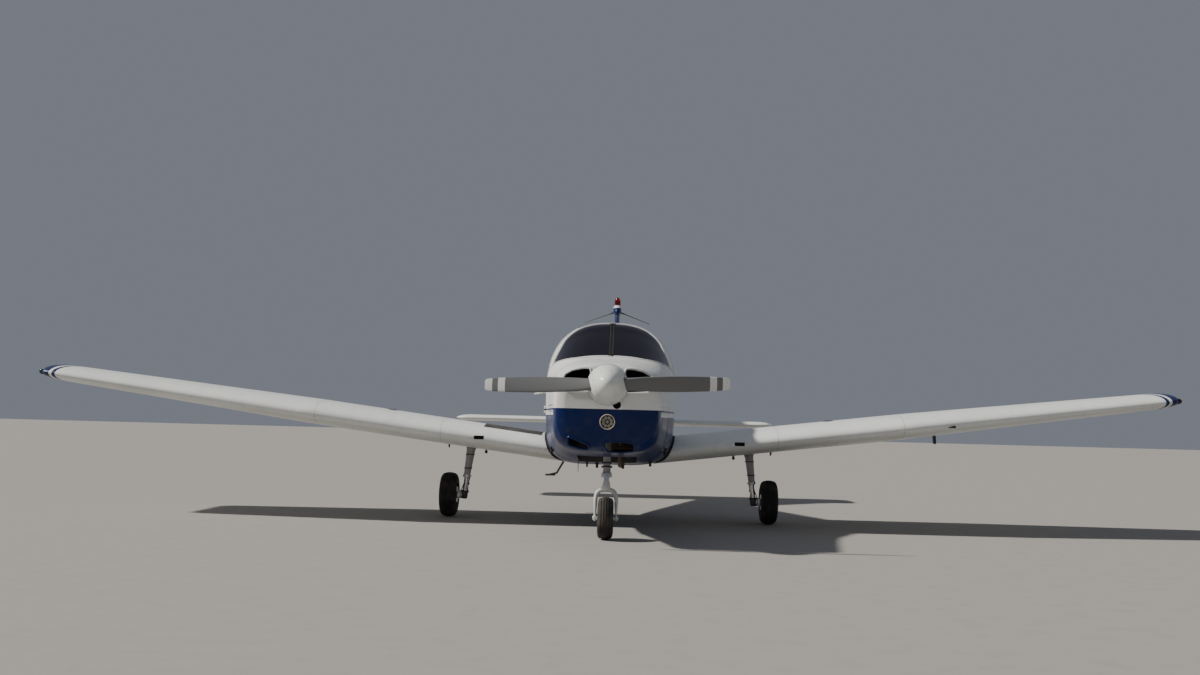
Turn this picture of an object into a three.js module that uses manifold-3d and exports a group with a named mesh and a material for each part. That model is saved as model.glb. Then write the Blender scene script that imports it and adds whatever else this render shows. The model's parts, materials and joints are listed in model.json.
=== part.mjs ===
// Four-seat low-wing light aircraft on a fixed tricycle gear, at full size.
// Millimetres, +Z up, ground at Z = 0, nose towards -Y, port wing towards +X.
// The origin is on the ground below the middle of the aircraft's box.

import * as THREE from "three";
import { mergeVertices } from "three/addons/utils/BufferGeometryUtils.js";
import Module from "manifold-3d";

const wasm = await Module();
wasm.setup();

// Driving dimensions. A station is a distance aft of the propeller's disc.
const OVERALL_LENGTH = 7254;
const SPINNER_LENGTH = 211;
const WING_TIP_X = 5335;
const TOUCH = 0.3;
const MOVING_GAP = 7;
const PROPELLER_HEIGHT = 1232;
const CABIN_WALL = 38;
const COWL_WALL = 9;
const TAIL_WALL = 12;
const DIHEDRAL = THREE.MathUtils.degToRad(7);
const DOOR_AJAR = THREE.MathUtils.degToRad(3);
const HOOP_POINTS = 32;

const at = (station) => station + SPINNER_LENGTH - OVERALL_LENGTH / 2;
const TAIL_END_STATION = OVERALL_LENGTH - SPINNER_LENGTH;

// Finishes
const finish = (color, roughness, metalness) => ({ color, roughness, metalness });
const WHITE_PAINT = finish(0xeef2f0, 0.35, 0.0);
const BLUE_PAINT = finish(0x0b1f5c, 0.3, 0.0);
const DARK_METAL = finish(0x3a3b3e, 0.55, 0.7);
const BARE_METAL = finish(0xb9bcbf, 0.35, 0.9);
const TINTED_GLASS = finish(0x2a2438, 0.1, 0.0);
const TYRE_RUBBER = finish(0x1c1b1b, 0.85, 0.0);
const GREY_CLOTH = finish(0x6d6a68, 0.9, 0.0);
const BLACK_PLASTIC = finish(0x1a1a1b, 0.6, 0.0);
const RED_LENS = finish(0xb01515, 0.2, 0.0);

// Turns a closed geometry into a solid that can be cut and joined.
function solidOf(geometry) {
  const bare = geometry.clone();
  for (const name of Object.keys(bare.attributes)) {
    if (name !== "position") bare.deleteAttribute(name);
  }
  const merged = mergeVertices(bare, 1e-4);
  const solid = new wasm.Manifold(new wasm.Mesh({
    numProp: 3,
    vertProperties: new Float32Array(merged.attributes.position.array),
    triVerts: new Uint32Array(merged.index.array),
  }));
  return solid;
}

// Turns a solid back into a geometry for a mesh.
function geometryOf(solid) {
  const mesh = solid.getMesh();
  const geometry = new THREE.BufferGeometry();
  geometry.setAttribute("position", new THREE.BufferAttribute(mesh.vertProperties, 3));
  geometry.setIndex(new THREE.BufferAttribute(mesh.triVerts, 1));
  return geometry;
}

const joined = (...solids) => solids.reduce((sum, solid) => sum.add(solid));
const cut = (solid, ...tools) => tools.reduce((rest, tool) => rest.subtract(tool), solid);
const common = (...solids) => solids.reduce((rest, solid) => rest.intersect(solid));

function moved(geometry, matrix) {
  geometry.applyMatrix4(matrix);
  return geometry;
}

function box(xLow, xHigh, yLow, yHigh, zLow, zHigh) {
  const geometry = new THREE.BoxGeometry(xHigh - xLow, yHigh - yLow, zHigh - zLow);
  geometry.translate((xLow + xHigh) / 2, (yLow + yHigh) / 2, (zLow + zHigh) / 2);
  return solidOf(geometry);
}

// An outline of [y, z] points seen from the side, extruded across the aircraft.
function sidePrism(outline, xLow, xHigh) {
  const shape = new THREE.Shape(outline.map(([y, z]) => new THREE.Vector2(y, z)));
  const geometry = new THREE.ExtrudeGeometry(shape, { depth: xHigh - xLow, bevelEnabled: false });
  const turn = new THREE.Matrix4().makeBasis(
    new THREE.Vector3(0, 1, 0), new THREE.Vector3(0, 0, 1), new THREE.Vector3(1, 0, 0));
  moved(geometry, turn).translate(xLow, 0, 0);
  return solidOf(geometry);
}

// An outline of [x, z] points seen from the front, extruded along the aircraft.
function frontPrism(outline, yLow, yHigh) {
  const shape = new THREE.Shape(outline.map(([x, z]) => new THREE.Vector2(x, z)));
  const geometry = new THREE.ExtrudeGeometry(shape, { depth: yHigh - yLow, bevelEnabled: false });
  const turn = new THREE.Matrix4().makeBasis(
    new THREE.Vector3(1, 0, 0), new THREE.Vector3(0, 0, 1), new THREE.Vector3(0, -1, 0));
  moved(geometry, turn).translate(0, yHigh, 0);
  return solidOf(geometry);
}

// A round rod, straight or tapered, between two points.
function rod(start, end, radiusStart, radiusEnd = radiusStart, sides = 16) {
  const from = new THREE.Vector3(...start);
  const along = new THREE.Vector3(...end).sub(from);
  const geometry = new THREE.CylinderGeometry(radiusEnd, radiusStart, along.length(), sides);
  geometry.translate(0, along.length() / 2, 0);
  const turn = new THREE.Quaternion().setFromUnitVectors(
    new THREE.Vector3(0, 1, 0), along.clone().normalize());
  geometry.applyQuaternion(turn);
  geometry.translate(from.x, from.y, from.z);
  return solidOf(geometry);
}

// A bent round bar through a few points.
function bentRod(points, radius, sides = 10, steps = 14) {
  const curve = new THREE.CatmullRomCurve3(points.map((p) => new THREE.Vector3(...p)), false, "centripetal");
  const circle = new THREE.Shape();
  circle.absarc(0, 0, radius, 0, 2 * Math.PI);
  const geometry = new THREE.ExtrudeGeometry(circle, {
    steps, extrudePath: curve, bevelEnabled: false, curveSegments: sides / 2,
  });
  return solidOf(geometry);
}

// A turned piece: profile of [radius, along] points round an axis through a point.
function turned(profile, point, axis, segments = 32) {
  const geometry = new THREE.LatheGeometry(profile.map(([r, h]) => new THREE.Vector2(r, h)), segments);
  const turn = new THREE.Quaternion().setFromUnitVectors(
    new THREE.Vector3(0, 1, 0), new THREE.Vector3(...axis).normalize());
  geometry.applyQuaternion(turn);
  geometry.translate(...point);
  const solid = solidOf(geometry);
  return solid.volume() > 0 ? solid : solidOf(flipped(geometry));
}

function flipped(geometry) {
  const index = Array.from(geometry.index.array);
  for (let i = 0; i < index.length; i += 3) {
    [index[i], index[i + 1]] = [index[i + 1], index[i]];
  }
  geometry.setIndex(index);
  return geometry;
}

// A closed skin through rings of equally many points, with flat ends.
function loft(rings) {
  const count = rings[0].length;
  const positions = [];
  const faces = [];
  for (const ring of rings) {
    for (const point of ring) positions.push(...point);
  }
  for (let r = 0; r + 1 < rings.length; r++) {
    for (let i = 0; i < count; i++) {
      const a = r * count + i;
      const b = r * count + (i + 1) % count;
      faces.push(a, b, b + count, a, b + count, a + count);
    }
  }
  for (const [r, reverse] of [[0, true], [rings.length - 1, false]]) {
    const centre = [0, 1, 2].map((k) => rings[r].reduce((sum, p) => sum + p[k], 0) / count);
    const hub = positions.length / 3;
    positions.push(...centre);
    for (let i = 0; i < count; i++) {
      const a = r * count + i;
      const b = r * count + (i + 1) % count;
      faces.push(...(reverse ? [hub, b, a] : [hub, a, b]));
    }
  }
  const geometry = new THREE.BufferGeometry();
  geometry.setAttribute("position", new THREE.Float32BufferAttribute(positions, 3));
  geometry.setIndex(faces);
  const signedVolume = faceVolume(geometry);
  return solidOf(signedVolume > 0 ? geometry : flipped(geometry));
}

function faceVolume(geometry) {
  const p = geometry.attributes.position;
  const index = geometry.index.array;
  const [a, b, c] = [new THREE.Vector3(), new THREE.Vector3(), new THREE.Vector3()];
  let volume = 0;
  for (let i = 0; i < index.length; i += 3) {
    a.fromBufferAttribute(p, index[i]);
    b.fromBufferAttribute(p, index[i + 1]);
    c.fromBufferAttribute(p, index[i + 2]);
    volume += a.dot(b.cross(c)) / 6;
  }
  return volume;
}

// The mirror image of a solid across the aircraft's middle plane.
const mirrored = (solid) => solid.mirror([1, 0, 0]);

// Radius of a bore that a pin with flat-sided facets turns in freely.
const boreRadius = (radius, sides) => (radius + 0.15) / Math.cos(Math.PI / sides);

// Fuselage hoops. Each is two halves of a superellipse that meet at the middle height.
const FUSELAGE = [
  // station, half width, middle, top, bottom, top power, bottom power
  [45, 345, 1090, 1372, 815, 2.5, 3.4],
  [75, 392, 1090, 1390, 760, 2.5, 3.6],
  [150, 418, 1090, 1400, 722, 2.5, 4.0],
  [400, 442, 1100, 1418, 700, 2.5, 4.2],
  [1103, 505, 1150, 1467, 608, 2.5, 4.6],
  [1385, 530, 1180, 1508, 578, 2.5, 5.0],
  [1900, 575, 1195, 1758, 570, 2.5, 5.0],
  [2105, 584, 1200, 1846, 570, 2.5, 5.0],
  [2450, 588, 1200, 1868, 570, 2.5, 5.0],
  [2850, 580, 1200, 1850, 572, 2.5, 5.0],
  [3400, 545, 1190, 1735, 585, 2.5, 4.6],
  [3950, 475, 1165, 1605, 620, 2.4, 4.0],
  [4700, 358, 1130, 1450, 700, 2.3, 3.2],
  [5600, 222, 1100, 1325, 825, 2.2, 2.6],
  [6480, 96, 1085, 1212, 985, 2.1, 2.2],
  [6640, 66, 1085, 1180, 1012, 2.1, 2.2],
].map(([station, halfWidth, middle, top, bottom, topPower, bottomPower]) => (
  { station, halfWidth, middle, top, bottom, topPower, bottomPower }));

function hoopAt(station) {
  const last = FUSELAGE.length - 1;
  let i = 0;
  while (i < last - 1 && FUSELAGE[i + 1].station < station) i++;
  const [low, high] = [FUSELAGE[i], FUSELAGE[i + 1]];
  const share = (station - low.station) / (high.station - low.station);
  const hoop = {};
  for (const key of Object.keys(low)) hoop[key] = low[key] + (high[key] - low[key]) * share;
  return hoop;
}

function hoopRing(hoop, inset) {
  const ring = [];
  for (let i = 0; i < HOOP_POINTS; i++) {
    const angle = (2 * Math.PI * i) / HOOP_POINTS;
    const [c, s] = [Math.cos(angle), Math.sin(angle)];
    const upper = s >= 0;
    const a = hoop.halfWidth - inset;
    const b = (upper ? hoop.top - hoop.middle : hoop.middle - hoop.bottom) - inset;
    const power = upper ? hoop.topPower : hoop.bottomPower;
    const reach = (Math.abs(c / a) ** power + Math.abs(s / b) ** power) ** (-1 / power);
    ring.push([reach * c, at(hoop.station), hoop.middle + reach * s]);
  }
  return ring;
}

// The fuselage's outside between two stations, drawn in by an inset.
function hull(from, to, inset) {
  const between = FUSELAGE.filter((hoop) => hoop.station > from + 1 && hoop.station < to - 1);
  const hoops = [hoopAt(from), ...between, hoopAt(to)];
  return loft(hoops.map((hoop) => hoopRing(hoop, inset)));
}

// Wing sections. The inner panel has a constant chord and the outer one tapers.
const WING = [
  // x, leading edge station, chord, thickness share, incidence in degrees
  [400, 1895, 1600, 0.15, 2.0],
  [2700, 1895, 1600, 0.15, 2.0],
  [5170, 2225, 1075, 0.14, 0.5],
  [5270, 2262, 985, 0.115, 0.5],
  [WING_TIP_X, 2390, 740, 0.06, 0.5],
].map(([x, leading, chord, thickness, incidence]) => ({ x, leading, chord, thickness, incidence }));
const WING_ROOT_X = 580;
const WING_ROOT_LEADING_Z = 691;
const CHORD_SHARES = [1, 0.92, 0.82, 0.7, 0.55, 0.4, 0.28, 0.17, 0.08, 0.025, 0];
const TRAILING_HALF = 1.6;

// Half thickness and middle line of an aerofoil, as shares of its chord.
const halfThickness = (s, t) => 5 * t * (0.2969 * Math.sqrt(s) - 0.126 * s - 0.3516 * s ** 2
  + 0.2843 * s ** 3 - 0.1036 * s ** 4);
const camberLine = (s, m) => (s < 0.4 ? (m / 0.16) * (0.8 * s - s * s) : (m / 0.36) * (0.2 + 0.8 * s - s * s));

// Points of an aerofoil: [distance aft of the leading edge, height].
function aerofoil(chord, thickness, camber) {
  const upper = CHORD_SHARES.map((s) => [s * chord,
    camberLine(s, camber) * chord + Math.max(halfThickness(s, thickness) * chord, s > 0.5 ? TRAILING_HALF : 0)]);
  const lower = CHORD_SHARES.slice(0, -1).map((s) => [s * chord,
    camberLine(s, camber) * chord - Math.max(halfThickness(s, thickness) * chord, s > 0.5 ? TRAILING_HALF : 0)]);
  return [...upper, ...lower.reverse()];
}

const WING_CAMBER = 0.02;

function wingAt(x) {
  let i = 0;
  while (i < WING.length - 2 && WING[i + 1].x < x) i++;
  const share = (x - WING[i].x) / (WING[i + 1].x - WING[i].x);
  const section = {};
  for (const key of Object.keys(WING[i])) section[key] = WING[i][key] + (WING[i + 1][key] - WING[i][key]) * share;
  section.leadingZ = WING_ROOT_LEADING_Z + (x - WING_ROOT_X) * Math.tan(DIHEDRAL);
  return section;
}

// Height of the middle of the wing's thickness, and half the thickness, at a share of the chord.
function wingMiddle(x, share) {
  const section = wingAt(x);
  const incidence = THREE.MathUtils.degToRad(section.incidence);
  const aft = share * section.chord;
  const up = camberLine(share, WING_CAMBER) * section.chord;
  return {
    point: [x, at(section.leading) + aft * Math.cos(incidence) + up * Math.sin(incidence),
      section.leadingZ - aft * Math.sin(incidence) + up * Math.cos(incidence)],
    half: halfThickness(share, section.thickness) * section.chord,
  };
}

function wingSolid() {
  return loft(WING.map(({ x }) => {
    const section = wingAt(x);
    const incidence = THREE.MathUtils.degToRad(section.incidence);
    return aerofoil(section.chord, section.thickness, WING_CAMBER).map(([aft, up]) => [
      x,
      at(section.leading) + aft * Math.cos(incidence) + up * Math.sin(incidence),
      section.leadingZ - aft * Math.sin(incidence) + up * Math.cos(incidence),
    ]);
  }));
}

// Cuts a hinged surface out of a lifting surface. Both hinge ends are given as {point, half},
// where half is half the thickness there. The surface turns on a pin at each end, or on plates
// that reach into its nose at the given distances along the hinge.
function hingedSurface(whole, inner, outer, upwards, chordBehind, { pinRadius = 6, plates = [] } = {}) {
  const start = new THREE.Vector3(...inner.point);
  const end = new THREE.Vector3(...outer.point);
  const along = end.clone().sub(start).normalize();
  const length = end.distanceTo(start);
  const aft = new THREE.Vector3().crossVectors(new THREE.Vector3(...upwards), along).normalize();
  if (aft.y < 0) aft.negate();
  const up = new THREE.Vector3().crossVectors(along, aft).normalize();
  const frame = new THREE.Matrix4().makeBasis(along, aft, up).setPosition(start);
  const block = (from, to, front, back, half) => {
    const geometry = new THREE.BoxGeometry(to - from, back - front, 2 * half);
    geometry.translate((from + to) / 2, (front + back) / 2, 0);
    return solidOf(moved(geometry, frame));
  };
  const drum = (from, to, grow) => {
    const radiusAt = (t) => inner.half + ((outer.half - inner.half) * t) / length + grow;
    const geometry = new THREE.CylinderGeometry(radiusAt(to), radiusAt(from), to - from, 16);
    geometry.rotateZ(-Math.PI / 2).translate((from + to) / 2, 0, 0);
    return solidOf(moved(geometry, frame));
  };
  const pin = (from, to, radius) => {
    const place = (t) => start.clone().addScaledVector(along, t).toArray();
    return rod(place(from), place(to), radius, radius, 8);
  };
  const gap = MOVING_GAP;
  const tall = 400;
  const slot = joined(block(-gap, length + gap, 0, chordBehind, tall), drum(-gap, length + gap, gap + 1));
  let fixed = cut(whole, slot);
  const nose = cut(drum(0, length, 0), block(-1, length + 1, 0.5, chordBehind, tall));
  let moving = joined(common(whole, block(0, length, 0, chordBehind, tall)), nose);
  const bore = boreRadius(pinRadius, 8);
  if (plates.length === 0) {
    const engaged = 30;
    const rooted = gap + 12;
    fixed = joined(fixed, pin(-rooted, engaged, pinRadius), pin(length - engaged, length + rooted, pinRadius));
    moving = cut(moving, pin(-rooted, engaged + 1, bore), pin(length - engaged - 1, length + rooted, bore));
  }
  for (const t of plates) {
    const eye = pinRadius + 3;
    const plate = block(t - 4, t + 4, -(inner.half + gap + 14), eye, eye);
    fixed = joined(fixed, plate, pin(t - 22, t + 22, pinRadius));
    moving = cut(moving, block(t - 4 - gap, t + 4 + gap, -80, eye + gap + 2, 80), pin(t - 23, t + 23, bore));
  }
  return { fixed, moving };
}

const parts = [];
function add(name, solid, look) {
  parts.push({ name, solid, look });
}

// Fuselage shell, split where the real panels meet.
const FIREWALL = { front: 1098, back: 1108 };
const CABIN_BACK = 3950;
const BULKHEAD_BACK = 3962;
const BELLY_TOP = 700;
const SCUTTLE_BOTTOM = 1330;
const ROOF_EDGE = 1807;
const WINDSCREEN = { baseFront: 1385, baseFrontZ: 1503, corner: 1930, cornerZ: 1405, top: 2125, topZ: 1890 };

function polygonOf(points) {
  return points.map(([station, z]) => [at(station), z]);
}

const cabinOutside = hull(FIREWALL.back + TOUCH, CABIN_BACK, 0);
const cabinInside = hull(FIREWALL.back - 5, CABIN_BACK + 5, CABIN_WALL);
const cabinShell = cut(cabinOutside, cabinInside);
const WIDE = 900;

function pillarStation(z) {
  const slope = (WINDSCREEN.top - WINDSCREEN.corner) / (WINDSCREEN.topZ - WINDSCREEN.cornerZ);
  return WINDSCREEN.corner + (z - WINDSCREEN.cornerZ) * slope;
}

const frontWindow = [[2065, 1345], [2215, 1700], [2700, 1700], [2700, 1345]];
const rearWindow = [[2850, 1345], [2850, 1695], [3440, 1618], [3700, 1410], [3640, 1345]];
const windscreenOutline = [
  [WINDSCREEN.baseFront, WINDSCREEN.baseFrontZ], [WINDSCREEN.corner, WINDSCREEN.cornerZ],
  [WINDSCREEN.top, WINDSCREEN.topZ], [WINDSCREEN.baseFront, WINDSCREEN.topZ],
];

// Draws an outline in towards its middle by a small distance.
function shrunk(outline, by) {
  const centre = [0, 1].map((k) => outline.reduce((sum, p) => sum + p[k], 0) / outline.length);
  return outline.map((p) => {
    const away = Math.hypot(p[0] - centre[0], p[1] - centre[1]);
    return [0, 1].map((k) => p[k] + ((centre[k] - p[k]) * by) / away);
  });
}

// Door openings. The rear edge of each is a cylinder about its hinge, so that it swings clear.
const CABIN_DOOR = {
  hingeX: -591, hingeStation: 1985, radius: 813, bottom: 950, top: 1800,
  front: 1992, elbowZ: 1330, topFront: 2205, knuckles: [1010, 1250],
};
const BAGGAGE_DOOR = {
  hingeX: -566, hingeStation: 3290, radius: 500, bottom: 870, top: 1270,
  front: 3297, elbowZ: 1000, topFront: 3297, knuckles: [930, 1150],
};
const hingeLine = (door) => [door.hingeX, at(door.hingeStation)];

function doorBlock(door, grow) {
  const outline = polygonOf([
    [door.front - grow, door.bottom - grow], [door.front - grow, door.elbowZ],
    [door.topFront - grow, door.top + grow], [door.front + 2 * door.radius, door.top + grow],
    [door.front + 2 * door.radius, door.bottom - grow],
  ]);
  const round = rod([...hingeLine(door), 0], [...hingeLine(door), 2500], door.radius + grow, door.radius + grow, 96);
  return common(sidePrism(outline, -WIDE, -40), round);
}

function turnedAbout(solid, [x, y], angle) {
  return solid.translate([-x, -y, 0]).rotate([0, 0, THREE.MathUtils.radToDeg(angle)]).translate([x, y, 0]);
}

const sideOutline = polygonOf([
  [FIREWALL.back, BELLY_TOP + TOUCH], [CABIN_BACK, BELLY_TOP + TOUCH], [CABIN_BACK, 1530],
  [2860, ROOF_EDGE - TOUCH], [pillarStation(ROOF_EDGE), ROOF_EDGE - TOUCH],
  [WINDSCREEN.corner, WINDSCREEN.cornerZ], [WINDSCREEN.corner, SCUTTLE_BOTTOM],
  [FIREWALL.back, SCUTTLE_BOTTOM],
]);
const frontWindowHole = sidePrism(polygonOf(frontWindow), -WIDE, WIDE);
const rearWindowHole = sidePrism(polygonOf(rearWindow), -WIDE, WIDE);
const portHalf = box(0, WIDE, at(0), at(8000), 0, 2500);
const starboardHalf = box(-WIDE, 0, at(0), at(8000), 0, 2500);
const sideShell = cut(common(cabinShell, sidePrism(sideOutline, -WIDE, WIDE)), rearWindowHole);
const portSide = cut(common(sideShell, portHalf), frontWindowHole);

// Outside hinges of a door: a knuckle of the door turns on a pin between two fixed knuckles.
const KNUCKLE = { radius: 8, pin: 4, height: 20, inboard: 34, reach: 38, clear: 3 };

function doorHinges(door) {
  const [x, y] = hingeLine(door);
  const fixed = [];
  const moving = [];
  const bores = [];
  for (const z of door.knuckles) {
    const [low, high] = [z + KNUCKLE.height, z + 2 * KNUCKLE.height];
    for (const [from, to] of [[z, low - TOUCH], [high + TOUCH, high + KNUCKLE.height]]) {
      fixed.push(rod([x, y, from], [x, y, to], KNUCKLE.radius, KNUCKLE.radius, 8));
      fixed.push(box(x - 4, x + KNUCKLE.inboard, y - KNUCKLE.reach, y - KNUCKLE.clear, from, to));
    }
    fixed.push(rod([x, y, z], [x, y, high + KNUCKLE.height], KNUCKLE.pin, KNUCKLE.pin, 8));
    moving.push(rod([x, y, low], [x, y, high], KNUCKLE.radius, KNUCKLE.radius, 8));
    moving.push(box(x - 4, x + KNUCKLE.inboard, y + KNUCKLE.clear, y + KNUCKLE.reach, low, high));
    const bore = boreRadius(KNUCKLE.pin, 8);
    bores.push(rod([x, y, low - 1], [x, y, high + 1], bore, bore, 8));
  }
  return { fixed: joined(...fixed), moving: joined(...moving), bores: joined(...bores) };
}

const cabinHinges = doorHinges(CABIN_DOOR);
const baggageHinges = doorHinges(BAGGAGE_DOOR);
const starboardPanel = cut(common(sideShell, starboardHalf),
  doorBlock(CABIN_DOOR, MOVING_GAP), doorBlock(BAGGAGE_DOOR, MOVING_GAP));
const starboardSide = joined(starboardPanel, cabinHinges.fixed, baggageHinges.fixed);
add("cabin_side_port", portSide, WHITE_PAINT);
add("cabin_side_starboard", starboardSide, WHITE_PAINT);

const roofOutline = polygonOf([
  [pillarStation(ROOF_EDGE) + TOUCH, ROOF_EDGE], [2860, ROOF_EDGE], [CABIN_BACK, 1530 + 2 * TOUCH],
  [CABIN_BACK, 2100], [pillarStation(2100), 2100],
]);
add("cabin_roof", common(cabinShell, sidePrism(roofOutline, -WIDE, WIDE)), WHITE_PAINT);

const scuttleOutline = polygonOf([
  [FIREWALL.back, SCUTTLE_BOTTOM + TOUCH], [WINDSCREEN.corner - TOUCH, SCUTTLE_BOTTOM + TOUCH],
  [WINDSCREEN.corner - TOUCH, WINDSCREEN.cornerZ], [WINDSCREEN.baseFront, WINDSCREEN.baseFrontZ],
  [WINDSCREEN.baseFront, 1700], [FIREWALL.back, 1700],
]);
add("scuttle", common(cabinShell, sidePrism(scuttleOutline, -WIDE, WIDE)), WHITE_PAINT);
add("cabin_belly", common(cabinShell, box(-WIDE, WIDE, at(0), at(8000), 0, BELLY_TOP)), WHITE_PAINT);

const GLASS_INSET = 5;
const GLASS_THICK = 7;
const POST_HALF = 22;
const glassLayer = cut(hull(1150, 3900, GLASS_INSET), hull(1140, 3910, GLASS_INSET + GLASS_THICK));
const postLayer = cut(hull(1150, 3900, 1), hull(1140, 3910, 26));
const windscreenRoom = sidePrism(polygonOf(shrunk(windscreenOutline, 1.2)), -WIDE, WIDE);
const postSlab = box(-POST_HALF, POST_HALF, at(0), at(3000), 0, 2500);
add("windscreen_post", common(postLayer, windscreenRoom, postSlab), BLACK_PLASTIC);
const screenPort = common(glassLayer, windscreenRoom, box(POST_HALF + TOUCH, WIDE, at(0), at(3000), 0, 2500));
add("windscreen_port", screenPort, TINTED_GLASS);
add("windscreen_starboard", mirrored(screenPort), TINTED_GLASS);

const frontPane = common(glassLayer, sidePrism(polygonOf(shrunk(frontWindow, 0.6)), 0, WIDE));
const rearPane = common(glassLayer, sidePrism(polygonOf(shrunk(rearWindow, 0.6)), 0, WIDE));
add("front_window_port", frontPane, TINTED_GLASS);
add("rear_window_port", rearPane, TINTED_GLASS);
add("rear_window_starboard", mirrored(rearPane), TINTED_GLASS);

const doorPanel = cut(common(cabinShell, doorBlock(CABIN_DOOR, 0)), frontWindowHole);
const cabinDoor = cut(joined(doorPanel, cabinHinges.moving), cabinHinges.bores);
add("cabin_door", turnedAbout(cabinDoor, hingeLine(CABIN_DOOR), DOOR_AJAR), WHITE_PAINT);
add("door_window", turnedAbout(mirrored(frontPane), hingeLine(CABIN_DOOR), DOOR_AJAR), TINTED_GLASS);
const baggagePanel = common(cabinShell, doorBlock(BAGGAGE_DOOR, 0));
add("baggage_door", cut(joined(baggagePanel, baggageHinges.moving), baggageHinges.bores), WHITE_PAINT);

const bulkheadSlab = box(-WIDE, WIDE, at(CABIN_BACK + TOUCH), at(BULKHEAD_BACK), 0, 2500);
add("baggage_bulkhead", common(hull(3900, 4000, 1), bulkheadSlab), BARE_METAL);
const firewallSlab = box(-WIDE, WIDE, at(FIREWALL.front), at(FIREWALL.back), 0, 2500);
add("firewall", common(hull(1000, 1200, 1), firewallSlab), BARE_METAL);

// Engine cowl: an upper and a lower half, open at the inlets and at the outlet below.
const COWL_SPLIT = 1045;
const COWL_BACK = FIREWALL.front - TOUCH;
const cowlOutside = hull(45, COWL_BACK, 0);
const cowlInside = hull(45 + COWL_WALL, COWL_BACK + 5, COWL_WALL);
const inlet = [
  [165, 1172], [165, 1345], [255, 1337], [312, 1312], [336, 1275], [336, 1215], [305, 1178],
];
const mirrorOutline = (outline) => outline.map(([x, z]) => [-x, z]);
const LAMP = { x: 5, z: 949, radius: 64 };
const breather = { x: 74, z: 1080, radius: 31 };
const scoopMouth = [[-295, 838], [-295, 768], [-200, 742], [-130, 735], [-130, 772]];
const outlet = box(-240, 240, at(660), at(1120), 500, 730);
const cowlShell = cut(cowlOutside, cowlInside,
  frontPrism(inlet, at(0), at(300)), frontPrism(mirrorOutline(inlet), at(0), at(300)),
  frontPrism(scoopMouth, at(0), at(300)), outlet,
  rod([0, at(0), PROPELLER_HEIGHT], [0, at(120), PROPELLER_HEIGHT], 105, 105, 32),
  rod([LAMP.x, at(0), LAMP.z], [LAMP.x, at(120), LAMP.z], LAMP.radius + 0.5, LAMP.radius + 0.5, 24),
  rod([breather.x, at(0), breather.z], [breather.x, at(120), breather.z], breather.radius, breather.radius, 16));
add("cowl_top", common(cowlShell, box(-WIDE, WIDE, at(0), at(1200), COWL_SPLIT + TOUCH, 2500)), WHITE_PAINT);
add("cowl_bottom", common(cowlShell, box(-WIDE, WIDE, at(0), at(1200), 0, COWL_SPLIT)), BLUE_PAINT);
add("landing_lamp", turned(
  [[0, 0], [48, 4], [LAMP.radius, 0], [LAMP.radius, 14], [58, 30], [30, 52], [0, 56]],
  [LAMP.x, at(44), LAMP.z], [0, 1, 0], 24), BARE_METAL);

// Engine: one plain block with its crank boss, and a rear housing that meets the firewall.
add("engine_block", joined(
  box(-370, 370, at(250), at(860), 1000, 1245),
  rod([0, at(15 + TOUCH), PROPELLER_HEIGHT], [0, at(260), PROPELLER_HEIGHT], 58, 58, 24),
  box(-150, 150, at(850), at(FIREWALL.front - TOUCH), 1050, 1320)), DARK_METAL);
add("exhaust_pipe", bentRod([
  [112, at(800), 1000 - TOUCH], [112, at(800), 900], [112, at(830), 760], [112, at(890), 655],
  [112, at(985), 592],
], 27, 12, 8), DARK_METAL);

// Propeller: two blades on a hub, inside a spinner on its back plate.
const SPINNER_RADIUS = 154;
const HUB = { front: -62, back: 7 - TOUCH, radius: 62 };
const spinnerProfile = [
  [0, -SPINNER_LENGTH], [14, -209], [34, -199], [66, -171], [98, -128], [124, -82], [143, -38],
  [SPINNER_RADIUS, 0], [SPINNER_RADIUS, 15], [0, 15],
];
const spinnerHollow = [
  [0, -194], [58, -158], [114, -72], [144, -6], [144, 7], [0, 7],
];
const PROP_ROLL = THREE.MathUtils.degToRad(-1.65);
const BLADE_CENTRE = -30;
const BLADE = [
  // radius, chord, thickness, pitch in degrees
  [40, 84, 38, 30],
  [110, 96, 33, 30],
  [160, 108, 27, 30],
  [300, 124, 19, 27],
  [500, 130, 14, 22],
  [700, 124, 10, 18],
  [860, 106, 7, 15.5],
  [925, 72, 5, 15],
  [940, 34, 3, 15],
].map(([radius, chord, thickness, pitch]) => ({ radius, chord, thickness, pitch }));

// A blade section: rounded in front, thinner behind. The leading edge is up on the port blade.
function bladeRing({ radius, chord, thickness, pitch }) {
  const angle = THREE.MathUtils.degToRad(pitch);
  const outline = [
    [0.5, 0], [0.44, 0.42], [0.22, 0.62], [-0.1, 0.55], [-0.4, 0.22],
    [-0.5, 0], [-0.38, -0.24], [-0.05, -0.36], [0.25, -0.36], [0.45, -0.24],
  ];
  return outline.map(([along, front]) => {
    const [a, f] = [along * chord, front * thickness];
    return [radius, BLADE_CENTRE - a * Math.sin(angle) - f * Math.cos(angle),
      a * Math.cos(angle) - f * Math.sin(angle)];
  });
}

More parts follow.
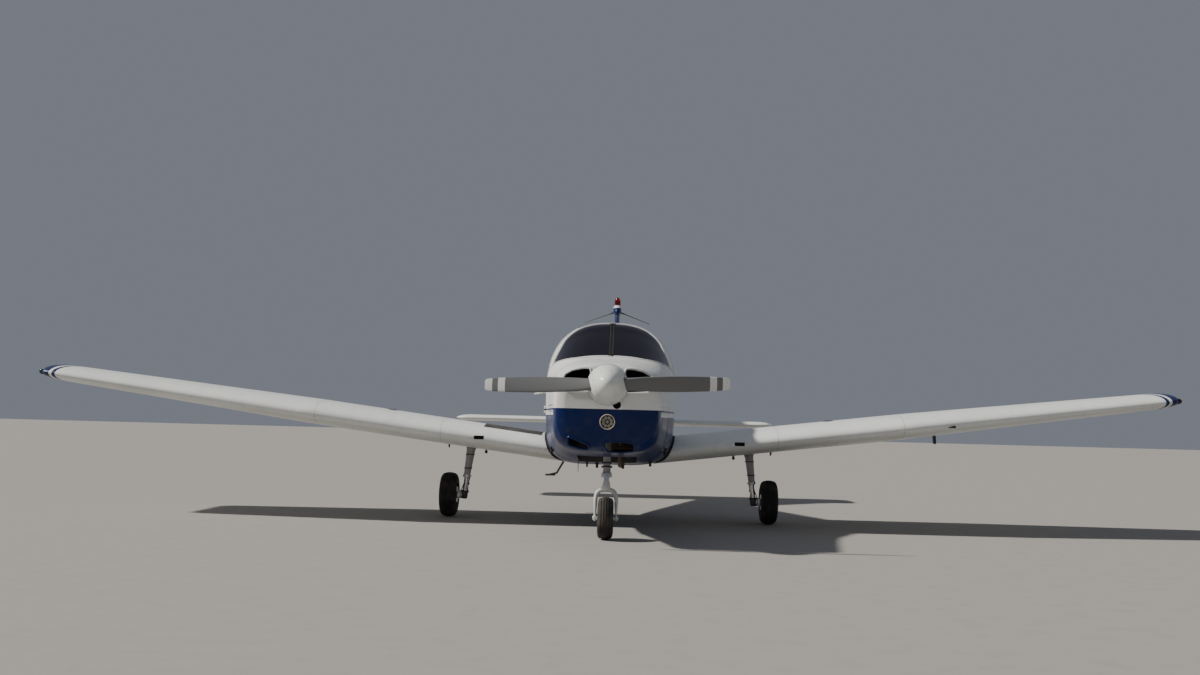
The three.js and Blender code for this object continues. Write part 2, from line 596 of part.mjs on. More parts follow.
const portBlade = loft(BLADE.map(bladeRing));
const bothBlades = joined(portBlade, portBlade.rotate([0, 180, 0]));
const hub = turned([[0, HUB.front], [HUB.radius, HUB.front], [HUB.radius, HUB.back], [0, HUB.back]], [0, 0, 0], [0, 1, 0], 24);
const toPropeller = (solid) => solid.rotate([0, THREE.MathUtils.radToDeg(PROP_ROLL), 0])
  .translate([0, at(0), PROPELLER_HEIGHT]);
const bladeRoom = joined(...[1, -1].map((side) => {
  const slot = loft([
    { radius: 80, chord: 112, thickness: 50, pitch: 30 }, { radius: 180, chord: 122, thickness: 44, pitch: 30 },
  ].map(bladeRing));
  return side > 0 ? slot : slot.rotate([0, 180, 0]);
}));
const spinnerShell = cut(turned(spinnerProfile, [0, 0, 0], [0, 1, 0], 32),
  turned(spinnerHollow, [0, 0, 0], [0, 1, 0], 20), bladeRoom);
add("spinner", toPropeller(spinnerShell), WHITE_PAINT);
add("propeller_blades", toPropeller(joined(bothBlades, hub)), BARE_METAL);

// Tail cone, open at its front where the bulkhead closes it, with the pivot lug of the stabilator.
const STABILATOR = {
  leading: 6280, trailing: TAIL_END_STATION, height: 936, thickness: 76, halfSpan: 1957, pivot: 6500,
};
const PIVOT = [0, at(STABILATOR.pivot), STABILATOR.height];
const stabilatorRoom = sidePrism(polygonOf([
  [6262, 700], [6262, 994], [6520, 994], [6720, 1040], [6720, 700],
]), -WIDE, WIDE);
const tailShell = cut(hull(BULKHEAD_BACK + TOUCH, 6640, 0), hull(BULKHEAD_BACK - 5, 6622, TAIL_WALL), stabilatorRoom);
const pivotLug = joined(
  sidePrism(polygonOf([[6475, 920], [6430, 1120], [6600, 1120], [6525, 920]]), -10, 10),
  box(-130, 130, at(6430), at(6600), 1108, 1120));
const PIVOT_PIN = 11;
const pivotPin = rod([-44, PIVOT[1], PIVOT[2]], [44, PIVOT[1], PIVOT[2]], PIVOT_PIN, PIVOT_PIN, 16);
const tieDownTail = box(-5, 5, at(5930), at(5990), 812, 905);
add("tail_cone", joined(tailShell, common(pivotLug, joined(hull(6300, 6640, 6), box(-30, 30, at(6300), at(6640), 800, 1000))),
  pivotPin, tieDownTail), BLUE_PAINT);

// Fin and rudder from one aerofoil outline; the rudder is cut out about its hinge.
const FIN = [
  // height, leading edge station, trailing edge station, thickness
  [1080, 4890, 6820, 78],
  [1400, 5190, 6850, 72],
  [2240, 6075, 6955, 60],
  [2335, 6180, 6968, 52],
].map(([height, leading, trailing, thickness]) => ({ height, leading, trailing, thickness }));

function finAt(height) {
  let i = 0;
  while (i < FIN.length - 2 && FIN[i + 1].height < height) i++;
  const share = (height - FIN[i].height) / (FIN[i + 1].height - FIN[i].height);
  const section = {};
  for (const key of Object.keys(FIN[i])) section[key] = FIN[i][key] + (FIN[i + 1][key] - FIN[i][key]) * share;
  return section;
}

const finWhole = loft(FIN.map(({ height, leading, trailing, thickness }) => {
  const chord = trailing - leading;
  return aerofoil(chord, thickness / chord, 0).map(([aft, side]) => [side, at(leading + aft), height]);
}));
const RUDDER = { lowZ: 1262, lowStation: 6420, highZ: 2332, highStation: 6600 };

function finHinge(z, station) {
  const section = finAt(z);
  const chord = section.trailing - section.leading;
  const half = halfThickness((station - section.leading) / chord, section.thickness / chord) * chord;
  return { point: [0, at(station), z], half };
}

const rudderCut = hingedSurface(finWhole, finHinge(RUDDER.lowZ, RUDDER.lowStation),
  finHinge(RUDDER.highZ, RUDDER.highStation), [1, 0, 0], 620, { pinRadius: 4, plates: [120, 520, 920] });
const tailOutside = hull(4500, 6640, -TOUCH);
const FIN_TOP = 2240;
const belowRudder = box(-100, 100, at(6560), at(7100), 900, 1262);
const finBody = common(cut(rudderCut.fixed, tailOutside, belowRudder),
  box(-100, 100, at(4800), at(7100), 1000, FIN_TOP));
add("fin", finBody, BLUE_PAINT);
add("rudder", rudderCut.moving, BLUE_PAINT);

// The fin's tip fairing is wider than the fin and carries the beacon and the aerial.
const FIN_TIP = [
  // height, leading edge station, trailing edge station, thickness
  [FIN_TOP + TOUCH, 6070, 6550, 66],
  [2262, 6068, 6552, 98],
  [2335, 6120, 6562, 98],
  [2358, 6190, 6550, 62],
];
const tipWhole = loft(FIN_TIP.map(([height, leading, trailing, thickness]) => {
  const chord = trailing - leading;
  return aerofoil(chord, thickness / chord, 0).map(([aft, side]) => [side, at(leading + aft), height]);
}));
const AERIAL = { station: 6300, height: 2272, radius: 7 };
const aerialBar = (grow) => box(-70, 70, at(AERIAL.station - 18) - grow, at(AERIAL.station + 18) + grow,
  AERIAL.height - 7 - grow, AERIAL.height + 7 + grow);
add("fin_tip", cut(tipWhole, aerialBar(TOUCH)), BLUE_PAINT);
const whisker = rod([58, at(AERIAL.station + 2), AERIAL.height], [400, at(6610), 2168], AERIAL.radius, 4, 8);
add("nav_aerial", joined(aerialBar(0), whisker, mirrored(whisker)), BLACK_PLASTIC);
const BEACON_TOP = 2476;
add("beacon", turned(
  [[0, 0], [50, 0], [50, 28], [46, 70], [32, 100], [0, BEACON_TOP - 2358.3]],
  [0, at(6390), 2358.3], [0, 0, 1], 20), RED_LENS);

// Stabilator: one all-moving surface with hollow halves, a notch round the pivot lug, and a tab.
function stabilatorRing(x, lead, trail, thickness) {
  const chord = trail - lead;
  return aerofoil(chord, thickness / chord, 0).map(([aft, up]) => [x, at(lead + aft),
    STABILATOR.height + up]);
}

const tipEdge = STABILATOR.halfSpan;
const stabilatorStations = [
  // x, leading edge station, trailing edge station, thickness
  [-tipEdge, 6430, 6900, 22], [-tipEdge + 70, 6310, 7010, 60],
  [-tipEdge + 150, STABILATOR.leading, STABILATOR.trailing, STABILATOR.thickness],
  [tipEdge - 150, STABILATOR.leading, STABILATOR.trailing, STABILATOR.thickness],
  [tipEdge - 70, 6310, 7010, 60], [tipEdge, 6430, 6900, 22],
];
const stabilatorWhole = loft(stabilatorStations.map(
  ([x, lead, trail, thickness]) => stabilatorRing(x, lead, trail, thickness)));
const TAB = { share: 0.86, halfSpan: 1300 };
const stabilatorChord = STABILATOR.trailing - STABILATOR.leading;
const tabHinge = (x) => ({
  point: [x, at(STABILATOR.leading + TAB.share * stabilatorChord), STABILATOR.height],
  half: halfThickness(TAB.share, STABILATOR.thickness / stabilatorChord) * stabilatorChord,
});
const tabCut = hingedSurface(stabilatorWhole, tabHinge(-TAB.halfSpan), tabHinge(TAB.halfSpan), [0, 0, 1], 200,
  { pinRadius: 3 });
const bayHeight = 24;
const bay = box(125, tipEdge - 160, at(6360), at(6700), STABILATOR.height - bayHeight, STABILATOR.height + bayHeight);
const bayDoor = box(40, 130, at(6360), at(6420), STABILATOR.height - 12, STABILATOR.height + 12);
const lugNotch = box(-17, 17, at(6425), at(6590), STABILATOR.height - 30, STABILATOR.height + 80);
const bayMouth = box(-45, 45, at(6360), at(6430), STABILATOR.height - 12, STABILATOR.height + 80);
const pivotBore = rod([-46, PIVOT[1], PIVOT[2]], [46, PIVOT[1], PIVOT[2]],
  boreRadius(PIVOT_PIN, 16), boreRadius(PIVOT_PIN, 16), 16);
add("stabilator", cut(tabCut.fixed, bay, mirrored(bay), bayDoor, mirrored(bayDoor), lugNotch, bayMouth, pivotBore),
  WHITE_PAINT);
add("trim_tab", tabCut.moving, WHITE_PAINT);

// Wings: an inner panel with a plain flap, an outer panel with an aileron, and a rounded tip.
const HINGE_SHARE = 0.82;
const FLAP = { inner: 660, outer: 2640 };
const AILERON = { inner: 2712, outer: 4950 };
const fuselageRoom = hull(FIREWALL.back + TOUCH, CABIN_BACK, -TOUCH);
const wingWhole = wingSolid();
const flapCut = hingedSurface(wingWhole, wingMiddle(FLAP.inner, HINGE_SHARE), wingMiddle(FLAP.outer, HINGE_SHARE),
  [0, 0, 1], 500);
const aileronCut = hingedSurface(flapCut.fixed, wingMiddle(AILERON.inner, HINGE_SHARE),
  wingMiddle(AILERON.outer, HINGE_SHARE), [0, 0, 1], 500);
const AIR_SLOT = { x: 1172, width: 92 };
const airSlot = box(AIR_SLOT.x - AIR_SLOT.width / 2, AIR_SLOT.x + AIR_SLOT.width / 2, at(1850), at(1960), 756, 790);
const GEAR = { x: 1335, station: 2745, wheelX: 1530, wheelRadius: 210 };
const TIE_DOWN = { x: 1530, station: 2560 };
const tieDownWing = box(TIE_DOWN.x - 4, TIE_DOWN.x + 4, at(TIE_DOWN.station - 25), at(TIE_DOWN.station + 25), 655, 740);
const portWing = joined(cut(aileronCut.fixed, airSlot), tieDownWing);
for (const [side, turn] of [["port", (solid) => solid], ["starboard", mirrored]]) {
  add(`wing_${side}`, cut(turn(portWing), fuselageRoom), WHITE_PAINT);
  add(`flap_${side}`, turn(flapCut.moving), WHITE_PAINT);
  add(`aileron_${side}`, turn(aileronCut.moving), WHITE_PAINT);
}

// Main legs lean outwards, square to the wing. Each is a sprung strut, a foot and an axle.
const legPoint = (z) => [GEAR.x + (650 - z) * Math.tan(DIHEDRAL), at(GEAR.station), z];
const AXLE = 19;
const mainLegShape = joined(
  rod(legPoint(745), legPoint(378), 42, 31, 20),
  rod(legPoint(400), legPoint(376), 36, 36, 20),
  rod(legPoint(380), legPoint(215), 21, 21, 16),
  box(1352, 1416, at(GEAR.station) - 34, at(GEAR.station) + 34, 168, 252),
  rod([1380, at(GEAR.station), 210], [1612, at(GEAR.station), 210], AXLE, AXLE, 16),
  sidePrism([[at(GEAR.station) + 20, 400], [at(GEAR.station) + 116, 322], [at(GEAR.station) + 116, 302],
    [at(GEAR.station) + 20, 372]], 1350, 1374),
  sidePrism([[at(GEAR.station) + 20, 250], [at(GEAR.station) + 116, 322], [at(GEAR.station) + 116, 300],
    [at(GEAR.station) + 20, 215]], 1360, 1384));
const mainLeg = cut(mainLegShape, portWing.translate([0, 0, -TOUCH]));
add("main_leg_port", mainLeg, DARK_METAL);
add("main_leg_starboard", mirrored(mainLeg), DARK_METAL);

// Wheels: a rim with two flanges, and a tyre seated between them.
function wheel({ radius, width, rimRadius, rimHalf, boreFor, disc }) {
  const bore = boreRadius(boreFor, 24);
  const flange = rimRadius + 10;
  const boss = rimRadius * 0.54;
  const brake = [[bore, -rimHalf - 24], [rimRadius - 2, -rimHalf - 24], [rimRadius - 2, -rimHalf - 18],
    [boss, -rimHalf - 18]];
  const inner = disc ? brake : [[bore, -rimHalf - 6], [boss, -rimHalf - 6]];
  const rim = [
    ...inner, [boss, -rimHalf + 20], [rimRadius - 6, -rimHalf + 2], [flange, -rimHalf - 9], [flange, -rimHalf - 5],
    [rimRadius, -rimHalf + 2], [rimRadius, rimHalf - 2], [flange, rimHalf + 5], [flange, rimHalf + 9],
    [rimRadius - 6, rimHalf - 2], [boss, rimHalf - 20], [boss, rimHalf + 6], [bore, rimHalf + 6], inner[0],
  ];
  const half = width / 2;
  const deep = radius - rimRadius;
  const bead = rimRadius / Math.cos(Math.PI / 32) + TOUCH;
  const side = [
    [bead, rimHalf - 3], [flange + 1, rimHalf + 4], [rimRadius + deep * 0.16, half * 0.84],
    [rimRadius + deep * 0.4, half], [rimRadius + deep * 0.72, half * 0.93], [rimRadius + deep * 0.92, half * 0.64],
    [radius, half * 0.22],
  ];
  const otherSide = side.map(([r, along]) => [r, -along]).reverse();
  return { rim, tyre: [...side, ...otherSide, side[0]] };
}

const mainWheel = wheel({ radius: GEAR.wheelRadius, width: 162, rimRadius: 78, rimHalf: 52, boreFor: AXLE, disc: true });
for (const [side, turn] of [["port", (solid) => solid], ["starboard", mirrored]]) {
  const centre = [GEAR.wheelX, at(GEAR.station), GEAR.wheelRadius];
  add(`main_rim_${side}`, turn(turned(mainWheel.rim, centre, [1, 0, 0], 24)), BARE_METAL);
  add(`main_tyre_${side}`, turn(turned(mainWheel.tyre, centre, [1, 0, 0])), TYRE_RUBBER);
}

// Nose gear: a housing on the firewall, and a fork that steers inside it.
const NOSE = { station: 720, wheelRadius: 172.5, width: 128, rake: THREE.MathUtils.degToRad(8), axle: 14 };
const strutPoint = (z) => [0, at(745) + (z - 300) * Math.tan(NOSE.rake), z];
const HOUSING = { bottom: 532, top: 968, radius: 31 };
const PISTON = { top: 700, radius: 23 };
const pistonBore = boreRadius(PISTON.radius, 16);
const housing = joined(
  rod(strutPoint(HOUSING.top), strutPoint(HOUSING.bottom), HOUSING.radius, HOUSING.radius, 16),
  rod(strutPoint(HOUSING.top), strutPoint(780), 44, 44, 16),
  box(-58, 58, at(815), at(FIREWALL.front - TOUCH), 800, 950));
add("nose_strut", cut(housing, rod(strutPoint(PISTON.top + 8), strutPoint(HOUSING.bottom - 40), pistonBore, pistonBore, 16)),
  DARK_METAL);
const axleY = at(NOSE.station);
const forkArm = sidePrism([
  [axleY - 26, 172], [axleY - 12, 146], [axleY + 12, 146], [axleY + 26, 172],
  [strutPoint(400)[1] + 34, 400], [strutPoint(430)[1] + 30, 432], [strutPoint(430)[1] - 30, 432],
  [strutPoint(400)[1] - 34, 400],
], 79, 94);
const crownBar = sidePrism([
  [strutPoint(400)[1] - 32, 398], [strutPoint(400)[1] + 32, 398],
  [strutPoint(430)[1] + 28, 432], [strutPoint(430)[1] - 28, 432],
], -94, 94);
const topFace = strutPoint(HOUSING.bottom - TOUCH * 2);
add("nose_fork", joined(
  rod(strutPoint(PISTON.top), strutPoint(415), PISTON.radius, PISTON.radius, 16),
  rod(topFace, strutPoint(498), 44, 44, 16),
  rod(strutPoint(446), strutPoint(425), 36, 36, 16),
  crownBar, forkArm, mirrored(forkArm),
  rod([-112, axleY, NOSE.wheelRadius], [112, axleY, NOSE.wheelRadius], NOSE.axle, NOSE.axle, 16),
  sidePrism([[strutPoint(515)[1] + 20, 524], [strutPoint(515)[1] + 98, 470], [strutPoint(515)[1] + 98, 454],
    [strutPoint(515)[1] + 20, 500]], -12, 12),
  sidePrism([[strutPoint(430)[1] + 10, 430], [strutPoint(515)[1] + 98, 470], [strutPoint(515)[1] + 98, 452],
    [strutPoint(420)[1] + 10, 402]], -14, 14)), BARE_METAL);
const noseWheel = wheel({ radius: NOSE.wheelRadius, width: NOSE.width, rimRadius: 66, rimHalf: 40, boreFor: NOSE.axle, disc: false });
const noseCentre = [0, axleY, NOSE.wheelRadius];
add("nose_rim", turned(noseWheel.rim, noseCentre, [1, 0, 0], 24), BARE_METAL);
add("nose_tyre", turned(noseWheel.tyre, noseCentre, [1, 0, 0]), TYRE_RUBBER);

// Cabin: panel with two control yokes, two front seats and a rear bench, fitted to the floor.
const cabinRoom = hull(FIREWALL.back + 20, CABIN_BACK - 2, CABIN_WALL + TOUCH);
const YOKE = { x: 285, z: 1185 };
const yoke = joined(
  rod([YOKE.x, at(1660), YOKE.z], [YOKE.x, at(1850), YOKE.z], 11, 11, 12),
  rod([YOKE.x - 125, at(1850), YOKE.z - 12], [YOKE.x + 125, at(1850), YOKE.z - 12], 13, 13, 12),
  rod([YOKE.x - 122, at(1850), YOKE.z - 20], [YOKE.x - 138, at(1842), YOKE.z + 105], 12, 12, 12),
  rod([YOKE.x + 122, at(1850), YOKE.z - 20], [YOKE.x + 138, at(1842), YOKE.z + 105], 12, 12, 12));
add("instrument_panel", joined(
  common(cabinRoom, joined(
    box(-WIDE, WIDE, at(1640), at(1668), 1060, 1418),
    box(-WIDE, WIDE, at(1430), at(1700), 1400, 1418))),
  yoke, mirrored(yoke)), BLACK_PLASTIC);
const frontSeatOutline = polygonOf([
  [2260, 500], [2260, 835], [2195, 850], [2190, 940], [2640, 965], [2770, 1590], [2860, 1585],
  [2765, 850], [2640, 835], [2640, 500],
]);
add("front_seat_port", common(cabinRoom, sidePrism(frontSeatOutline, 48, 450)), GREY_CLOTH);
add("front_seat_starboard", common(cabinRoom, sidePrism(frontSeatOutline, -450, -48)), GREY_CLOTH);
const rearSeatOutline = polygonOf([
  [3080, 500], [3080, 800], [3010, 815], [3005, 915], [3440, 930], [3590, 1430], [3690, 1425],
  [3570, 800], [3440, 790], [3440, 500],
]);
add("rear_bench", common(cabinRoom, sidePrism(rearSeatOutline, -440, 440)), GREY_CLOTH);

// Boarding step behind the starboard wing, hung from the belly.
const STEP_STATION = 3600;
const stepRod = bentRod([
  [-400, at(STEP_STATION), 700], [-480, at(STEP_STATION), 500], [-556, at(STEP_STATION), 402],
  [-600, at(STEP_STATION), 386], [-645, at(STEP_STATION), 372],
], 11, 8, 12);
const stepPad = box(-650, -560, at(STEP_STATION - 40), at(STEP_STATION + 40), 378, 388);
add("boarding_step", cut(joined(stepRod, stepPad), fuselageRoom), BLACK_PLASTIC);

const aircraft = new THREE.Group();
for (const { name, solid, look } of parts) {
  const mesh = new THREE.Mesh(geometryOf(solid), new THREE.MeshStandardMaterial(look));
  mesh.name = name;
  aircraft.add(mesh);
}

export default aircraft;
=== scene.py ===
# %% [markdown]
# A light aircraft, dressed over its frame. The frame holds every piece at its real place, and this
# script gives each one the fine surface and the finish of the real thing. It could be one long
# program, but a notebook of short cells lets each piece be read, run and changed by itself.

# %% The frame
import json
import math

import bmesh
import bpy
from mathutils import Matrix, Vector

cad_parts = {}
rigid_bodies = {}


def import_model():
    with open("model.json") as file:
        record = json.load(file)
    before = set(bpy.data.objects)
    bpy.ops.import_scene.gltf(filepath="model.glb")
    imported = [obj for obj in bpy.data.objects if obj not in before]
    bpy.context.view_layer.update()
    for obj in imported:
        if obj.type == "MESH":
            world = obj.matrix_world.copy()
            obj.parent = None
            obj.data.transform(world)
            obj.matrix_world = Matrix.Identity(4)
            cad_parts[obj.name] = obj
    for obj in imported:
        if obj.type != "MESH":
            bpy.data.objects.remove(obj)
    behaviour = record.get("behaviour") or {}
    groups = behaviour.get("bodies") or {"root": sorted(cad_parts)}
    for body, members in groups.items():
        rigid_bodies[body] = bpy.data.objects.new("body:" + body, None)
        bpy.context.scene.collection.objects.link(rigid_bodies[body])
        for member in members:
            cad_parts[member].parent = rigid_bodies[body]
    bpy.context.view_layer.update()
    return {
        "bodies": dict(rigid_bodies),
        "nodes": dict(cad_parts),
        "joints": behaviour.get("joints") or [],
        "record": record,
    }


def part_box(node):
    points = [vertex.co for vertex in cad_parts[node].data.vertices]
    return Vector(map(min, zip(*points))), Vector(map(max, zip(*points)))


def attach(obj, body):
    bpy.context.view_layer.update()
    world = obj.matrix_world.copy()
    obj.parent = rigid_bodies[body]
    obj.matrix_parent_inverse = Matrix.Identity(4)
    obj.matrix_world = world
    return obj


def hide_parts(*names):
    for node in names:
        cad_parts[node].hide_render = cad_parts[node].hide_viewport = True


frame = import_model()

SCENE = bpy.context.scene
SPINNER_LENGTH = 0.211
DISC_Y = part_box("spinner")[0].y + SPINNER_LENGTH
PORT, STARBOARD = 1, -1
SIDE_NAMES = {PORT: "port", STARBOARD: "starboard"}
ORIGIN, AFT, UP = (0.0, 0.0, 0.0), (0, 1, 0), (0, 0, 1)


def at(station):
    """The Y of a place that many metres aft of the propeller's disc."""
    return DISC_Y + station


print("nodes in the frame:", len(frame["nodes"]), "disc at Y", round(DISC_Y, 3))

# %% [markdown]
# Most of an aircraft is skin stretched through a few hoops or ribs. Such a skin could be pulled by
# hand from a subdivided cage. Here it is lofted: rings of points are worked out from a short table
# and joined by quads, because the table can be read, and the skin then fits its neighbours.

# %% Lofts, turned pieces and tubes
def piece_of(name, points, faces):
    mesh = bpy.data.meshes.new(name)
    mesh.from_pydata([tuple(point) for point in points], [], faces)
    piece = bpy.data.objects.new(name, mesh)
    SCENE.collection.objects.link(piece)
    return piece


def facing_out(piece, weld=1e-6):
    """Welds points that meet, and turns every face outwards."""
    form = bmesh.new()
    form.from_mesh(piece.data)
    bmesh.ops.remove_doubles(form, verts=form.verts, dist=weld)
    bmesh.ops.recalc_face_normals(form, faces=form.faces)
    form.to_mesh(piece.data)
    form.free()
    return piece


def loft(name, rings, ends=True):
    """A skin through rings of equally many points, closed by flat ends."""
    count = len(rings[0])
    last = (len(rings) - 1) * count
    faces = [tuple(range(count)), tuple(range(last, last + count))] if ends else []
    for start in range(0, last, count):
        for i in range(count):
            a, b = start + i, start + (i + 1) % count
            faces.append((a, b, b + count, a + count))
    return facing_out(piece_of(name, [point for ring in rings for point in ring], faces))


def side_prism(name, outline, low, high):
    """An outline of (y, z) points, drawn out across the aircraft."""
    return loft(name, [[(x, y, z) for y, z in outline] for x in (low, high)])


def front_prism(name, outline, low, high):
    """An outline of (x, z) points, drawn out along the aircraft."""
    return loft(name, [[(x, y, z) for x, z in outline] for y in (low, high)])


def disc_profile(low, high, radius, end_radius=None):
    """The profile of a plain disc or cone between two distances along its axis."""
    return [(low, 0), (low, radius), (high, radius if end_radius is None else end_radius), (high, 0)]


def ring_profile(low, high, inner, outer):
    """The profile of a ring with square edges."""
    return [(low, inner), (low, outer), (high, outer), (high, inner), (low, inner)]


def turned(name, profile, centre, axis, steps=48):
    """A profile of (along, radius) points, turned about an axis through a centre."""
    turn = Vector((0, 0, 1)).rotation_difference(Vector(axis).normalized())
    angles = [2 * math.pi * i / steps for i in range(steps)]
    rings = [[Vector(centre) + turn @ Vector((radius * math.cos(a), radius * math.sin(a), along))
              for a in angles] for along, radius in profile]
    return loft(name, rings, ends=profile[0] != profile[-1])


print("lofting helpers ready")

# %% [markdown]
# Bars, pins and pipes are everywhere on an aircraft. A straight bar is a turned piece with softened
# ends. A bent pipe could be many short bars, but a curve with a round bevel bends smoothly and can
# swell along its length, as the fork's arch does.

# %% Bars, tubes and blocks
def rod(name, start, end, radius, end_radius=None, steps=24):
    """A straight round bar with softened ends."""
    start, end = Vector(start), Vector(end)
    length = (end - start).length
    end_radius = radius if end_radius is None else end_radius
    soft = 0.12 * min(radius, end_radius)
    profile = [(0, 0), (0, radius - soft), (soft, radius), (length - soft, end_radius),
               (length, end_radius - soft), (length, 0)]
    return turned(name, profile, start, end - start, steps)


def tube(name, points, radius, swell=None, bends=8, closed=False):
    """A round tube along a smooth curve. swell holds each point's share of the radius."""
    path = bpy.data.curves.new(name, "CURVE")
    path.dimensions, path.bevel_depth, path.resolution_u = "3D", radius, bends
    path.bevel_resolution, path.use_fill_caps = 3, True
    line = path.splines.new("BEZIER")
    line.bezier_points.add(len(points) - 1)
    line.use_cyclic_u = closed
    for i, (spot, place) in enumerate(zip(line.bezier_points, points)):
        spot.co = place
        spot.handle_left_type = spot.handle_right_type = "AUTO"
        spot.radius = swell[i] if swell else 1.0
    bent = bpy.data.objects.new(name, path)
    SCENE.collection.objects.link(bent)
    mesh = bpy.data.meshes.new_from_object(bent.evaluated_get(bpy.context.evaluated_depsgraph_get()))
    bpy.data.objects.remove(bent)
    piece = bpy.data.objects.new(name, mesh)
    SCENE.collection.objects.link(piece)
    return facing_out(piece)


def block(name, low, high, soft=0.004):
    """A box between two corners, with rounded edges."""
    low, high = Vector(low), Vector(high)
    ring = [(low.x, low.y), (high.x, low.y), (high.x, high.y), (low.x, high.y)]
    piece = loft(name, [[(x, y, z) for x, y in ring] for z in (low.z, high.z)])
    return softened(piece, soft)


print("shape helpers ready")

# %% [markdown]
# Doors, windows and hinge gaps are cut out of the skins. Cutting could be done by editing faces,
# but boolean modifiers keep each cut as one readable line, and the manifold solver is quick and
# leaves closed bodies. Edges are softened by a bevel, because no real edge is perfectly sharp.

# %% Cutting and joining
def settle(piece):
    """Makes the result of a piece's modifiers its own mesh."""
    graph = bpy.context.evaluated_depsgraph_get()
    mesh = bpy.data.meshes.new_from_object(piece.evaluated_get(graph))
    worn_out = piece.data
    piece.modifiers.clear()
    piece.data = mesh
    bpy.data.meshes.remove(worn_out)
    return piece


def softened(piece, width, sharper_than=30):
    edge = piece.modifiers.new("edge", "BEVEL")
    edge.width, edge.segments, edge.limit_method = width, 2, "ANGLE"
    edge.angle_limit = math.radians(sharper_than)
    return settle(piece)


def combined(piece, tool, how="DIFFERENCE", keep=False):
    """Cuts, joins or intersects a piece with a tool, which is used up unless it is kept."""
    step = piece.modifiers.new("cut", "BOOLEAN")
    step.operation, step.object, step.solver = how, tool, "MANIFOLD"
    settle(piece)
    if not keep:
        bpy.data.objects.remove(tool)
    return piece


def copied(piece, name):
    twin = bpy.data.objects.new(name, piece.data.copy())
    SCENE.collection.objects.link(twin)
    return twin


def moved(piece, matrix):
    piece.data.transform(matrix)
    if matrix.determinant() < 0:
        piece.data.flip_normals()
    return piece


MIRROR = Matrix.Diagonal((-1, 1, 1, 1))


def mirrored(piece, name):
    return moved(copied(piece, name), MIRROR)


def joined(name, pieces):
    """One mesh that holds several closed bodies."""
    form = bmesh.new()
    for piece in pieces:
        form.from_mesh(piece.data)
        bpy.data.objects.remove(piece)
    whole = piece_of(name, [], [])
    form.to_mesh(whole.data)
    form.free()
    return whole


print("cutting helpers ready")

# %% [markdown]
# Every piece gets a finish, a body that it rides on and a slot for its colour, and where it stands in for
# a piece of the frame, that piece is hidden. One function says all of this in one line. What is alike on
# both sides is made once, to port, and mirrored.

# %% Dressing a piece
def dress(piece, look, body="airframe", nodes=(), smooth=30):
    """Gives a piece its finish, its slot and the body that it rides on."""
    mesh = piece.data
    mesh.materials.clear()
    mesh.materials.append(look)
    mesh.shade_smooth()
    mesh.set_sharp_from_angle(angle=math.radians(smooth))
    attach(piece, body)
    if nodes:
        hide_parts(*nodes)
    return piece


def both_sides(piece, look, body="airframe", nodes=(), smooth=30):
    """Dresses a port piece, and its mirror image, whose names say starboard instead."""
    twin = mirrored(piece, piece.name.replace("port", "starboard"))
    dress(piece, look, body, nodes, smooth)
    dress(twin, look, body.replace("port", "starboard"),
          [name.replace("port", "starboard") for name in nodes], smooth)
    return piece, twin


print("dressing helpers ready")

# %% [markdown]
# Outlines are short lists of corners, and real sheet never has a sharp corner, so one function rounds
# them all. Tables of sections are read through a smooth curve that doesn't overshoot, because a plain
# spline would swell the skin between two equal rows.

# %% Outlines, tables and small heads
def rounded(outline, radius, steps=6):
    """An outline of 2D points with every corner turned into a short curve."""
    soft = []
    for i, point in enumerate(outline):
        corner = Vector(point)
        before = Vector(outline[i - 1]) - corner
        after = Vector(outline[(i + 1) % len(outline)]) - corner
        reach = radius / math.tan(before.angle(after) / 2)
        start = corner + before.normalized() * min(reach, 0.48 * before.length)
        end = corner + after.normalized() * min(reach, 0.48 * after.length)
        for k in range(steps + 1):
            t = k / steps
            soft.append((1 - t) ** 2 * start + 2 * t * (1 - t) * corner + t ** 2 * end)
    return soft


def plate(name, outline, rounding, low, high, soft):
    """A flat plate along the aircraft, from an outline of (y, z) points with rounded corners."""
    return softened(side_prism(name, rounded(outline, rounding), low, high), soft)


def plate_at(name, place, offsets, rounding, half, soft):
    """Such a plate about a place, from (aft, up) offsets."""
    outline = [(place.y + aft, place.z + up) for aft, up in offsets]
    return plate(name, outline, rounding, place.x - half, place.x + half, soft)


def grown(outline, by):
    """An outline moved outwards from its middle by a distance."""
    centre = sum((Vector(point) for point in outline), Vector((0, 0))) / len(outline)
    return [Vector(point) + (Vector(point) - centre).normalized() * by for point in outline]


def eased(table, s, creases=()):
    """Runs smoothly through the rows of a table, without overshoot. Creases stay sharp."""
    i = max(k for k in range(len(table) - 1) if table[k][0] <= s or k == 0)
    (start, *low), (end, *high) = table[i], table[i + 1]
    t = (s - start) / (end - start)
    row = []
    for k, (a, b) in enumerate(zip(low, high), 1):
        step = (b - a) / (end - start)
        tangents = []
        for j, outer in ((i, i - 1), (i + 1, i + 2)):
            slope = step
            if 0 <= outer < len(table) and table[j][0] not in creases:
                other = (table[outer][k] - table[j][k]) / (table[outer][0] - table[j][0])
                slope = 2 * step * other / (step + other) if step * other > 0 else 0
            tangents.append(slope * (end - start))
        m0, m1 = tangents
        row.append((2 * t ** 3 - 3 * t ** 2 + 1) * a + (t ** 3 - 2 * t ** 2 + t) * m0
                   + (3 * t ** 2 - 2 * t ** 3) * b + (t ** 3 - t ** 2) * m1)
    return row


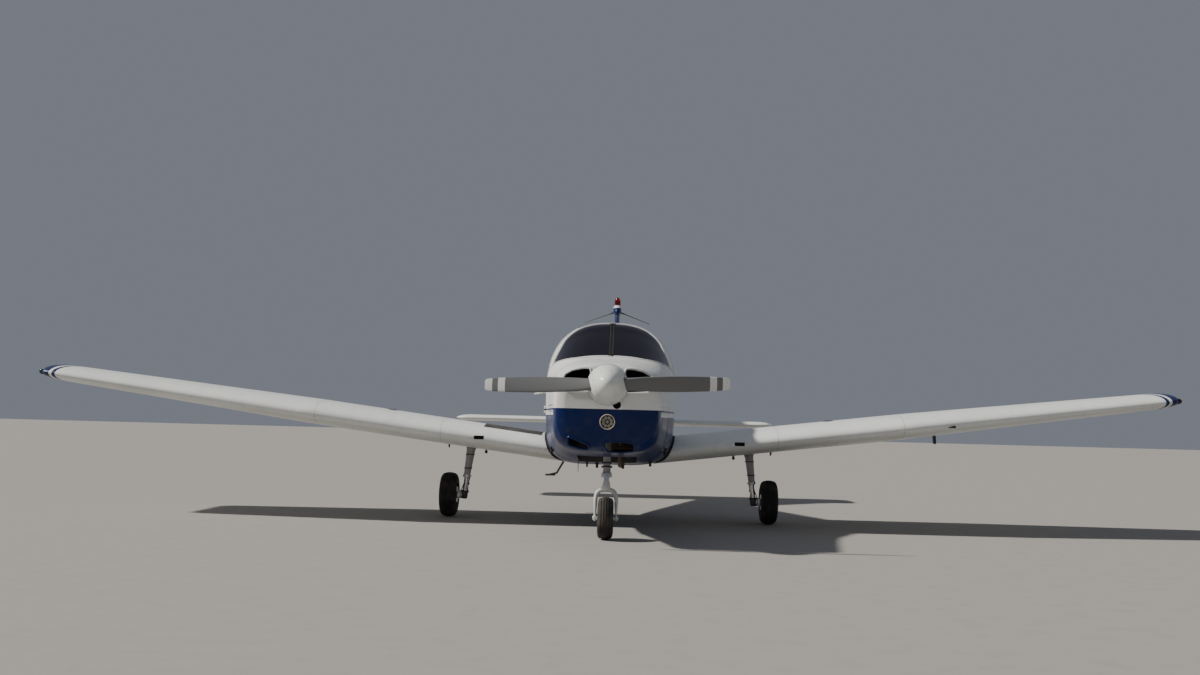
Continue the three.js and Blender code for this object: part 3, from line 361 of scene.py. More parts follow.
def studs(name, places, radius, height=None):
    """Small domed heads at (place, outward direction) pairs, in one mesh."""
    height = height or radius * 0.5
    points, faces = [], []
    sides = 8
    for place, out in places:
        turn = Vector((0, 0, 1)).rotation_difference(Vector(out).normalized())
        base = len(points)
        for along, reach in ((-0.5 * height, radius), (0.5 * height, radius), (height, radius * 0.6)):
            for k in range(sides):
                a = 2 * math.pi * k / sides
                spot = Vector((reach * math.cos(a), reach * math.sin(a), along))
                points.append(Vector(place) + turn @ spot)
        for level in range(2):
            for k in range(sides):
                a, b = base + level * sides + k, base + level * sides + (k + 1) % sides
                faces.append((a, b, b + sides, a + sides))
        faces.append(tuple(range(base + sides - 1, base - 1, -1)))
        faces.append(tuple(range(base + 2 * sides, base + 3 * sides)))
    return piece_of(name, points, faces)


def spread(start, end, steps):
    return [start + (end - start) * i / (steps - 1) for i in range(steps)]


print("outline helpers ready")

# %% [markdown]
# Every finish here is worked out from where a point lies on the aircraft, so stripes cross doors and
# panels without a break. Painting image maps could do it too, but they need unwrapped meshes. A few
# small functions keep the node trees short enough to read.

# %% Helpers for shader nodes
def node(tree, kind, inputs=None, **settings):
    """Adds a node. Inputs are numbers, colours or other nodes' sockets."""
    made = tree.nodes.new(kind)
    for key, value in settings.items():
        setattr(made, key, value)
    for key, value in (inputs or {}).items():
        if isinstance(value, bpy.types.NodeSocket):
            tree.links.new(value, made.inputs[key])
        else:
            made.inputs[key].default_value = value
    return made


def maths(tree, operation, *values):
    return node(tree, "ShaderNodeMath", dict(enumerate(values)), operation=operation).outputs[0]


def mixed(tree, share, a, b):
    return node(tree, "ShaderNodeMix", {0: share, 6: a, 7: b}, data_type="RGBA").outputs[2]


def beyond(tree, value, level, soft=0.001):
    """A mask that is 1 where the value is above the level."""
    over = maths(tree, "SUBTRACT", value, level)
    return node(tree, "ShaderNodeMapRange", {"Value": over, "From Min": -soft, "From Max": soft}).outputs[0]


def between(tree, value, low, high, soft=0.001):
    return maths(tree, "MULTIPLY", beyond(tree, value, low, soft),
                 maths(tree, "SUBTRACT", 1.0, beyond(tree, value, high, soft)))


def noise_of(tree, place, scale, detail):
    return node(tree, "ShaderNodeTexNoise", {"Vector": place, "Scale": scale, "Detail": detail}).outputs[0]


def axes(tree, place):
    return node(tree, "ShaderNodeSeparateXYZ", {0: place}).outputs


def effect(name, inputs, outputs):
    """An empty node group with named sockets, and its two end nodes."""
    tree = bpy.data.node_groups.new(name, "ShaderNodeTree")
    for label, kind, value in inputs:
        socket = tree.interface.new_socket(label, in_out="INPUT", socket_type="NodeSocket" + kind)
        socket.default_value = value
    for label in outputs:
        tree.interface.new_socket(label, in_out="OUTPUT", socket_type="NodeSocketFloat")
    return tree, tree.nodes.new("NodeGroupInput").outputs, tree.nodes.new("NodeGroupOutput").inputs


def use(tree, group, **inputs):
    """Places an effect in a material, and returns its outputs."""
    made = node(tree, "ShaderNodeGroup", node_tree=group)
    for key, value in inputs.items():
        socket = made.inputs[key.capitalize()]
        if isinstance(value, bpy.types.NodeSocket):
            tree.links.new(value, socket)
        else:
            socket.default_value = value
    return made.outputs


print("shader helpers ready")

# %% [markdown]
# Four effects come back in most finishes: dirt in soft patches, wear on raised edges, rows of rivet
# heads, and a fine grain. Each is a group with its own sockets, so a material only says how much.

# %% Effects that several finishes share
def make_patches():
    tree, given, result = effect(
        "dirt in patches", [("Place", "Vector", ORIGIN), ("Scale", "Float", 3.0), ("Level", "Float", 0.5)],
        ["Mask", "Tone"])
    noise = noise_of(tree, given["Place"], given["Scale"], 6.0)
    mask = node(tree, "ShaderNodeMapRange", {
        "Value": noise, "From Min": given["Level"], "From Max": maths(tree, "ADD", given["Level"], 0.22)})
    tree.links.new(mask.outputs[0], result["Mask"])
    tree.links.new(maths(tree, "MULTIPLY_ADD", noise, 0.16, 0.92), result["Tone"])
    return tree


def make_edge_wear():
    tree, given, result = effect(
        "wear on edges", [("Place", "Vector", ORIGIN), ("Amount", "Float", 0.5)], ["Mask"])
    edge = node(tree, "ShaderNodeMapRange", {
        "Value": node(tree, "ShaderNodeNewGeometry").outputs["Pointiness"],
        "From Min": 0.52, "From Max": 0.62})
    chips = noise_of(tree, given["Place"], 45.0, 5.0)
    broken = node(tree, "ShaderNodeMapRange", {"Value": chips, "From Min": 0.5, "From Max": 0.6})
    worn = maths(tree, "MULTIPLY", edge.outputs[0], broken.outputs[0])
    tree.links.new(maths(tree, "MULTIPLY", worn, given["Amount"]), result["Mask"])
    return tree


def make_rivets():
    """Heads at equal steps along a line. Across is the distance from that line."""
    tree, given, result = effect(
        "row of rivets",
        [("Across", "Float", 0.0), ("Along", "Float", 0.0), ("Pitch", "Float", 0.028),
         ("Radius", "Float", 0.0032)], ["Height", "Mask"])
    half = maths(tree, "MULTIPLY", given["Pitch"], 0.5)
    along = maths(tree, "PINGPONG", given["Along"], half)
    away = maths(tree, "SQRT", maths(tree, "ADD", maths(tree, "POWER", given["Across"], 2.0),
                                     maths(tree, "POWER", along, 2.0)))
    share = maths(tree, "DIVIDE", away, given["Radius"])
    head = node(tree, "ShaderNodeMapRange", {"Value": share, "From Min": 1.0, "From Max": 0.55})
    tree.links.new(head.outputs[0], result["Height"])
    rim = between(tree, share, 0.85, 1.2, 0.12)
    tree.links.new(rim, result["Mask"])
    return tree


def make_grain():
    tree, given, result = effect(
        "fine grain", [("Place", "Vector", ORIGIN), ("Stretch", "Vector", (1.0, 1.0, 1.0)),
                       ("Scale", "Float", 400.0)], ["Height", "Tone"])
    stretched = node(tree, "ShaderNodeVectorMath", {0: given["Place"], 1: given["Stretch"]},
                     operation="MULTIPLY").outputs[0]
    noise = noise_of(tree, stretched, given["Scale"], 3.0)
    tree.links.new(noise, result["Height"])
    tree.links.new(maths(tree, "MULTIPLY_ADD", noise, 0.3, 0.85), result["Tone"])
    return tree


PATCHES, EDGE_WEAR, RIVETS, GRAIN = make_patches(), make_edge_wear(), make_rivets(), make_grain()
print("effects:", ", ".join(group.name for group in bpy.data.node_groups))

# %% [markdown]
# Aircraft paint is a hard, glossy two-part coat over thin sheet. It stays clean on top, greys where
# hands and oil reach it, and chips at the edges. One function lays it over any pattern of colours,
# and it takes the pattern and the rivet rows as small functions of its own.

# %% Paint
DIRT = (0.16, 0.145, 0.12, 1.0)
PRIMER = (0.30, 0.33, 0.27, 1.0)
WHITE = (0.80, 0.82, 0.795, 1.0)
BLUE = (0.002, 0.014, 0.092, 1.0)
GREY = (0.175, 0.180, 0.185, 1.0)


def blank_material(name, color, roughness, metallic=0.0, coat=0.0, gloss=0.5):
    look = bpy.data.materials.new(name)
    look.use_nodes = True
    look.diffuse_color = color
    tree = look.node_tree
    shader = tree.nodes["Principled BSDF"]
    for key, value in (("Base Color", color), ("Roughness", roughness), ("Metallic", metallic),
                       ("Coat Weight", coat), ("Coat Roughness", 0.06), ("Specular IOR Level", gloss)):
        shader.inputs[key].default_value = value
    place = node(tree, "ShaderNodeTexCoord").outputs["Object"]
    return look, tree, shader, place


def bumped(tree, shader, height, distance, strength=1.0):
    bump = node(tree, "ShaderNodeBump", {"Height": height, "Distance": distance, "Strength": strength})
    tree.links.new(bump.outputs[0], shader.inputs["Normal"])


def painted(name, base, pattern=None, rows=None, roughness=0.28, coat=0.08, dirt=0.3, wear=0.6):
    look, tree, shader, place = blank_material(name, base, roughness, coat=coat, gloss=0.2)
    color = pattern(tree, place) if pattern else base
    patches = use(tree, PATCHES, place=place, scale=2.3, level=0.48)
    streaks = use(tree, PATCHES, place=place, scale=14.0, level=0.52)
    shade = maths(tree, "MULTIPLY", maths(tree, "MAXIMUM", patches["Mask"], streaks["Mask"]), dirt * 0.35)
    height = use(tree, GRAIN, place=place, scale=60.0)["Height"]
    height = maths(tree, "MULTIPLY", height, 0.10)
    if rows:
        heads, rims = rows(tree, place)
        height = maths(tree, "ADD", height, heads)
        shade = maths(tree, "MAXIMUM", shade, maths(tree, "MULTIPLY", rims, 0.30))
    color = mixed(tree, shade, color, DIRT)
    worn = use(tree, EDGE_WEAR, place=place, amount=wear)["Mask"]
    tree.links.new(mixed(tree, worn, color, PRIMER), shader.inputs["Base Color"])
    rough = maths(tree, "MULTIPLY_ADD", patches["Mask"], 0.16, roughness)
    tree.links.new(maths(tree, "ADD", rough, maths(tree, "MULTIPLY", worn, 0.3)), shader.inputs["Roughness"])
    bumped(tree, shader, height, 0.0012)
    return look


def rivet_rows(tree, lines, pitch=0.028):
    """Adds up rows of rivets. Each line is (distance across, distance along)."""
    heads, rims = 0.0, 0.0
    for across, along in lines:
        row = use(tree, RIVETS, across=across, along=along, pitch=pitch)
        heads = maths(tree, "MAXIMUM", heads, row["Height"])
        rims = maths(tree, "MAXIMUM", rims, row["Mask"])
    return heads, rims


def every(tree, value, first, step):
    """Distance to the nearest of many equal steps from the first."""
    return maths(tree, "PINGPONG", maths(tree, "SUBTRACT", value, first), step / 2)


def from_line(tree, value, line):
    return maths(tree, "ABSOLUTE", maths(tree, "SUBTRACT", value, line))


print("paint ready")

# %% [markdown]
# The livery is white above and deep blue below. The line between them runs level along the cowl and
# the cabin, then sweeps up so that the tail is all blue. A white stripe follows it inside the blue.
# The line's height is a smooth ramp of the station, and each stripe is a band measured from it.

# %% The livery of the fuselage
PAINT_LINE = 1.045
SWEEP = {"start": 3.3, "end": 5.3, "rise": 0.46}
SIDE_STRIPES_FROM = 0.13
WHITE_STRIPE = (-0.052, -0.014)
FRAME_PITCH = 0.47


def livery(tree, place):
    x, y, z = axes(tree, place)
    line = node(tree, "ShaderNodeMapRange", {
        "Value": y, "From Min": at(SWEEP["start"]), "From Max": at(SWEEP["end"]),
        "To Min": PAINT_LINE, "To Max": PAINT_LINE + SWEEP["rise"]},
        interpolation_type="SMOOTHSTEP").outputs[0]
    over = maths(tree, "SUBTRACT", z, line)
    on_side = beyond(tree, y, at(SIDE_STRIPES_FROM), 0.004)
    stripe = maths(tree, "MULTIPLY", between(tree, over, *WHITE_STRIPE), on_side)
    white = maths(tree, "MAXIMUM", beyond(tree, over, 0.0), stripe)
    return mixed(tree, white, BLUE, WHITE)


def fuselage_rows(tree, place):
    x, y, z = axes(tree, place)
    normal = axes(tree, node(tree, "ShaderNodeNewGeometry").outputs["Normal"])
    level = beyond(tree, maths(tree, "ABSOLUTE", normal[2]), 0.75, 0.01)
    along = node(tree, "ShaderNodeMix", {0: level, 2: z, 3: x}).outputs[0]
    frames = every(tree, y, at(1.2), FRAME_PITCH)
    lines = [(frames, along), (from_line(tree, frames, 0.022), along)]
    lines += [(from_line(tree, z, line), y) for line in (0.722, 0.86, 1.262, 1.312)]
    return rivet_rows(tree, lines)


def cowl_rows(tree, place):
    x, y, z = axes(tree, place)
    lines = [(from_line(tree, z, PAINT_LINE + offset), y) for offset in (-0.028, 0.028)]
    return rivet_rows(tree, lines, pitch=0.11)


livery_paint = painted("livery paint", WHITE, livery, fuselage_rows, wear=0.15)
cowl_paint = painted("cowl paint", WHITE, livery, cowl_rows, wear=0.0)
print("livery line at", PAINT_LINE, "m, swept up by", SWEEP["rise"], "m at the tail")

# %% [markdown]
# Rubber, plastic, bare metal and cloth differ mostly in how rough they are and in the size of their
# grain. One function makes such finishes: it varies the colour a little, dulls the shine in dirty
# patches and raises the grain as a small bump.

# %% Plain finishes
def finish(name, color, roughness, metallic=0.0, grain=250.0, depth=0.0002, stretch=(1, 1, 1), dirt=0.4,
           coat=0.0, dust=DIRT, gloss=0.5):
    look, tree, shader, place = blank_material(name, color, roughness, metallic, coat, gloss)
    patches = use(tree, PATCHES, place=place, scale=9.0, level=0.47)
    fine = use(tree, GRAIN, place=place, scale=grain, stretch=stretch)
    varied = mixed(tree, fine["Tone"], (0, 0, 0, 1), color)
    shade = maths(tree, "MULTIPLY", patches["Mask"], dirt)
    tree.links.new(mixed(tree, shade, varied, dust), shader.inputs["Base Color"])
    rough = maths(tree, "MULTIPLY_ADD", patches["Mask"], 0.22, roughness)
    tree.links.new(rough, shader.inputs["Roughness"])
    bumped(tree, shader, fine["Height"], depth)
    return look


black_rubber = finish("black rubber", (0.018, 0.018, 0.019, 1), 0.62, grain=180, dust=(0.08, 0.075, 0.07, 1))
matt_black = finish("matt black", (0.006, 0.006, 0.008, 1), 0.75, grain=600, dirt=0.05, gloss=0.1)
black_plastic = finish("black plastic", (0.02, 0.02, 0.022, 1), 0.45, grain=600, dirt=0.15)
bare_aluminium = finish("bare aluminium", (0.62, 0.63, 0.64, 1), 0.32, 1.0, grain=90, stretch=(1, 14, 1),
                        dirt=0.2)
polished_steel = finish("polished steel", (0.66, 0.66, 0.67, 1), 0.14, 1.0, grain=120, depth=0.00005,
                        dirt=0.1)
burnt_steel = finish("burnt steel", (0.12, 0.085, 0.065, 1), 0.5, 0.9, grain=70, depth=0.0006, dirt=0.7,
                     dust=(0.10, 0.055, 0.03, 1))
# Partly painted shade: a grey paint, set darker than the legs' own paint for the shade that falls on them
# under the wings and the nose.
leg_paint_and_shade = finish("leg paint darkened as shade", (0.40, 0.385, 0.405, 1), 0.38, grain=60, dirt=0.35, coat=0.2)
fork_paint = finish("fork paint", (0.74, 0.76, 0.73, 1), 0.35, grain=60, dirt=0.35, coat=0.2)
engine_grey = finish("engine grey", (0.10, 0.105, 0.11, 1), 0.6, 0.4, grain=140, depth=0.0006, dirt=0.6)
walk_grit = finish("walkway grit", (0.035, 0.035, 0.037, 1), 0.85, grain=900, depth=0.0012, dirt=0.5)
lining = finish("cabin lining", (0.10, 0.10, 0.105, 1), 0.9, grain=700, depth=0.0004, dirt=0.1)
print("plain finishes:", len(bpy.data.materials))

# %% [markdown]
# Aircraft glazing is tinted acrylic, a few millimetres thick. A clear shader on a single sheet would
# not bend light as it does, so each pane is a thin closed body and its finish lets light through it
# twice. Fine scratches dull it a little. Lamp lenses use the same finish in other colours.

# %% Glazing and lenses
def glazing(name, color, roughness=0.015, smears=0.05, gleam=(1, 1, 1, 1)):
    look, tree, shader, place = blank_material(name, color, roughness)
    shader.inputs["Transmission Weight"].default_value = 1.0
    shader.inputs["IOR"].default_value = 1.47
    shader.inputs["Specular Tint"].default_value = gleam
    smear = use(tree, PATCHES, place=place, scale=5.0, level=0.5)["Mask"]
    tree.links.new(maths(tree, "MULTIPLY_ADD", smear, smears, roughness), shader.inputs["Roughness"])
    tone = use(tree, GRAIN, place=place, scale=3.0)["Tone"]
    tree.links.new(mixed(tree, tone, (0, 0, 0, 1), color), shader.inputs["Base Color"])
    return look


# Partly painted shade: the panes carry a real tint, made darker than the real one so that the cabin behind
# them looks as dim as its shade would.
tint_and_cabin_shade = glazing("tinted pane", (0.090, 0.052, 0.125, 1), gleam=(0.34, 0.22, 0.52, 1))
clear_lens = glazing("clear lens", (0.92, 0.93, 0.95, 1), 0.02, 0.02)
red_lens = glazing("red lens", (0.42, 0.015, 0.012, 1), 0.12)
green_lens = glazing("green lens", (0.05, 0.55, 0.16, 1), 0.12)
print("glazing ready")

# %% [markdown]
# The fuselage is a row of hoops. Each hoop is two halves of a superellipse that meet at their
# widest height: nearly round above, nearly square below. The hoops run smoothly into each other,
# except at the foot of the windscreen, where the real skin has a crease.

# %% The fuselage's hoops
HOOPS = [
    # station, half width, middle, top, bottom, top power, bottom power
    (0.045, 0.345, 1.090, 1.372, 0.815, 2.5, 3.4),
    (0.075, 0.392, 1.090, 1.390, 0.760, 2.5, 3.6),
    (0.150, 0.418, 1.090, 1.400, 0.722, 2.5, 4.0),
    (0.400, 0.442, 1.100, 1.418, 0.700, 2.5, 4.2),
    (1.103, 0.505, 1.150, 1.467, 0.608, 2.5, 4.6),
    (1.385, 0.530, 1.180, 1.508, 0.578, 2.5, 5.0),
    (1.900, 0.575, 1.195, 1.758, 0.570, 2.5, 5.0),
    (2.105, 0.584, 1.200, 1.846, 0.570, 2.5, 5.0),
    (2.450, 0.588, 1.200, 1.868, 0.570, 2.5, 5.0),
    (2.850, 0.580, 1.200, 1.850, 0.572, 2.5, 5.0),
    (3.400, 0.545, 1.190, 1.735, 0.585, 2.5, 4.6),
    (3.950, 0.475, 1.165, 1.605, 0.620, 2.4, 4.0),
    (4.700, 0.358, 1.130, 1.450, 0.700, 2.3, 3.2),
    (5.600, 0.222, 1.100, 1.325, 0.825, 2.2, 2.6),
    (6.480, 0.096, 1.085, 1.212, 0.985, 2.1, 2.2),
    (6.640, 0.066, 1.085, 1.180, 1.012, 2.1, 2.2),
]
CREASE = 1.385
HOOP_POINTS = 128
HOOP_STEP = 0.055
NOSE_FACE, NOSE_ROUNDING = 0.045, 0.028


def hoop_ring(station, inset):
    half, middle, top, bottom, top_power, bottom_power = eased(HOOPS, station, (CREASE,))
    ring = []
    for i in range(HOOP_POINTS):
        angle = 2 * math.pi * i / HOOP_POINTS
        c, s = math.cos(angle), math.sin(angle)
        across = half - inset
        upright = (top - middle if s >= 0 else middle - bottom) - inset
        power = top_power if s >= 0 else bottom_power
        reach = (abs(c / across) ** power + abs(s / upright) ** power) ** (-1 / power)
        ring.append((reach * c, at(station), middle + reach * s))
    return ring


def hull(name, start, end, inset, nose=False):
    """The fuselage's skin between two stations, drawn in by an inset. A nose has a rounded front."""
    rings = []
    if nose:
        for k in range(6):
            turn = math.radians(18 * k)
            back, inwards = NOSE_ROUNDING * (1 - math.cos(turn)), NOSE_ROUNDING * (1 - math.sin(turn))
            rings.append(hoop_ring(start + back, inset + inwards))
        start += NOSE_ROUNDING + 0.004
    steps = max(2, round((end - start) / HOOP_STEP) + 1)
    stations = sorted(spread(start, end, steps) + ([CREASE] if start < CREASE < end else []))
    return loft(name, rings + [hoop_ring(station, inset) for station in stations])


def layer(name, start, end, outer, inner):
    """A thin skin that follows the fuselage between two insets, open at both ends."""
    return combined(hull(name, start, end, outer), hull("hollow", start - 0.01, end + 0.01, inner))


def side_points(points):
    return [(at(station), z) for station, z in points]


print("fuselage from", HOOPS[0][0], "to", HOOPS[-1][0], "m aft of the disc")

# %% [markdown]
# The cabin's shell is cut into the panels that it is riveted from: two sides, roof, scuttle and
# belly. All come from one shell, so their surfaces meet exactly. Windows have rounded corners, as
# every hole in a stressed skin has, and their outlines are drawn once for hole, pane and frame.

# %% Cabin panels
FIREWALL_BACK, CABIN_BACK = 1.1085, 3.950
CABIN_WALL = 0.038
BELLY_TOP, SCUTTLE_BOTTOM, ROOF_EDGE = 0.700, 1.330, 1.807
SEAM = 0.0012
WIDE = 0.9
SCREEN_BASE, SCREEN_CORNER, SCREEN_TOP = (1.385, 1.503), (1.930, 1.405), (2.125, 1.890)
WINDOW_ROUNDING = 0.07
FRONT_WINDOW = [(2.065, 1.345), (2.215, 1.700), (2.700, 1.700), (2.700, 1.345)]
REAR_WINDOW = [(2.850, 1.345), (2.850, 1.695), (3.440, 1.618), (3.700, 1.410), (3.640, 1.345)]
WINDSCREEN = [SCREEN_BASE, SCREEN_CORNER, SCREEN_TOP, (SCREEN_BASE[0], SCREEN_TOP[1])]
# The glass that shows. A strip of the skin's own paint covers the rest of the windscreen's edge.
CLEAR_SCREEN = [(1.396, 1.498), (1.745, 1.438), (1.802, 1.486), (1.879, 1.562), (2.006, 1.671),
                (2.064, 1.762), (2.114, 1.885), (SCREEN_BASE[0], SCREEN_TOP[1])]


def pillar(z):
    """The station of the windscreen's rear edge at a height."""
    share = (z - SCREEN_CORNER[1]) / (SCREEN_TOP[1] - SCREEN_CORNER[1])
    return SCREEN_CORNER[0] + share * (SCREEN_TOP[0] - SCREEN_CORNER[0])


def window_prism(outline, grow, low=-WIDE, high=WIDE):
    rounding = WINDOW_ROUNDING + grow
    return side_prism("window", rounded(grown(side_points(outline), grow), rounding), low, high)


side_outline = side_points([
    (FIREWALL_BACK, BELLY_TOP + SEAM), (CABIN_BACK, BELLY_TOP + SEAM), (CABIN_BACK, 1.530),
    (2.860, ROOF_EDGE - SEAM), (pillar(ROOF_EDGE), ROOF_EDGE - SEAM), SCREEN_CORNER,
    (SCREEN_CORNER[0], SCUTTLE_BOTTOM), (FIREWALL_BACK, SCUTTLE_BOTTOM)])
roof_outline = side_points([
    (pillar(ROOF_EDGE) + SEAM, ROOF_EDGE), (2.860, ROOF_EDGE), (CABIN_BACK, 1.530 + SEAM),
    (CABIN_BACK, 2.1), (pillar(2.1), 2.1)])
scuttle_outline = side_points([
    (FIREWALL_BACK, SCUTTLE_BOTTOM + SEAM), (SCREEN_CORNER[0] - SEAM, SCUTTLE_BOTTOM + SEAM),
    (SCREEN_CORNER[0] - SEAM, SCREEN_CORNER[1]), SCREEN_BASE, (SCREEN_BASE[0], 1.7), (FIREWALL_BACK, 1.7)])
belly_outline = side_points([
    (FIREWALL_BACK, 0.3), (CABIN_BACK, 0.3), (CABIN_BACK, BELLY_TOP), (FIREWALL_BACK, BELLY_TOP)])

cabin_shell = layer("cabin shell", FIREWALL_BACK, CABIN_BACK, 0, CABIN_WALL)


def panel(name, outline, low=-WIDE, high=WIDE):
    return combined(copied(cabin_shell, name), side_prism("panel", outline, low, high), "INTERSECT")


def line_inside(piece, look):
    """Gives the faces that look into the cabin a lining of their own."""
    mesh = piece.data
    mesh.materials.append(look)
    for face in mesh.polygons:
        outward = Vector((face.center.x, 0, face.center.z - 1.15))
        if face.normal.dot(outward.normalized()) < -0.25:
            face.material_index = 1


print("cabin shell faces:", len(cabin_shell.data.polygons))

# %% [markdown]
# A door needs room in the skin before the skin is done. Its front edge stands by the hinge, and its
# rear edge is an arc about the hinge, so that it swings clear of the frame. The same outline, a little
# larger, cuts the opening, and later the door itself is cut by it.

# %% Doorways and the cabin's skins
DOORS = {
    # hinge x and station, radius of the rear edge, front edge, bottom, elbow, top front, top, knuckles
    "cabin": dict(x=-0.591, station=1.985, radius=0.813, front=1.992, bottom=0.950, elbow=1.330,
                  top_front=2.205, top=1.800, knuckles=(1.010, 1.250)),
    "baggage": dict(x=-0.566, station=3.290, radius=0.500, front=3.297, bottom=0.870, elbow=1.000,
                    top_front=3.297, top=1.270, knuckles=(0.930, 1.150)),
}
DOOR_GAP = 0.007
DOOR_ROUNDING = 0.055


def door_outline(door, grow):
    rear = door["station"] + door["radius"] - 0.012 + grow
    points = [(door["front"] - grow, door["bottom"] - grow), (door["front"] - grow, door["elbow"]),
              (door["top_front"] - grow, door["top"] + grow), (rear, door["top"] + grow),
              (rear, door["bottom"] - grow)]
    return rounded(side_points(points), DOOR_ROUNDING + grow)


def door_block(door, grow):
    """The room of a door. Its rear edge is round about the hinge, so that it swings clear."""
    flat = side_prism("door", door_outline(door, grow), -WIDE, -0.04)
    hinge_foot = (door["x"], at(door["station"]), 0)
    swept = turned("sweep", disc_profile(0, 2.5, door["radius"] + grow), hinge_foot, UP, 160)
    return combined(flat, swept, "INTERSECT")


port_side = panel("cabin_side_port_skin", side_outline, 0)
combined(port_side, window_prism(FRONT_WINDOW, 0))
combined(port_side, window_prism(REAR_WINDOW, 0))
starboard_side = panel("cabin_side_starboard_skin", side_outline, -WIDE, 0)
combined(starboard_side, window_prism(REAR_WINDOW, 0))
for door in DOORS.values():
    combined(starboard_side, door_block(door, DOOR_GAP))
roof = panel("cabin_roof_skin", roof_outline)
scuttle = panel("scuttle_skin", scuttle_outline)
belly = panel("cabin_belly_skin", belly_outline)
panels = {"cabin_side_port": port_side, "cabin_side_starboard": starboard_side, "cabin_roof": roof,
          "scuttle": scuttle, "cabin_belly": belly}
for replaced, skin in panels.items():
    dress(skin, livery_paint, nodes=(replaced,))
    line_inside(skin, lining)
print("cabin panels:", [len(skin.data.polygons) for skin in panels.values()])

# %% [markdown]
# Small fittings have to sit on the curved skin. Their places could be measured by ray casting onto
# the mesh. The hoops already say where the skin is, so a fitting's place and its outward direction
# are worked out from the same table.

# %% Places on the skin
def half_hoop(station, z):
    """The half of a hoop that holds a height: its half width, foot, height and power."""
    half, middle, top, bottom, top_power, bottom_power = eased(HOOPS, station, (CREASE,))
    upright, power = (top - middle, top_power) if z > middle else (middle - bottom, bottom_power)
    return half, middle, upright, power


def skin_spot(station, z, side):
    """The place on the skin at a station and height, and the direction that faces out there."""
    half, middle, upright, power = half_hoop(station, z)
    share = min(abs(z - middle) / upright, 0.999)
    x = half * (1 - share ** power) ** (1 / power)
    out_x = (x / half) ** (power - 1) / half
    out_z = math.copysign(share ** (power - 1) / upright, z - middle)
    return Vector((side * x, at(station), z)), Vector((side * out_x, 0, out_z)).normalized()


def deck_spot(station, x, below=False):
    """The place on the top or on the bottom of the skin at a station and a distance to the side."""
    half, middle, upright, power = half_hoop(station, -math.inf if below else math.inf)
    share = (1 - (abs(x) / half) ** power) ** (1 / power)
    side = -1 if below else 1
    out_x = math.copysign((abs(x) / half) ** (power - 1) / half, x)
    out = Vector((out_x, 0, side * share ** (power - 1) / upright))
    return Vector((x, at(station), middle + side * upright * share)), out.normalized()


def nose_y(x, z):
    """Where a line along the aircraft first meets the nose."""
    low, high = NOSE_FACE, 1.1
    for _ in range(24):
        station = (low + high) / 2
        half, middle, upright, power = half_hoop(station, z)
        turn = math.acos(max(0.0, 1 - (station - NOSE_FACE) / NOSE_ROUNDING))
        inset = NOSE_ROUNDING * (1 - math.sin(turn)) if station < NOSE_FACE + NOSE_ROUNDING else 0
        away = (abs(x) / (half - inset)) ** power + (abs(z - middle) / (upright - inset)) ** power
        low, high = (station, high) if away > 1 else (low, station)
    return at(high)


print("skin at the firewall is", round(skin_spot(1.103, 1.15, PORT)[0].x, 3), "m out")

# %% [markdown]
# The cowl is two fibreglass shells that part along the paint line. Its holes have rolled lips, which
# catch the light and hide the thin edge. A lip could be modelled into the skin with many more faces.
# A tube laid round each mouth looks the same and follows any outline. A warm muff shows low behind.

# %% Engine cowl
COWL_SPLIT = PAINT_LINE
COWL_BACK, COWL_WALL = 1.0975, 0.009
INLET = [(0.128, 1.172), (0.128, 1.358), (0.200, 1.356), (0.272, 1.340), (0.328, 1.308), (0.346, 1.268),
         (0.342, 1.215), (0.308, 1.178)]
SCOOP = [(-0.295, 0.838), (-0.295, 0.768), (-0.200, 0.742), (-0.130, 0.735), (-0.130, 0.772)]
CHIN = [(-0.030, 0.796), (0.060, 0.803), (0.170, 0.800), (0.212, 0.786), (0.224, 0.730), (0.110, 0.718),
        (0.005, 0.724)]
OUTLET = [(-0.240, 0.5), (0.240, 0.5), (0.240, 0.730), (-0.240, 0.730)]
LAMP_X, LAMP_Z, LAMP_RADIUS = 0.005, 0.949, 0.059
PROPELLER_Z = 1.232
ROUND_HOLES = [
    # distance to port, height, radius: for the propeller's shaft, the landing lamp and the breather
    (0, PROPELLER_Z, 0.105), (LAMP_X, LAMP_Z, LAMP_RADIUS), (0.074, 1.080, 0.031),
]
MUFF_Y = at(0.360)
LIP = 0.009


def flipped(outline):
    return [(-x, z) for x, z in outline]


def round_hole(x, z, radius, depth=0.14):
    return turned("hole", disc_profile(0, depth, radius), (x, at(0), z), AFT)


def mouth_lip(name, outline, rounding, radius=LIP, back=0.35):
    """A rolled edge round a hole in the nose."""
    points = [(p.x, nose_y(p.x, p.y) + radius * back, p.y) for p in rounded(outline, rounding, 3)]
    return tube(name, points, radius, closed=True, bends=3)


cowl = hull("cowl", NOSE_FACE, COWL_BACK, 0, nose=True)
combined(cowl, hull("hollow", NOSE_FACE + COWL_WALL, COWL_BACK + 0.01, COWL_WALL, nose=True))
for mouth in (INLET, flipped(INLET), SCOOP, CHIN):
    combined(cowl, front_prism("mouth", rounded(mouth, 0.03), at(0), at(0.3)))
combined(cowl, front_prism("outlet", OUTLET, at(0.66), at(1.12)))
for hole in ROUND_HOLES:
    combined(cowl, round_hole(*hole))

cowl_top = copied(cowl, "cowl_top_shell")
combined(cowl_top, block("upper", (-WIDE, at(0), COWL_SPLIT + SEAM), (WIDE, at(1.2), 2.0)), "INTERSECT")
cowl_bottom = copied(cowl, "cowl_bottom_shell")
combined(cowl_bottom, block("lower", (-WIDE, at(0), 0.2), (WIDE, at(1.2), COWL_SPLIT)), "INTERSECT")
bpy.data.objects.remove(cowl)
dress(cowl_top, cowl_paint, nodes=("cowl_top",))
dress(cowl_bottom, cowl_paint, nodes=("cowl_bottom",))
# Painted shade: the inner faces of both cowl shells are black, which darkens the inlets, the scoop and the
# outlet as the shade inside them would.
for shell in (cowl_top, cowl_bottom):
    line_inside(shell, black_rubber)

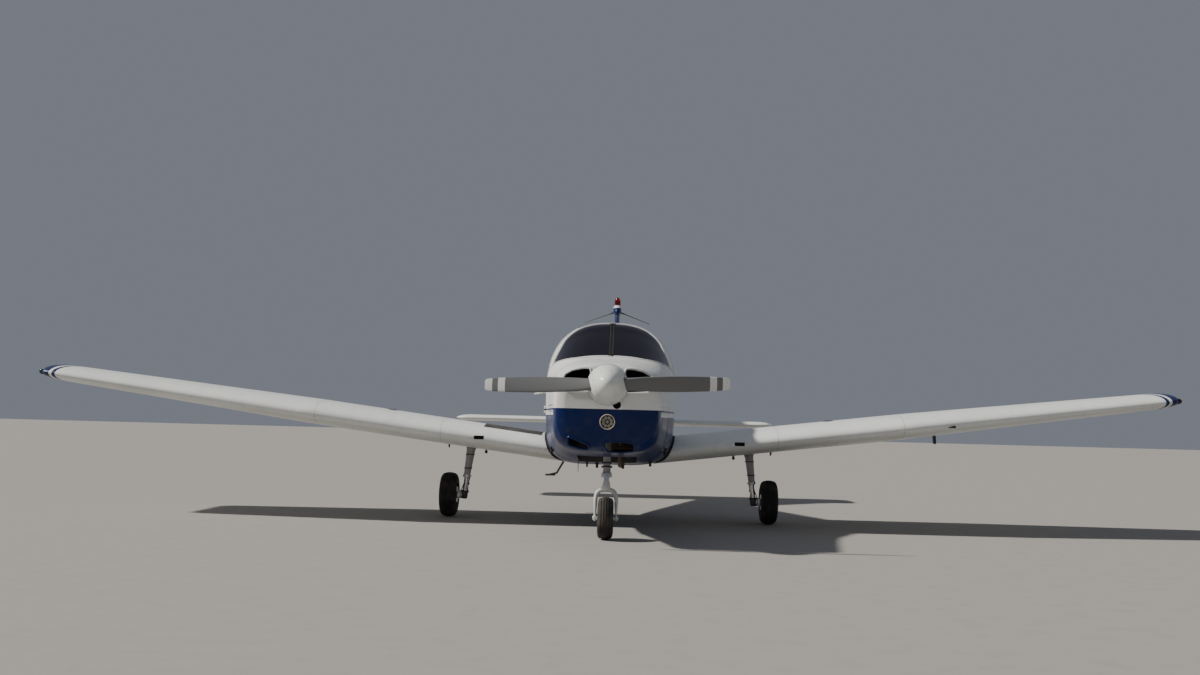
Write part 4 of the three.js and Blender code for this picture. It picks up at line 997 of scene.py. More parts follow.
upper_lips = joined("cowl_inlet_lips", [mouth_lip("lip", mouth, 0.03) for mouth in (INLET, flipped(INLET))])
dress(upper_lips, cowl_paint, smooth=60)
scoop_lip = mouth_lip("lip", SCOOP, 0.025, 0.011, -0.2)
chin_lip = mouth_lip("lip", CHIN, 0.030, 0.008)
dress(joined("cowl_lower_lips", [scoop_lip, chin_lip]), cowl_paint, smooth=60)
muff_steel = finish("warm muff steel", (0.34, 0.24, 0.12, 1), 0.5, 0.3, grain=70, depth=0.0006, dirt=0.5)
muff = joined("exhaust_muff", [rod("muff", (0.050, MUFF_Y, 0.744), (0.205, MUFF_Y, 0.744), 0.024),
                               rod("pipe", (0.128, MUFF_Y, 0.750), (0.128, at(0.420), 0.960), 0.018)])
dress(muff, muff_steel)

fasteners = []
for side in (PORT, STARBOARD):
    for station in spread(0.16, 1.06, 9):
        fasteners += [skin_spot(station, COWL_SPLIT + offset, side) for offset in (-0.024, 0.024)]
    for z in spread(0.72, 1.40, 9):
        fasteners.append(skin_spot(1.075, z, side))
for x in spread(-0.40, 0.40, 9):
    fasteners.append(deck_spot(1.075, x))
cowl_fasteners = studs("cowl_fasteners", fasteners, 0.0075, 0.002)
dress(cowl_fasteners, polished_steel)
print("cowl faces:", len(cowl_top.data.polygons), len(cowl_bottom.data.polygons))

# %% [markdown]
# The landing lamp is a dark bowl with nine small lenses behind a pale ring: eight round one. Each lens
# is a dome of clear plastic in a pale cup. One loop places them, because they differ only in place.

# %% Landing lamp
LENS_RADIUS, LENS_CIRCLE = 0.0095, 0.0325
LAMP_FACE = at(0.047)
lamp_enamel = finish("lamp enamel", (0.62, 0.57, 0.47, 1), 0.4, grain=80, dirt=0.2)
LENS_DOME = [(0.005, 0), (0.005, LENS_RADIUS), (0.002, LENS_RADIUS), (-0.002, LENS_RADIUS * 0.8),
             (-0.0045, LENS_RADIUS * 0.45), (-0.0055, 0)]
CUP = [(-0.002, 0.0097), (-0.002, 0.0118), (0.009, 0.0118), (0.009, 0), (0.0072, 0), (0.0072, 0.0097),
       (-0.002, 0.0097)]
BOWL = [(0.008, 0), (0.008, 0.046), (-0.001, 0.048), (-0.001, 0.051), (0.012, 0.055), (0.034, 0.054),
        (0.052, 0.030), (0.056, 0)]
RING = [(-0.0035, 0.0515), (-0.0065, 0.053), (-0.0065, 0.057), (-0.003, LAMP_RADIUS),
        (0.006, LAMP_RADIUS - 0.0005), (0.006, 0.0515), (-0.0035, 0.0515)]
LAMP_AT = (LAMP_X, LAMP_FACE, LAMP_Z)
lens_places = [(LAMP_X, LAMP_Z)]
for k in range(8):
    angle = 2 * math.pi * (k + 0.5) / 8
    lens_places.append((LAMP_X + LENS_CIRCLE * math.cos(angle), LAMP_Z + LENS_CIRCLE * math.sin(angle)))
lamp_bowl = turned("landing_lamp_bowl", BOWL, LAMP_AT, AFT)
dress(lamp_bowl, black_rubber, nodes=("landing_lamp",))
lamp_ring = turned("landing_lamp_ring", RING, LAMP_AT, AFT, 64)
dress(lamp_ring, lamp_enamel)
for name, profile, steps, look in (("landing_lamp_cups", CUP, 24, lamp_enamel),
                                   ("landing_lamp_lenses", LENS_DOME, 20, clear_lens)):
    parts = [turned("part", profile, (x, LAMP_FACE, z), AFT, steps) for x, z in lens_places]
    dress(joined(name, parts), look)
print("lamp lenses:", len(lens_places))

# %% [markdown]
# Behind the cowl sits a flat engine with two finned cylinders on each side. Only its front shows,
# through the inlets, but the fins are what the eye looks for there. Each cylinder is one turned
# profile whose radius steps in and out along its axis.

# %% Engine
CRANK_Z = 1.132
CYLINDERS = [(PORT, 0.345), (STARBOARD, 0.385), (PORT, 0.595), (STARBOARD, 0.635)]
FIN_COUNT, FIN_STEP = 13, 0.012


def cylinder_of(side, station):
    profile = [(0.130, 0), (0.130, 0.062)]
    for k in range(FIN_COUNT):
        start = 0.150 + k * FIN_STEP
        profile += [(start, 0.062), (start, 0.088), (start + 0.004, 0.088), (start + 0.004, 0.062)]
    profile += [(0.310, 0.062), (0.314, 0.078), (0.345, 0.076), (0.360, 0.060), (0.362, 0)]
    return turned("cylinder", profile, (0, at(station), CRANK_Z), (side, 0, 0), 40)


engine = joined("engine_body", [
    block("case", (-0.135, at(0.255), 1.015), (0.135, at(0.855), 1.240), 0.02),
    block("sump", (-0.115, at(0.300), 1.002), (0.115, at(0.800), 1.020), 0.006),
    rod("boss", (0, at(0.018), PROPELLER_Z), (0, at(0.262), PROPELLER_Z), 0.057),
    block("rear housing", (-0.148, at(0.850), 1.055), (0.148, at(1.096), 1.315), 0.015),
    *[cylinder_of(side, station) for side, station in CYLINDERS]])
dress(engine, engine_grey, nodes=("engine_block",))
baffle = block("engine_baffle", (-0.36, at(0.245), 1.236), (0.36, at(0.262), 1.262), 0.003)
combined(baffle, rod("ring", (0, at(0.2), PROPELLER_Z), (0, at(0.3), PROPELLER_Z), 0.07))
dress(baffle, black_rubber)
exhaust = tube("exhaust_pipe_bent", [
    (0.112, at(0.800), 0.9995), (0.112, at(0.800), 0.900), (0.112, at(0.830), 0.760),
    (0.112, at(0.890), 0.655), (0.112, at(0.985), 0.592)], 0.0268, bends=10)
combined(exhaust, rod("bore", (0.112, at(0.930), 0.6285), (0.112, at(1.000), 0.582), 0.023))
dress(exhaust, burnt_steel, nodes=("exhaust_pipe",), smooth=50)
print("engine faces:", len(engine.data.polygons))

# %% [markdown]
# The propeller is one forging: two twisted blades on a hub. Its sections come from a table of
# radius, chord, thickness and pitch, smoothed between the rows. White bands at the tips make the
# turning disc visible. They are painted by distance from the hub, so both blades get the same bands.

# %% Propeller
PROP_ROLL = math.radians(-1.65)
PROP_FRAME = Matrix.Translation((0, at(0), PROPELLER_Z)) @ Matrix.Rotation(PROP_ROLL, 4, "Y")
OTHER_BLADE = Matrix.Rotation(math.pi, 4, "Y")
BLADE_CENTRE = -0.030
BLADE = [
    # radius, chord, thickness, pitch in degrees
    (0.040, 0.084, 0.038, 30), (0.110, 0.096, 0.033, 30), (0.160, 0.108, 0.027, 30),
    (0.300, 0.122, 0.019, 27), (0.500, 0.128, 0.014, 22), (0.700, 0.119, 0.010, 18),
    (0.850, 0.104, 0.007, 15.5), (0.907, 0.090, 0.005, 15), (0.924, 0.070, 0.003, 15),
]
BLADE_SECTION = [(0.5, 0), (0.44, 0.42), (0.22, 0.62), (-0.1, 0.55), (-0.4, 0.22),
                 (-0.5, 0), (-0.38, -0.24), (-0.05, -0.36), (0.25, -0.36), (0.45, -0.24)]
TIP_BANDS = [(0.774, 0.826), (0.870, 1.0)]
SPINNER_RADIUS, SPINNER_BACK = 0.154, 0.015


def smooth_loop(points, steps=4):
    """A closed curve that passes through all its points."""
    ring = [Vector(point) for point in points]
    curve = []
    for i, a in enumerate(ring):
        before, b, after = ring[i - 1], ring[(i + 1) % len(ring)], ring[(i + 2) % len(ring)]
        for k in range(steps):
            t = k / steps
            curve.append(0.5 * (2 * a + (b - before) * t + (2 * before - 5 * a + 4 * b - after) * t ** 2
                                + (3 * a - before - 3 * b + after) * t ** 3))
    return curve


def blade_ring(radius, chord, thickness, pitch):
    turn = math.radians(pitch)
    ring = []
    for along, front in smooth_loop(BLADE_SECTION):
        a, f = along * chord, front * thickness
        ring.append((radius, BLADE_CENTRE - a * math.sin(turn) - f * math.cos(turn),
                     a * math.cos(turn) - f * math.sin(turn)))
    return ring


def propeller_pattern(tree, place):
    x, y, z = axes(tree, place)
    height = maths(tree, "SUBTRACT", z, PROPELLER_Z)
    radius = maths(tree, "SQRT", maths(tree, "ADD", maths(tree, "POWER", maths(tree, "ABSOLUTE", x), 2.0),
                                       maths(tree, "POWER", maths(tree, "ABSOLUTE", height), 2.0)))
    bands = maths(tree, "MAXIMUM", *[between(tree, radius, low, high) for low, high in TIP_BANDS])
    return mixed(tree, bands, GREY, WHITE)


propeller_paint = painted("propeller paint", GREY, propeller_pattern, roughness=0.42, coat=0.0, dirt=0.5)
spinner_paint = painted("spinner paint", (0.78, 0.81, 0.77, 1), roughness=0.30, coat=0.35, dirt=0.35)


def blade_of(name, rows):
    return loft(name, [blade_ring(*row) for row in rows])


blade = blade_of("blade", [[radius] + eased(BLADE, radius) for radius in spread(0.040, 0.924, 61)])
hub = turned("hub", [(-0.062, 0), (-0.062, 0.058), (-0.058, 0.062), (0.0065, 0.062), (0.0065, 0)],
             ORIGIN, AFT)
combined(hub, copied(blade, "first"), "UNION")
combined(hub, moved(blade, OTHER_BLADE), "UNION")
propeller = moved(hub, PROP_FRAME)
propeller.name = "propeller_forging"
dress(propeller, propeller_paint, "propeller", ("propeller_blades",))
print("propeller faces:", len(propeller.data.polygons))

# %% [markdown]
# The spinner is a thin blunt cone over the hub, screwed to a plate behind it. It is turned from one
# curve, hollowed by a smaller copy, and slotted for the blades by thicker blades of its own.

# %% Spinner
def spinner_radius(share):
    """The spinner's radius at a share of its length ahead of its back edge."""
    return SPINNER_RADIUS * math.sqrt(1 - share ** 1.05)


shares = [1 - (k / 30) ** 2 for k in range(31)]
outside = [(-SPINNER_LENGTH * share, spinner_radius(share)) for share in shares]
closed_back = [(SPINNER_BACK, SPINNER_RADIUS), (SPINNER_BACK, 0)]
spinner = turned("spinner_cone", outside + closed_back, ORIGIN, AFT, 96)
inside = [(along * 0.92, radius * 0.94) for along, radius in outside[:-1]]
combined(spinner, turned("hollow", inside + [(0.007, 0.144), (0.007, 0)], ORIGIN, AFT, 48))
for turn in (Matrix.Identity(4), OTHER_BLADE):
    combined(spinner, moved(blade_of("slot", [(0.080, 0.112, 0.050, 30), (0.180, 0.122, 0.044, 30)]), turn))
moved(spinner, PROP_FRAME)
dress(spinner, spinner_paint, "propeller", ("spinner",), smooth=40)
SPINNER_SCREWS = [
    # distance ahead of the back edge, how many, turn in radians
    (0.0, 12, 0.006), (0.045, 8, 0.0), (0.118, 8, 0.3),
]
screws = []
for back, count, phase in SPINNER_SCREWS:
    share = back / SPINNER_LENGTH
    radius = spinner_radius(share)
    for k in range(count):
        angle = 2 * math.pi * k / count + phase + 0.2
        out = Vector((math.cos(angle), -0.35 - share, math.sin(angle)))
        screws.append((Vector((radius * math.cos(angle), -back, radius * math.sin(angle))), out))
spinner_screws = moved(studs("spinner_screws", screws, 0.0045, 0.0022), PROP_FRAME)
dress(spinner_screws, polished_steel, "propeller")
back_plate = turned("spinner_back_plate", ring_profile(0.0155, 0.0195, 0.066, 0.158), ORIGIN, AFT, 64)
dress(moved(back_plate, PROP_FRAME), bare_aluminium, "propeller")
print("spinner screws:", len(screws))

# %% [markdown]
# A wing, a fin and a tailplane are the same kind of thing: an aerofoil drawn along a line. The outline
# is the classic four-digit formula, because it needs only a chord, a thickness and a camber. Points
# are set closer together at both edges, where the curve is tight.

# %% Aerofoils and hinges
TRAILING_HALF = 0.0016
FOIL_STEPS = 32
FOIL = [(0.5 + 0.5 * math.cos(math.pi * k / FOIL_STEPS), 1) for k in range(FOIL_STEPS + 1)]
FOIL += [(share, -1) for share, _ in reversed(FOIL[:-1])]
MOVING_GAP = 0.007
# A hinge's pins reach out of and into the surface, and each bore is a little longer than its pin.
PIN_OUT, PIN_IN, BORE_EXTRA = 0.019, 0.030, 0.003
PIN_RADIUS, BORE_RADIUS = 0.006, 0.0075
TAB_PIN_RADIUS, TAB_BORE_RADIUS = 0.003, 0.0042


def half_thickness(s, t):
    return 5 * t * (0.2969 * math.sqrt(s) - 0.126 * s - 0.3516 * s ** 2 + 0.2843 * s ** 3 - 0.1036 * s ** 4)


def camber_line(s, m):
    return m / 0.16 * (0.8 * s - s * s) if s < 0.4 else m / 0.36 * (0.2 + 0.8 * s - s * s)


def aerofoil(chord, thickness, camber=0.0, grow=0.0, bead=0.0):
    """Points (distance aft, height) of a section. A bead lifts both skins behind the hinge."""
    outline = []
    for s, side in FOIL:
        half = max(half_thickness(s, thickness) * chord, TRAILING_HALF if s > 0.5 else 0)
        lifted = bead * max(0.0, math.sin(math.pi * min(1.0, max(0.0, (s - 0.835) / 0.15)))) ** 0.4
        up = camber_line(s, camber) * chord + side * (half + grow + lifted)
        outline.append((s * chord + grow * (2 * s - 1), up))
    return outline


def hinge_line(inner, outer, upwards):
    """A hinge between two (point, half thickness) ends, with a frame: along, aft, up."""
    start, end = inner[0], outer[0]
    along = (end - start).normalized()
    aft = Vector(upwards).cross(along).normalized()
    if aft.y < 0:
        aft.negate()
    frame = Matrix((along, aft, along.cross(aft))).transposed().to_4x4()
    frame.translation = start
    return {"frame": frame, "span": (end - start).length, "halves": (inner[1], outer[1])}


def hinge_box(hinge, start, end, front, back, half=0.4):
    ring = [(front, -half), (back, -half), (back, half), (front, half)]
    return moved(loft("room", [[(t, y, z) for y, z in ring] for t in (start, end)]), hinge["frame"])


def drum(hinge, start, end, grow):
    low, high = hinge["halves"]
    radii = [low + (high - low) * t / hinge["span"] + grow for t in (start, end)]
    return moved(turned("drum", disc_profile(start, end, *radii), (0, 0, 0), (1, 0, 0), 40), hinge["frame"])


def hinge_rod(hinge, start, end, radius):
    return moved(rod("pin", (start, 0, 0), (end, 0, 0), radius, steps=16), hinge["frame"])


def hinged_surface(fixed, whole, hinge, behind):
    """Cuts a hinged surface's room out of the fixed piece, and shapes the surface from the whole."""
    span = hinge["span"]
    combined(fixed, hinge_box(hinge, -MOVING_GAP, span + MOVING_GAP, 0, behind))
    combined(fixed, drum(hinge, -MOVING_GAP, span + MOVING_GAP, MOVING_GAP + 0.001))
    surface = combined(whole, hinge_box(hinge, 0, span, 0, behind), "INTERSECT")
    nose = combined(drum(hinge, 0, span, 0), hinge_box(hinge, -0.001, span + 0.001, 0.0005, behind))
    return combined(surface, nose, "UNION")


def end_pins(hinge, surface, radius, bore):
    """A pin at each end of a hinge, and a bore for it in the surface."""
    pins = []
    for start, end in ((-PIN_OUT, PIN_IN), (hinge["span"] - PIN_IN, hinge["span"] + PIN_OUT)):
        pins.append(hinge_rod(hinge, start, end, radius))
        combined(surface, hinge_rod(hinge, start - BORE_EXTRA, end + BORE_EXTRA, bore))
    return pins


def bead_wave(i, period, first, last):
    """How far a bead stands out at the i-th rib, as a share. Beads keep clear of both ends."""
    return max(0.0, math.cos(2 * math.pi * (i - 3) / period)) if first < i < last else 0.0
print("aerofoil points:", len(FOIL))

# %% [markdown]
# The wing has a level inner panel of constant chord and a tapered outer panel, and its tip is a
# moulded cap. The skins are lofted through many ribs. Flaps and ailerons have stiffening beads
# pressed into their thin skins, so they are lofted again with a wave in the table of ribs.

# %% Wing shape
WING = [
    # x, leading edge station, chord, thickness share, incidence in degrees
    (0.400, 1.895, 1.600, 0.150, 2.0), (2.700, 1.895, 1.600, 0.150, 2.0), (5.170, 2.225, 1.075, 0.140, 0.5),
    (5.270, 2.262, 0.985, 0.115, 0.5), (5.335, 2.390, 0.740, 0.060, 0.5),
]
WING_BREAKS = (2.700, 5.170)
WING_TIP = 5.335
WING_ROOT_X, WING_ROOT_Z = 0.580, 0.691
DIHEDRAL = math.radians(7)
WING_CAMBER, HINGE_SHARE = 0.02, 0.82
FLAP_ENDS, AILERON_ENDS = (0.660, 2.640), (2.712, 4.950)
BEAD_PITCH, BEAD_HEIGHT = 0.062, 0.0026
TIP_CAP = 0.030


def wing_point(x, aft, up):
    leading, _, _, incidence = eased(WING, x, WING_BREAKS)
    tilt = math.radians(incidence)
    nose_z = WING_ROOT_Z + (x - WING_ROOT_X) * math.tan(DIHEDRAL)
    return Vector((x, at(leading) + aft * math.cos(tilt) + up * math.sin(tilt),
                   nose_z - aft * math.sin(tilt) + up * math.cos(tilt)))


def wing_spot(x, share, side=1, proud=0.0):
    """A place on the wing's upper (side 1), lower (side -1) or middle (side 0) surface."""
    _, chord, thickness, _ = eased(WING, x, WING_BREAKS)
    half = half_thickness(share, thickness) * chord + proud
    return wing_point(x, share * chord, camber_line(share, WING_CAMBER) * chord + side * half)


def wing_ring(x, grow=0.0, bead=0.0):
    _, chord, thickness, _ = eased(WING, x, WING_BREAKS)
    return [wing_point(x, aft, up) for aft, up in aerofoil(chord, thickness, WING_CAMBER, grow, bead)]


def wing_end(x):
    """A hinge's end: the middle of the wing's thickness at the hinge, and half that thickness."""
    _, chord, thickness, _ = eased(WING, x, WING_BREAKS)
    return wing_spot(x, HINGE_SHARE, 0), half_thickness(HINGE_SHARE, thickness) * chord


def beaded_wing(name, ends):
    """The wing's shape between two ends, with beads across it."""
    steps = round((ends[1] - ends[0]) / BEAD_PITCH)
    rings = []
    for i in range(steps * 6 + 1):
        wave = bead_wave(i, 6, 3, steps * 6 - 3)
        rings.append(wing_ring(ends[0] + (ends[1] - ends[0]) * i / (steps * 6), 0, BEAD_HEIGHT * wave))
    return loft(name, rings)


def tip_ring(turn):
    """A rib of the tip's rounded cap, which grows thinner as its curve turns outwards."""
    x = WING_TIP - TIP_CAP + TIP_CAP * math.sin(turn)
    _, chord, thickness, _ = eased(WING, x, WING_BREAKS)
    ring = []
    for aft, up in aerofoil(chord, thickness, WING_CAMBER):
        middle = camber_line(min(aft / chord, 1), WING_CAMBER) * chord
        ring.append(wing_point(x, aft, middle + (up - middle) * max(math.cos(turn), 0.06)))
    return ring


wing_xs = spread(0.400, 2.700, 24) + spread(2.700, 5.170, 26)[1:] + spread(5.170, WING_TIP - TIP_CAP, 8)[1:]
port_wing = loft("wing_port_skin", [wing_ring(x) for x in wing_xs])
combined(port_wing, loft("tip", [tip_ring(math.radians(18 * k)) for k in range(6)]), "UNION")
flap_hinge = hinge_line(wing_end(FLAP_ENDS[0]), wing_end(FLAP_ENDS[1]), (0, 0, 1))
aileron_hinge = hinge_line(wing_end(AILERON_ENDS[0]), wing_end(AILERON_ENDS[1]), (0, 0, 1))
port_flap = hinged_surface(port_wing, beaded_wing("flap_port_skin", (0.640, 2.660)), flap_hinge, 0.5)
beaded_aileron = beaded_wing("aileron_port_skin", (2.701, 4.970))
port_aileron = hinged_surface(port_wing, beaded_aileron, aileron_hinge, 0.5)
combined(port_wing, hull("fuselage", FIREWALL_BACK, CABIN_BACK, -0.0008))
combined(port_wing, block("air slot", (1.126, at(1.85), 0.756), (1.218, at(1.96), 0.790), 0.006))
# Painted shade: a black cup lines the air slot, so that its mouth is as dark as the shade inside it would
# make it.
slot_liner = block("wing_air_slot_port", (1.1266, at(1.906), 0.7566), (1.2174, at(1.955), 0.7894), 0.002)
combined(slot_liner, block("hollow", (1.1290, at(1.880), 0.7590), (1.2150, at(1.950), 0.7870), 0.002))
print("wing faces:", len(port_wing.data.polygons), "flap:", len(port_flap.data.polygons),
      "aileron:", len(port_aileron.data.polygons))

# %% [markdown]
# The wing is white, with blue and white bands that slant across its tip. Its ribs and spars show as
# rows of rivets, and panels meet at thin dark seams. The paint is one material for both wings, since
# it only asks how far out a point lies.

# %% Wing paint, control surfaces and both sides
TIP_BLUE_FROM, TIP_STRIPE = 5.195, (5.125, 5.160)
TIP_SLANT = 0.38
WING_SEAMS = (1.520, 2.655)
WING_SPARS = (2.300, 2.560, 2.890)


def wing_pattern(tree, place):
    x, y, z = axes(tree, place)
    out = maths(tree, "ABSOLUTE", x)
    slanted = maths(tree, "MULTIPLY_ADD", maths(tree, "SUBTRACT", y, at(2.262)), TIP_SLANT, out)
    blue = maths(tree, "MAXIMUM", beyond(tree, slanted, TIP_BLUE_FROM), between(tree, slanted, *TIP_STRIPE))
    banded = mixed(tree, blue, WHITE, BLUE)
    seams = 0.0
    for seam in WING_SEAMS:
        seams = maths(tree, "MAXIMUM", seams, between(tree, from_line(tree, out, seam), -1.0, 0.0014, 0.0005))
    return mixed(tree, maths(tree, "MULTIPLY", seams, 0.75), banded, DIRT)


def wing_rows(tree, place):
    x, y, z = axes(tree, place)
    out = maths(tree, "ABSOLUTE", x)
    ribs = every(tree, out, 0.95, 0.34)
    lines = [(ribs, y), (from_line(tree, from_line(tree, out, WING_SEAMS[0]), 0.014), y),
             (from_line(tree, from_line(tree, out, WING_SEAMS[1]), 0.014), y)]
    outboard = maths(tree, "MAXIMUM", maths(tree, "SUBTRACT", out, WING_BREAKS[0]), 0.0)
    swept = maths(tree, "MULTIPLY_ADD", outboard, -0.05, y)
    lines += [(from_line(tree, swept, at(spar)), out) for spar in WING_SPARS]
    return rivet_rows(tree, lines)


wing_paint = painted("wing paint", WHITE, wing_pattern, wing_rows, roughness=0.30, dirt=0.35)
port_pins = joined("hinge_pins_port", end_pins(flap_hinge, port_flap, PIN_RADIUS, BORE_RADIUS)
                   + end_pins(aileron_hinge, port_aileron, PIN_RADIUS, BORE_RADIUS))
both_sides(port_wing, wing_paint, nodes=("wing_port",))
both_sides(port_flap, wing_paint, "flap_port", ("flap_port",))
both_sides(port_aileron, wing_paint, "aileron_port", ("aileron_port",))
both_sides(port_pins, polished_steel)
print("wings dressed on both sides")

# %% [markdown]
# The tail is the same skin drawn out to a narrow end, with a fin above it and one all-moving
# tailplane through it. The stabilator turns on a short tube that a lug under the cone carries, and
# its trim tab hangs on its trailing edge.

# %% Tail cone, fin and rudder
BULKHEAD_BACK, TAIL_END = 3.9623, 6.640
TAIL_WALL = 0.012
PIVOT_STATION, STABILATOR_Z = 6.500, 0.936
FIN = [
    # height, leading edge station, trailing edge station, thickness
    (1.080, 4.890, 6.820, 0.078), (1.400, 5.190, 6.850, 0.072), (2.240, 6.075, 6.955, 0.060),
    (2.335, 6.180, 6.968, 0.052),
]
FIN_BREAKS = (1.400, 2.240)
FIN_TOP = 2.240
RUDDER_LOW, RUDDER_HIGH = (1.262, 6.420), (2.332, 6.600)
RUDDER_PLATES = (0.120, 0.520, 0.920)

cone = layer("tail_cone_skin", BULKHEAD_BACK, TAIL_END, 0, TAIL_WALL)
stabilator_room = side_points([(6.262, 0.7), (6.262, 0.994), (6.520, 0.994), (6.720, 1.040), (6.720, 0.7)])
combined(cone, side_prism("room", stabilator_room, -WIDE, WIDE))
dress(cone, livery_paint, nodes=("tail_cone",))
closure = hull("tail_closure", 6.618, 6.634, TAIL_WALL + 0.0004)
combined(closure, side_prism("room", stabilator_room, -WIDE, WIDE))
dress(closure, livery_paint)
lug_outline = side_points([(6.475, 0.920), (6.430, 1.120), (6.600, 1.120), (6.525, 0.920)])
lug = plate("lug", lug_outline, 0.01, -0.010, 0.010, 0.002)
floor_plate = block("plate", (-0.090, at(6.430), 1.108), (0.090, at(6.600), 1.118), 0.002)
pivot_ends = [(x, at(PIVOT_STATION), STABILATOR_Z) for x in (-0.044, 0.044)]
tail_pivot = joined("tail_pivot_lug", [lug, floor_plate, rod("pivot", *pivot_ends, 0.011)])
dress(tail_pivot, engine_grey)
eye_outline = side_points([
    (5.930, 0.905), (5.930, 0.850), (5.945, 0.812), (5.975, 0.812), (5.990, 0.850), (5.990, 0.905)])
tail_eye = plate("tail_tie_down", eye_outline, 0.008, -0.005, 0.005, 0.0015)
combined(tail_eye, rod("eye", (-0.01, at(5.960), 0.832), (0.01, at(5.960), 0.832), 0.010))
dress(tail_eye, polished_steel)


def fin_ring(z, bead=0.0):
    leading, trailing, thickness = eased(FIN, z, FIN_BREAKS)
    chord = trailing - leading
    return [(side, at(leading + aft), z) for aft, side in aerofoil(chord, thickness / chord, 0, 0, bead)]


def fin_end(z, station):
    leading, trailing, thickness = eased(FIN, z, FIN_BREAKS)
    chord = trailing - leading
    return Vector((0, at(station), z)), half_thickness((station - leading) / chord, thickness / chord) * chord


fin_heights = spread(1.080, 1.400, 5) + spread(1.400, 2.240, 12)[1:] + spread(2.240, 2.335, 4)[1:]
fin = loft("fin_skin", [fin_ring(z) for z in fin_heights])
rudder_rings = [fin_ring(1.230 + 1.105 * i / 150, 0.0022 * bead_wave(i, 10, 8, 142)) for i in range(151)]
rudder_hinge = hinge_line(fin_end(*RUDDER_LOW), fin_end(*RUDDER_HIGH), (1, 0, 0))
rudder = hinged_surface(fin, loft("rudder_skin", rudder_rings), rudder_hinge, 0.62)
plates = []
hinge_front = -(rudder_hinge["halves"][0] + 0.021)
for t in RUDDER_PLATES:
    plates.append(hinge_box(rudder_hinge, t - 0.004, t + 0.004, hinge_front, 0.007, 0.007))
    plates.append(hinge_rod(rudder_hinge, t - 0.022, t + 0.022, 0.004))
    combined(rudder, hinge_box(rudder_hinge, t - 0.011, t + 0.011, -0.08, 0.016, 0.08))
    combined(rudder, hinge_rod(rudder_hinge, t - 0.023, t + 0.023, 0.0045))
dress(joined("rudder_hinges", plates), polished_steel)
combined(fin, block("crop", (-0.1, at(4.8), 1.0), (0.1, at(7.1), FIN_TOP), 0.0005), "INTERSECT")
combined(fin, hull("cone room", 4.5, TAIL_END, -0.0008))
combined(fin, block("below rudder", (-0.1, at(6.56), 0.9), (0.1, at(7.1), 1.262), 0.0005))


def fin_rows(tree, place):
    x, y, z = axes(tree, place)
    lines = [(every(tree, z, 1.30, 0.185), y)]
    leaning = maths(tree, "MULTIPLY_ADD", z, -0.60, y)
    lines += [(from_line(tree, leaning, at(station)), z) for station in (5.10, 5.38)]
    return rivet_rows(tree, lines)


fin_paint = painted("fin paint", BLUE, None, fin_rows, roughness=0.28, dirt=0.25)
dress(fin, fin_paint, nodes=("fin",))
dress(rudder, fin_paint, "rudder", ("rudder",))
print("fin faces:", len(fin.data.polygons), "rudder faces:", len(rudder.data.polygons))

# %% [markdown]
# The stabilator is one thin surface, and its tips are rounded off by a few closer ribs. Its trim tab
# has the same section, so it is cut from a second, beaded skin with the same ribs.

# %% Stabilator and trim tab
STABILATOR = [
    # distance out, leading edge station, trailing edge station, thickness
    (0.000, 6.280, 7.043, 0.076), (1.807, 6.280, 7.043, 0.076), (1.887, 6.310, 7.010, 0.060),
    (1.957, 6.430, 6.900, 0.022),
]
TAB_SHARE, TAB_HALF_SPAN = 0.86, 1.300


def stabilator_ring(x, bead=0.0):
    leading, trailing, thickness = eased(STABILATOR, abs(x), (1.807,))
    chord = trailing - leading
    section = aerofoil(chord, thickness / chord, 0, 0, bead)
    return [(x, at(leading + aft), STABILATOR_Z + up) for aft, up in section]


half_span = spread(0, 1.807, 16) + spread(1.807, 1.957, 10)[1:]
stabilator = loft("stabilator_skin", [stabilator_ring(-x) for x in reversed(half_span[1:])]
                  + [stabilator_ring(x) for x in half_span])
tab_rings = [stabilator_ring(-1.340 + 2.680 * i / 216, 0.0016 * bead_wave(i, 6, 6, 210)) for i in range(217)]
tab_chord = STABILATOR[0][2] - STABILATOR[0][1]
tab_half = half_thickness(TAB_SHARE, STABILATOR[0][3] / tab_chord) * tab_chord
tab_ends = [(Vector((x, at(STABILATOR[0][1] + TAB_SHARE * tab_chord), STABILATOR_Z)), tab_half)
            for x in (-TAB_HALF_SPAN, TAB_HALF_SPAN)]
tab_hinge = hinge_line(*tab_ends, (0, 0, 1))
trim_tab = hinged_surface(stabilator, loft("trim_tab_skin", tab_rings), tab_hinge, 0.2)
tab_pins = end_pins(tab_hinge, trim_tab, TAB_PIN_RADIUS, TAB_BORE_RADIUS)
for half_wide, front, back, deep in ((0.017, 6.425, 6.590, 0.03), (0.045, 6.360, 6.430, 0.012)):
    combined(stabilator, block("notch", (-half_wide, at(front), STABILATOR_Z - deep),
                               (half_wide, at(back), STABILATOR_Z + 0.08), 0.001))
bore_ends = [(x, at(PIVOT_STATION), STABILATOR_Z) for x in (-0.046, 0.046)]
combined(stabilator, rod("bore", *bore_ends, 0.0118))


def stabilator_rows(tree, place):
    x, y, z = axes(tree, place)
    lines = [(every(tree, x, 0.15, 0.30), y)]
    lines += [(from_line(tree, y, at(station)), x) for station in (6.52, 6.80)]
    return rivet_rows(tree, lines)


tail_paint = painted("tailplane paint", WHITE, None, stabilator_rows, roughness=0.30, dirt=0.3)
dress(stabilator, tail_paint, "stabilator", ("stabilator",))
dress(trim_tab, tail_paint, "trim_tab", ("trim_tab",))
dress(joined("trim_tab_pins", tab_pins), polished_steel, "stabilator")
print("stabilator faces:", len(stabilator.data.polygons))

# %% [markdown]
# The cap of the fin is a moulded fairing with a white band. It carries the beacon and the two
# whiskers of the navigation aerial.

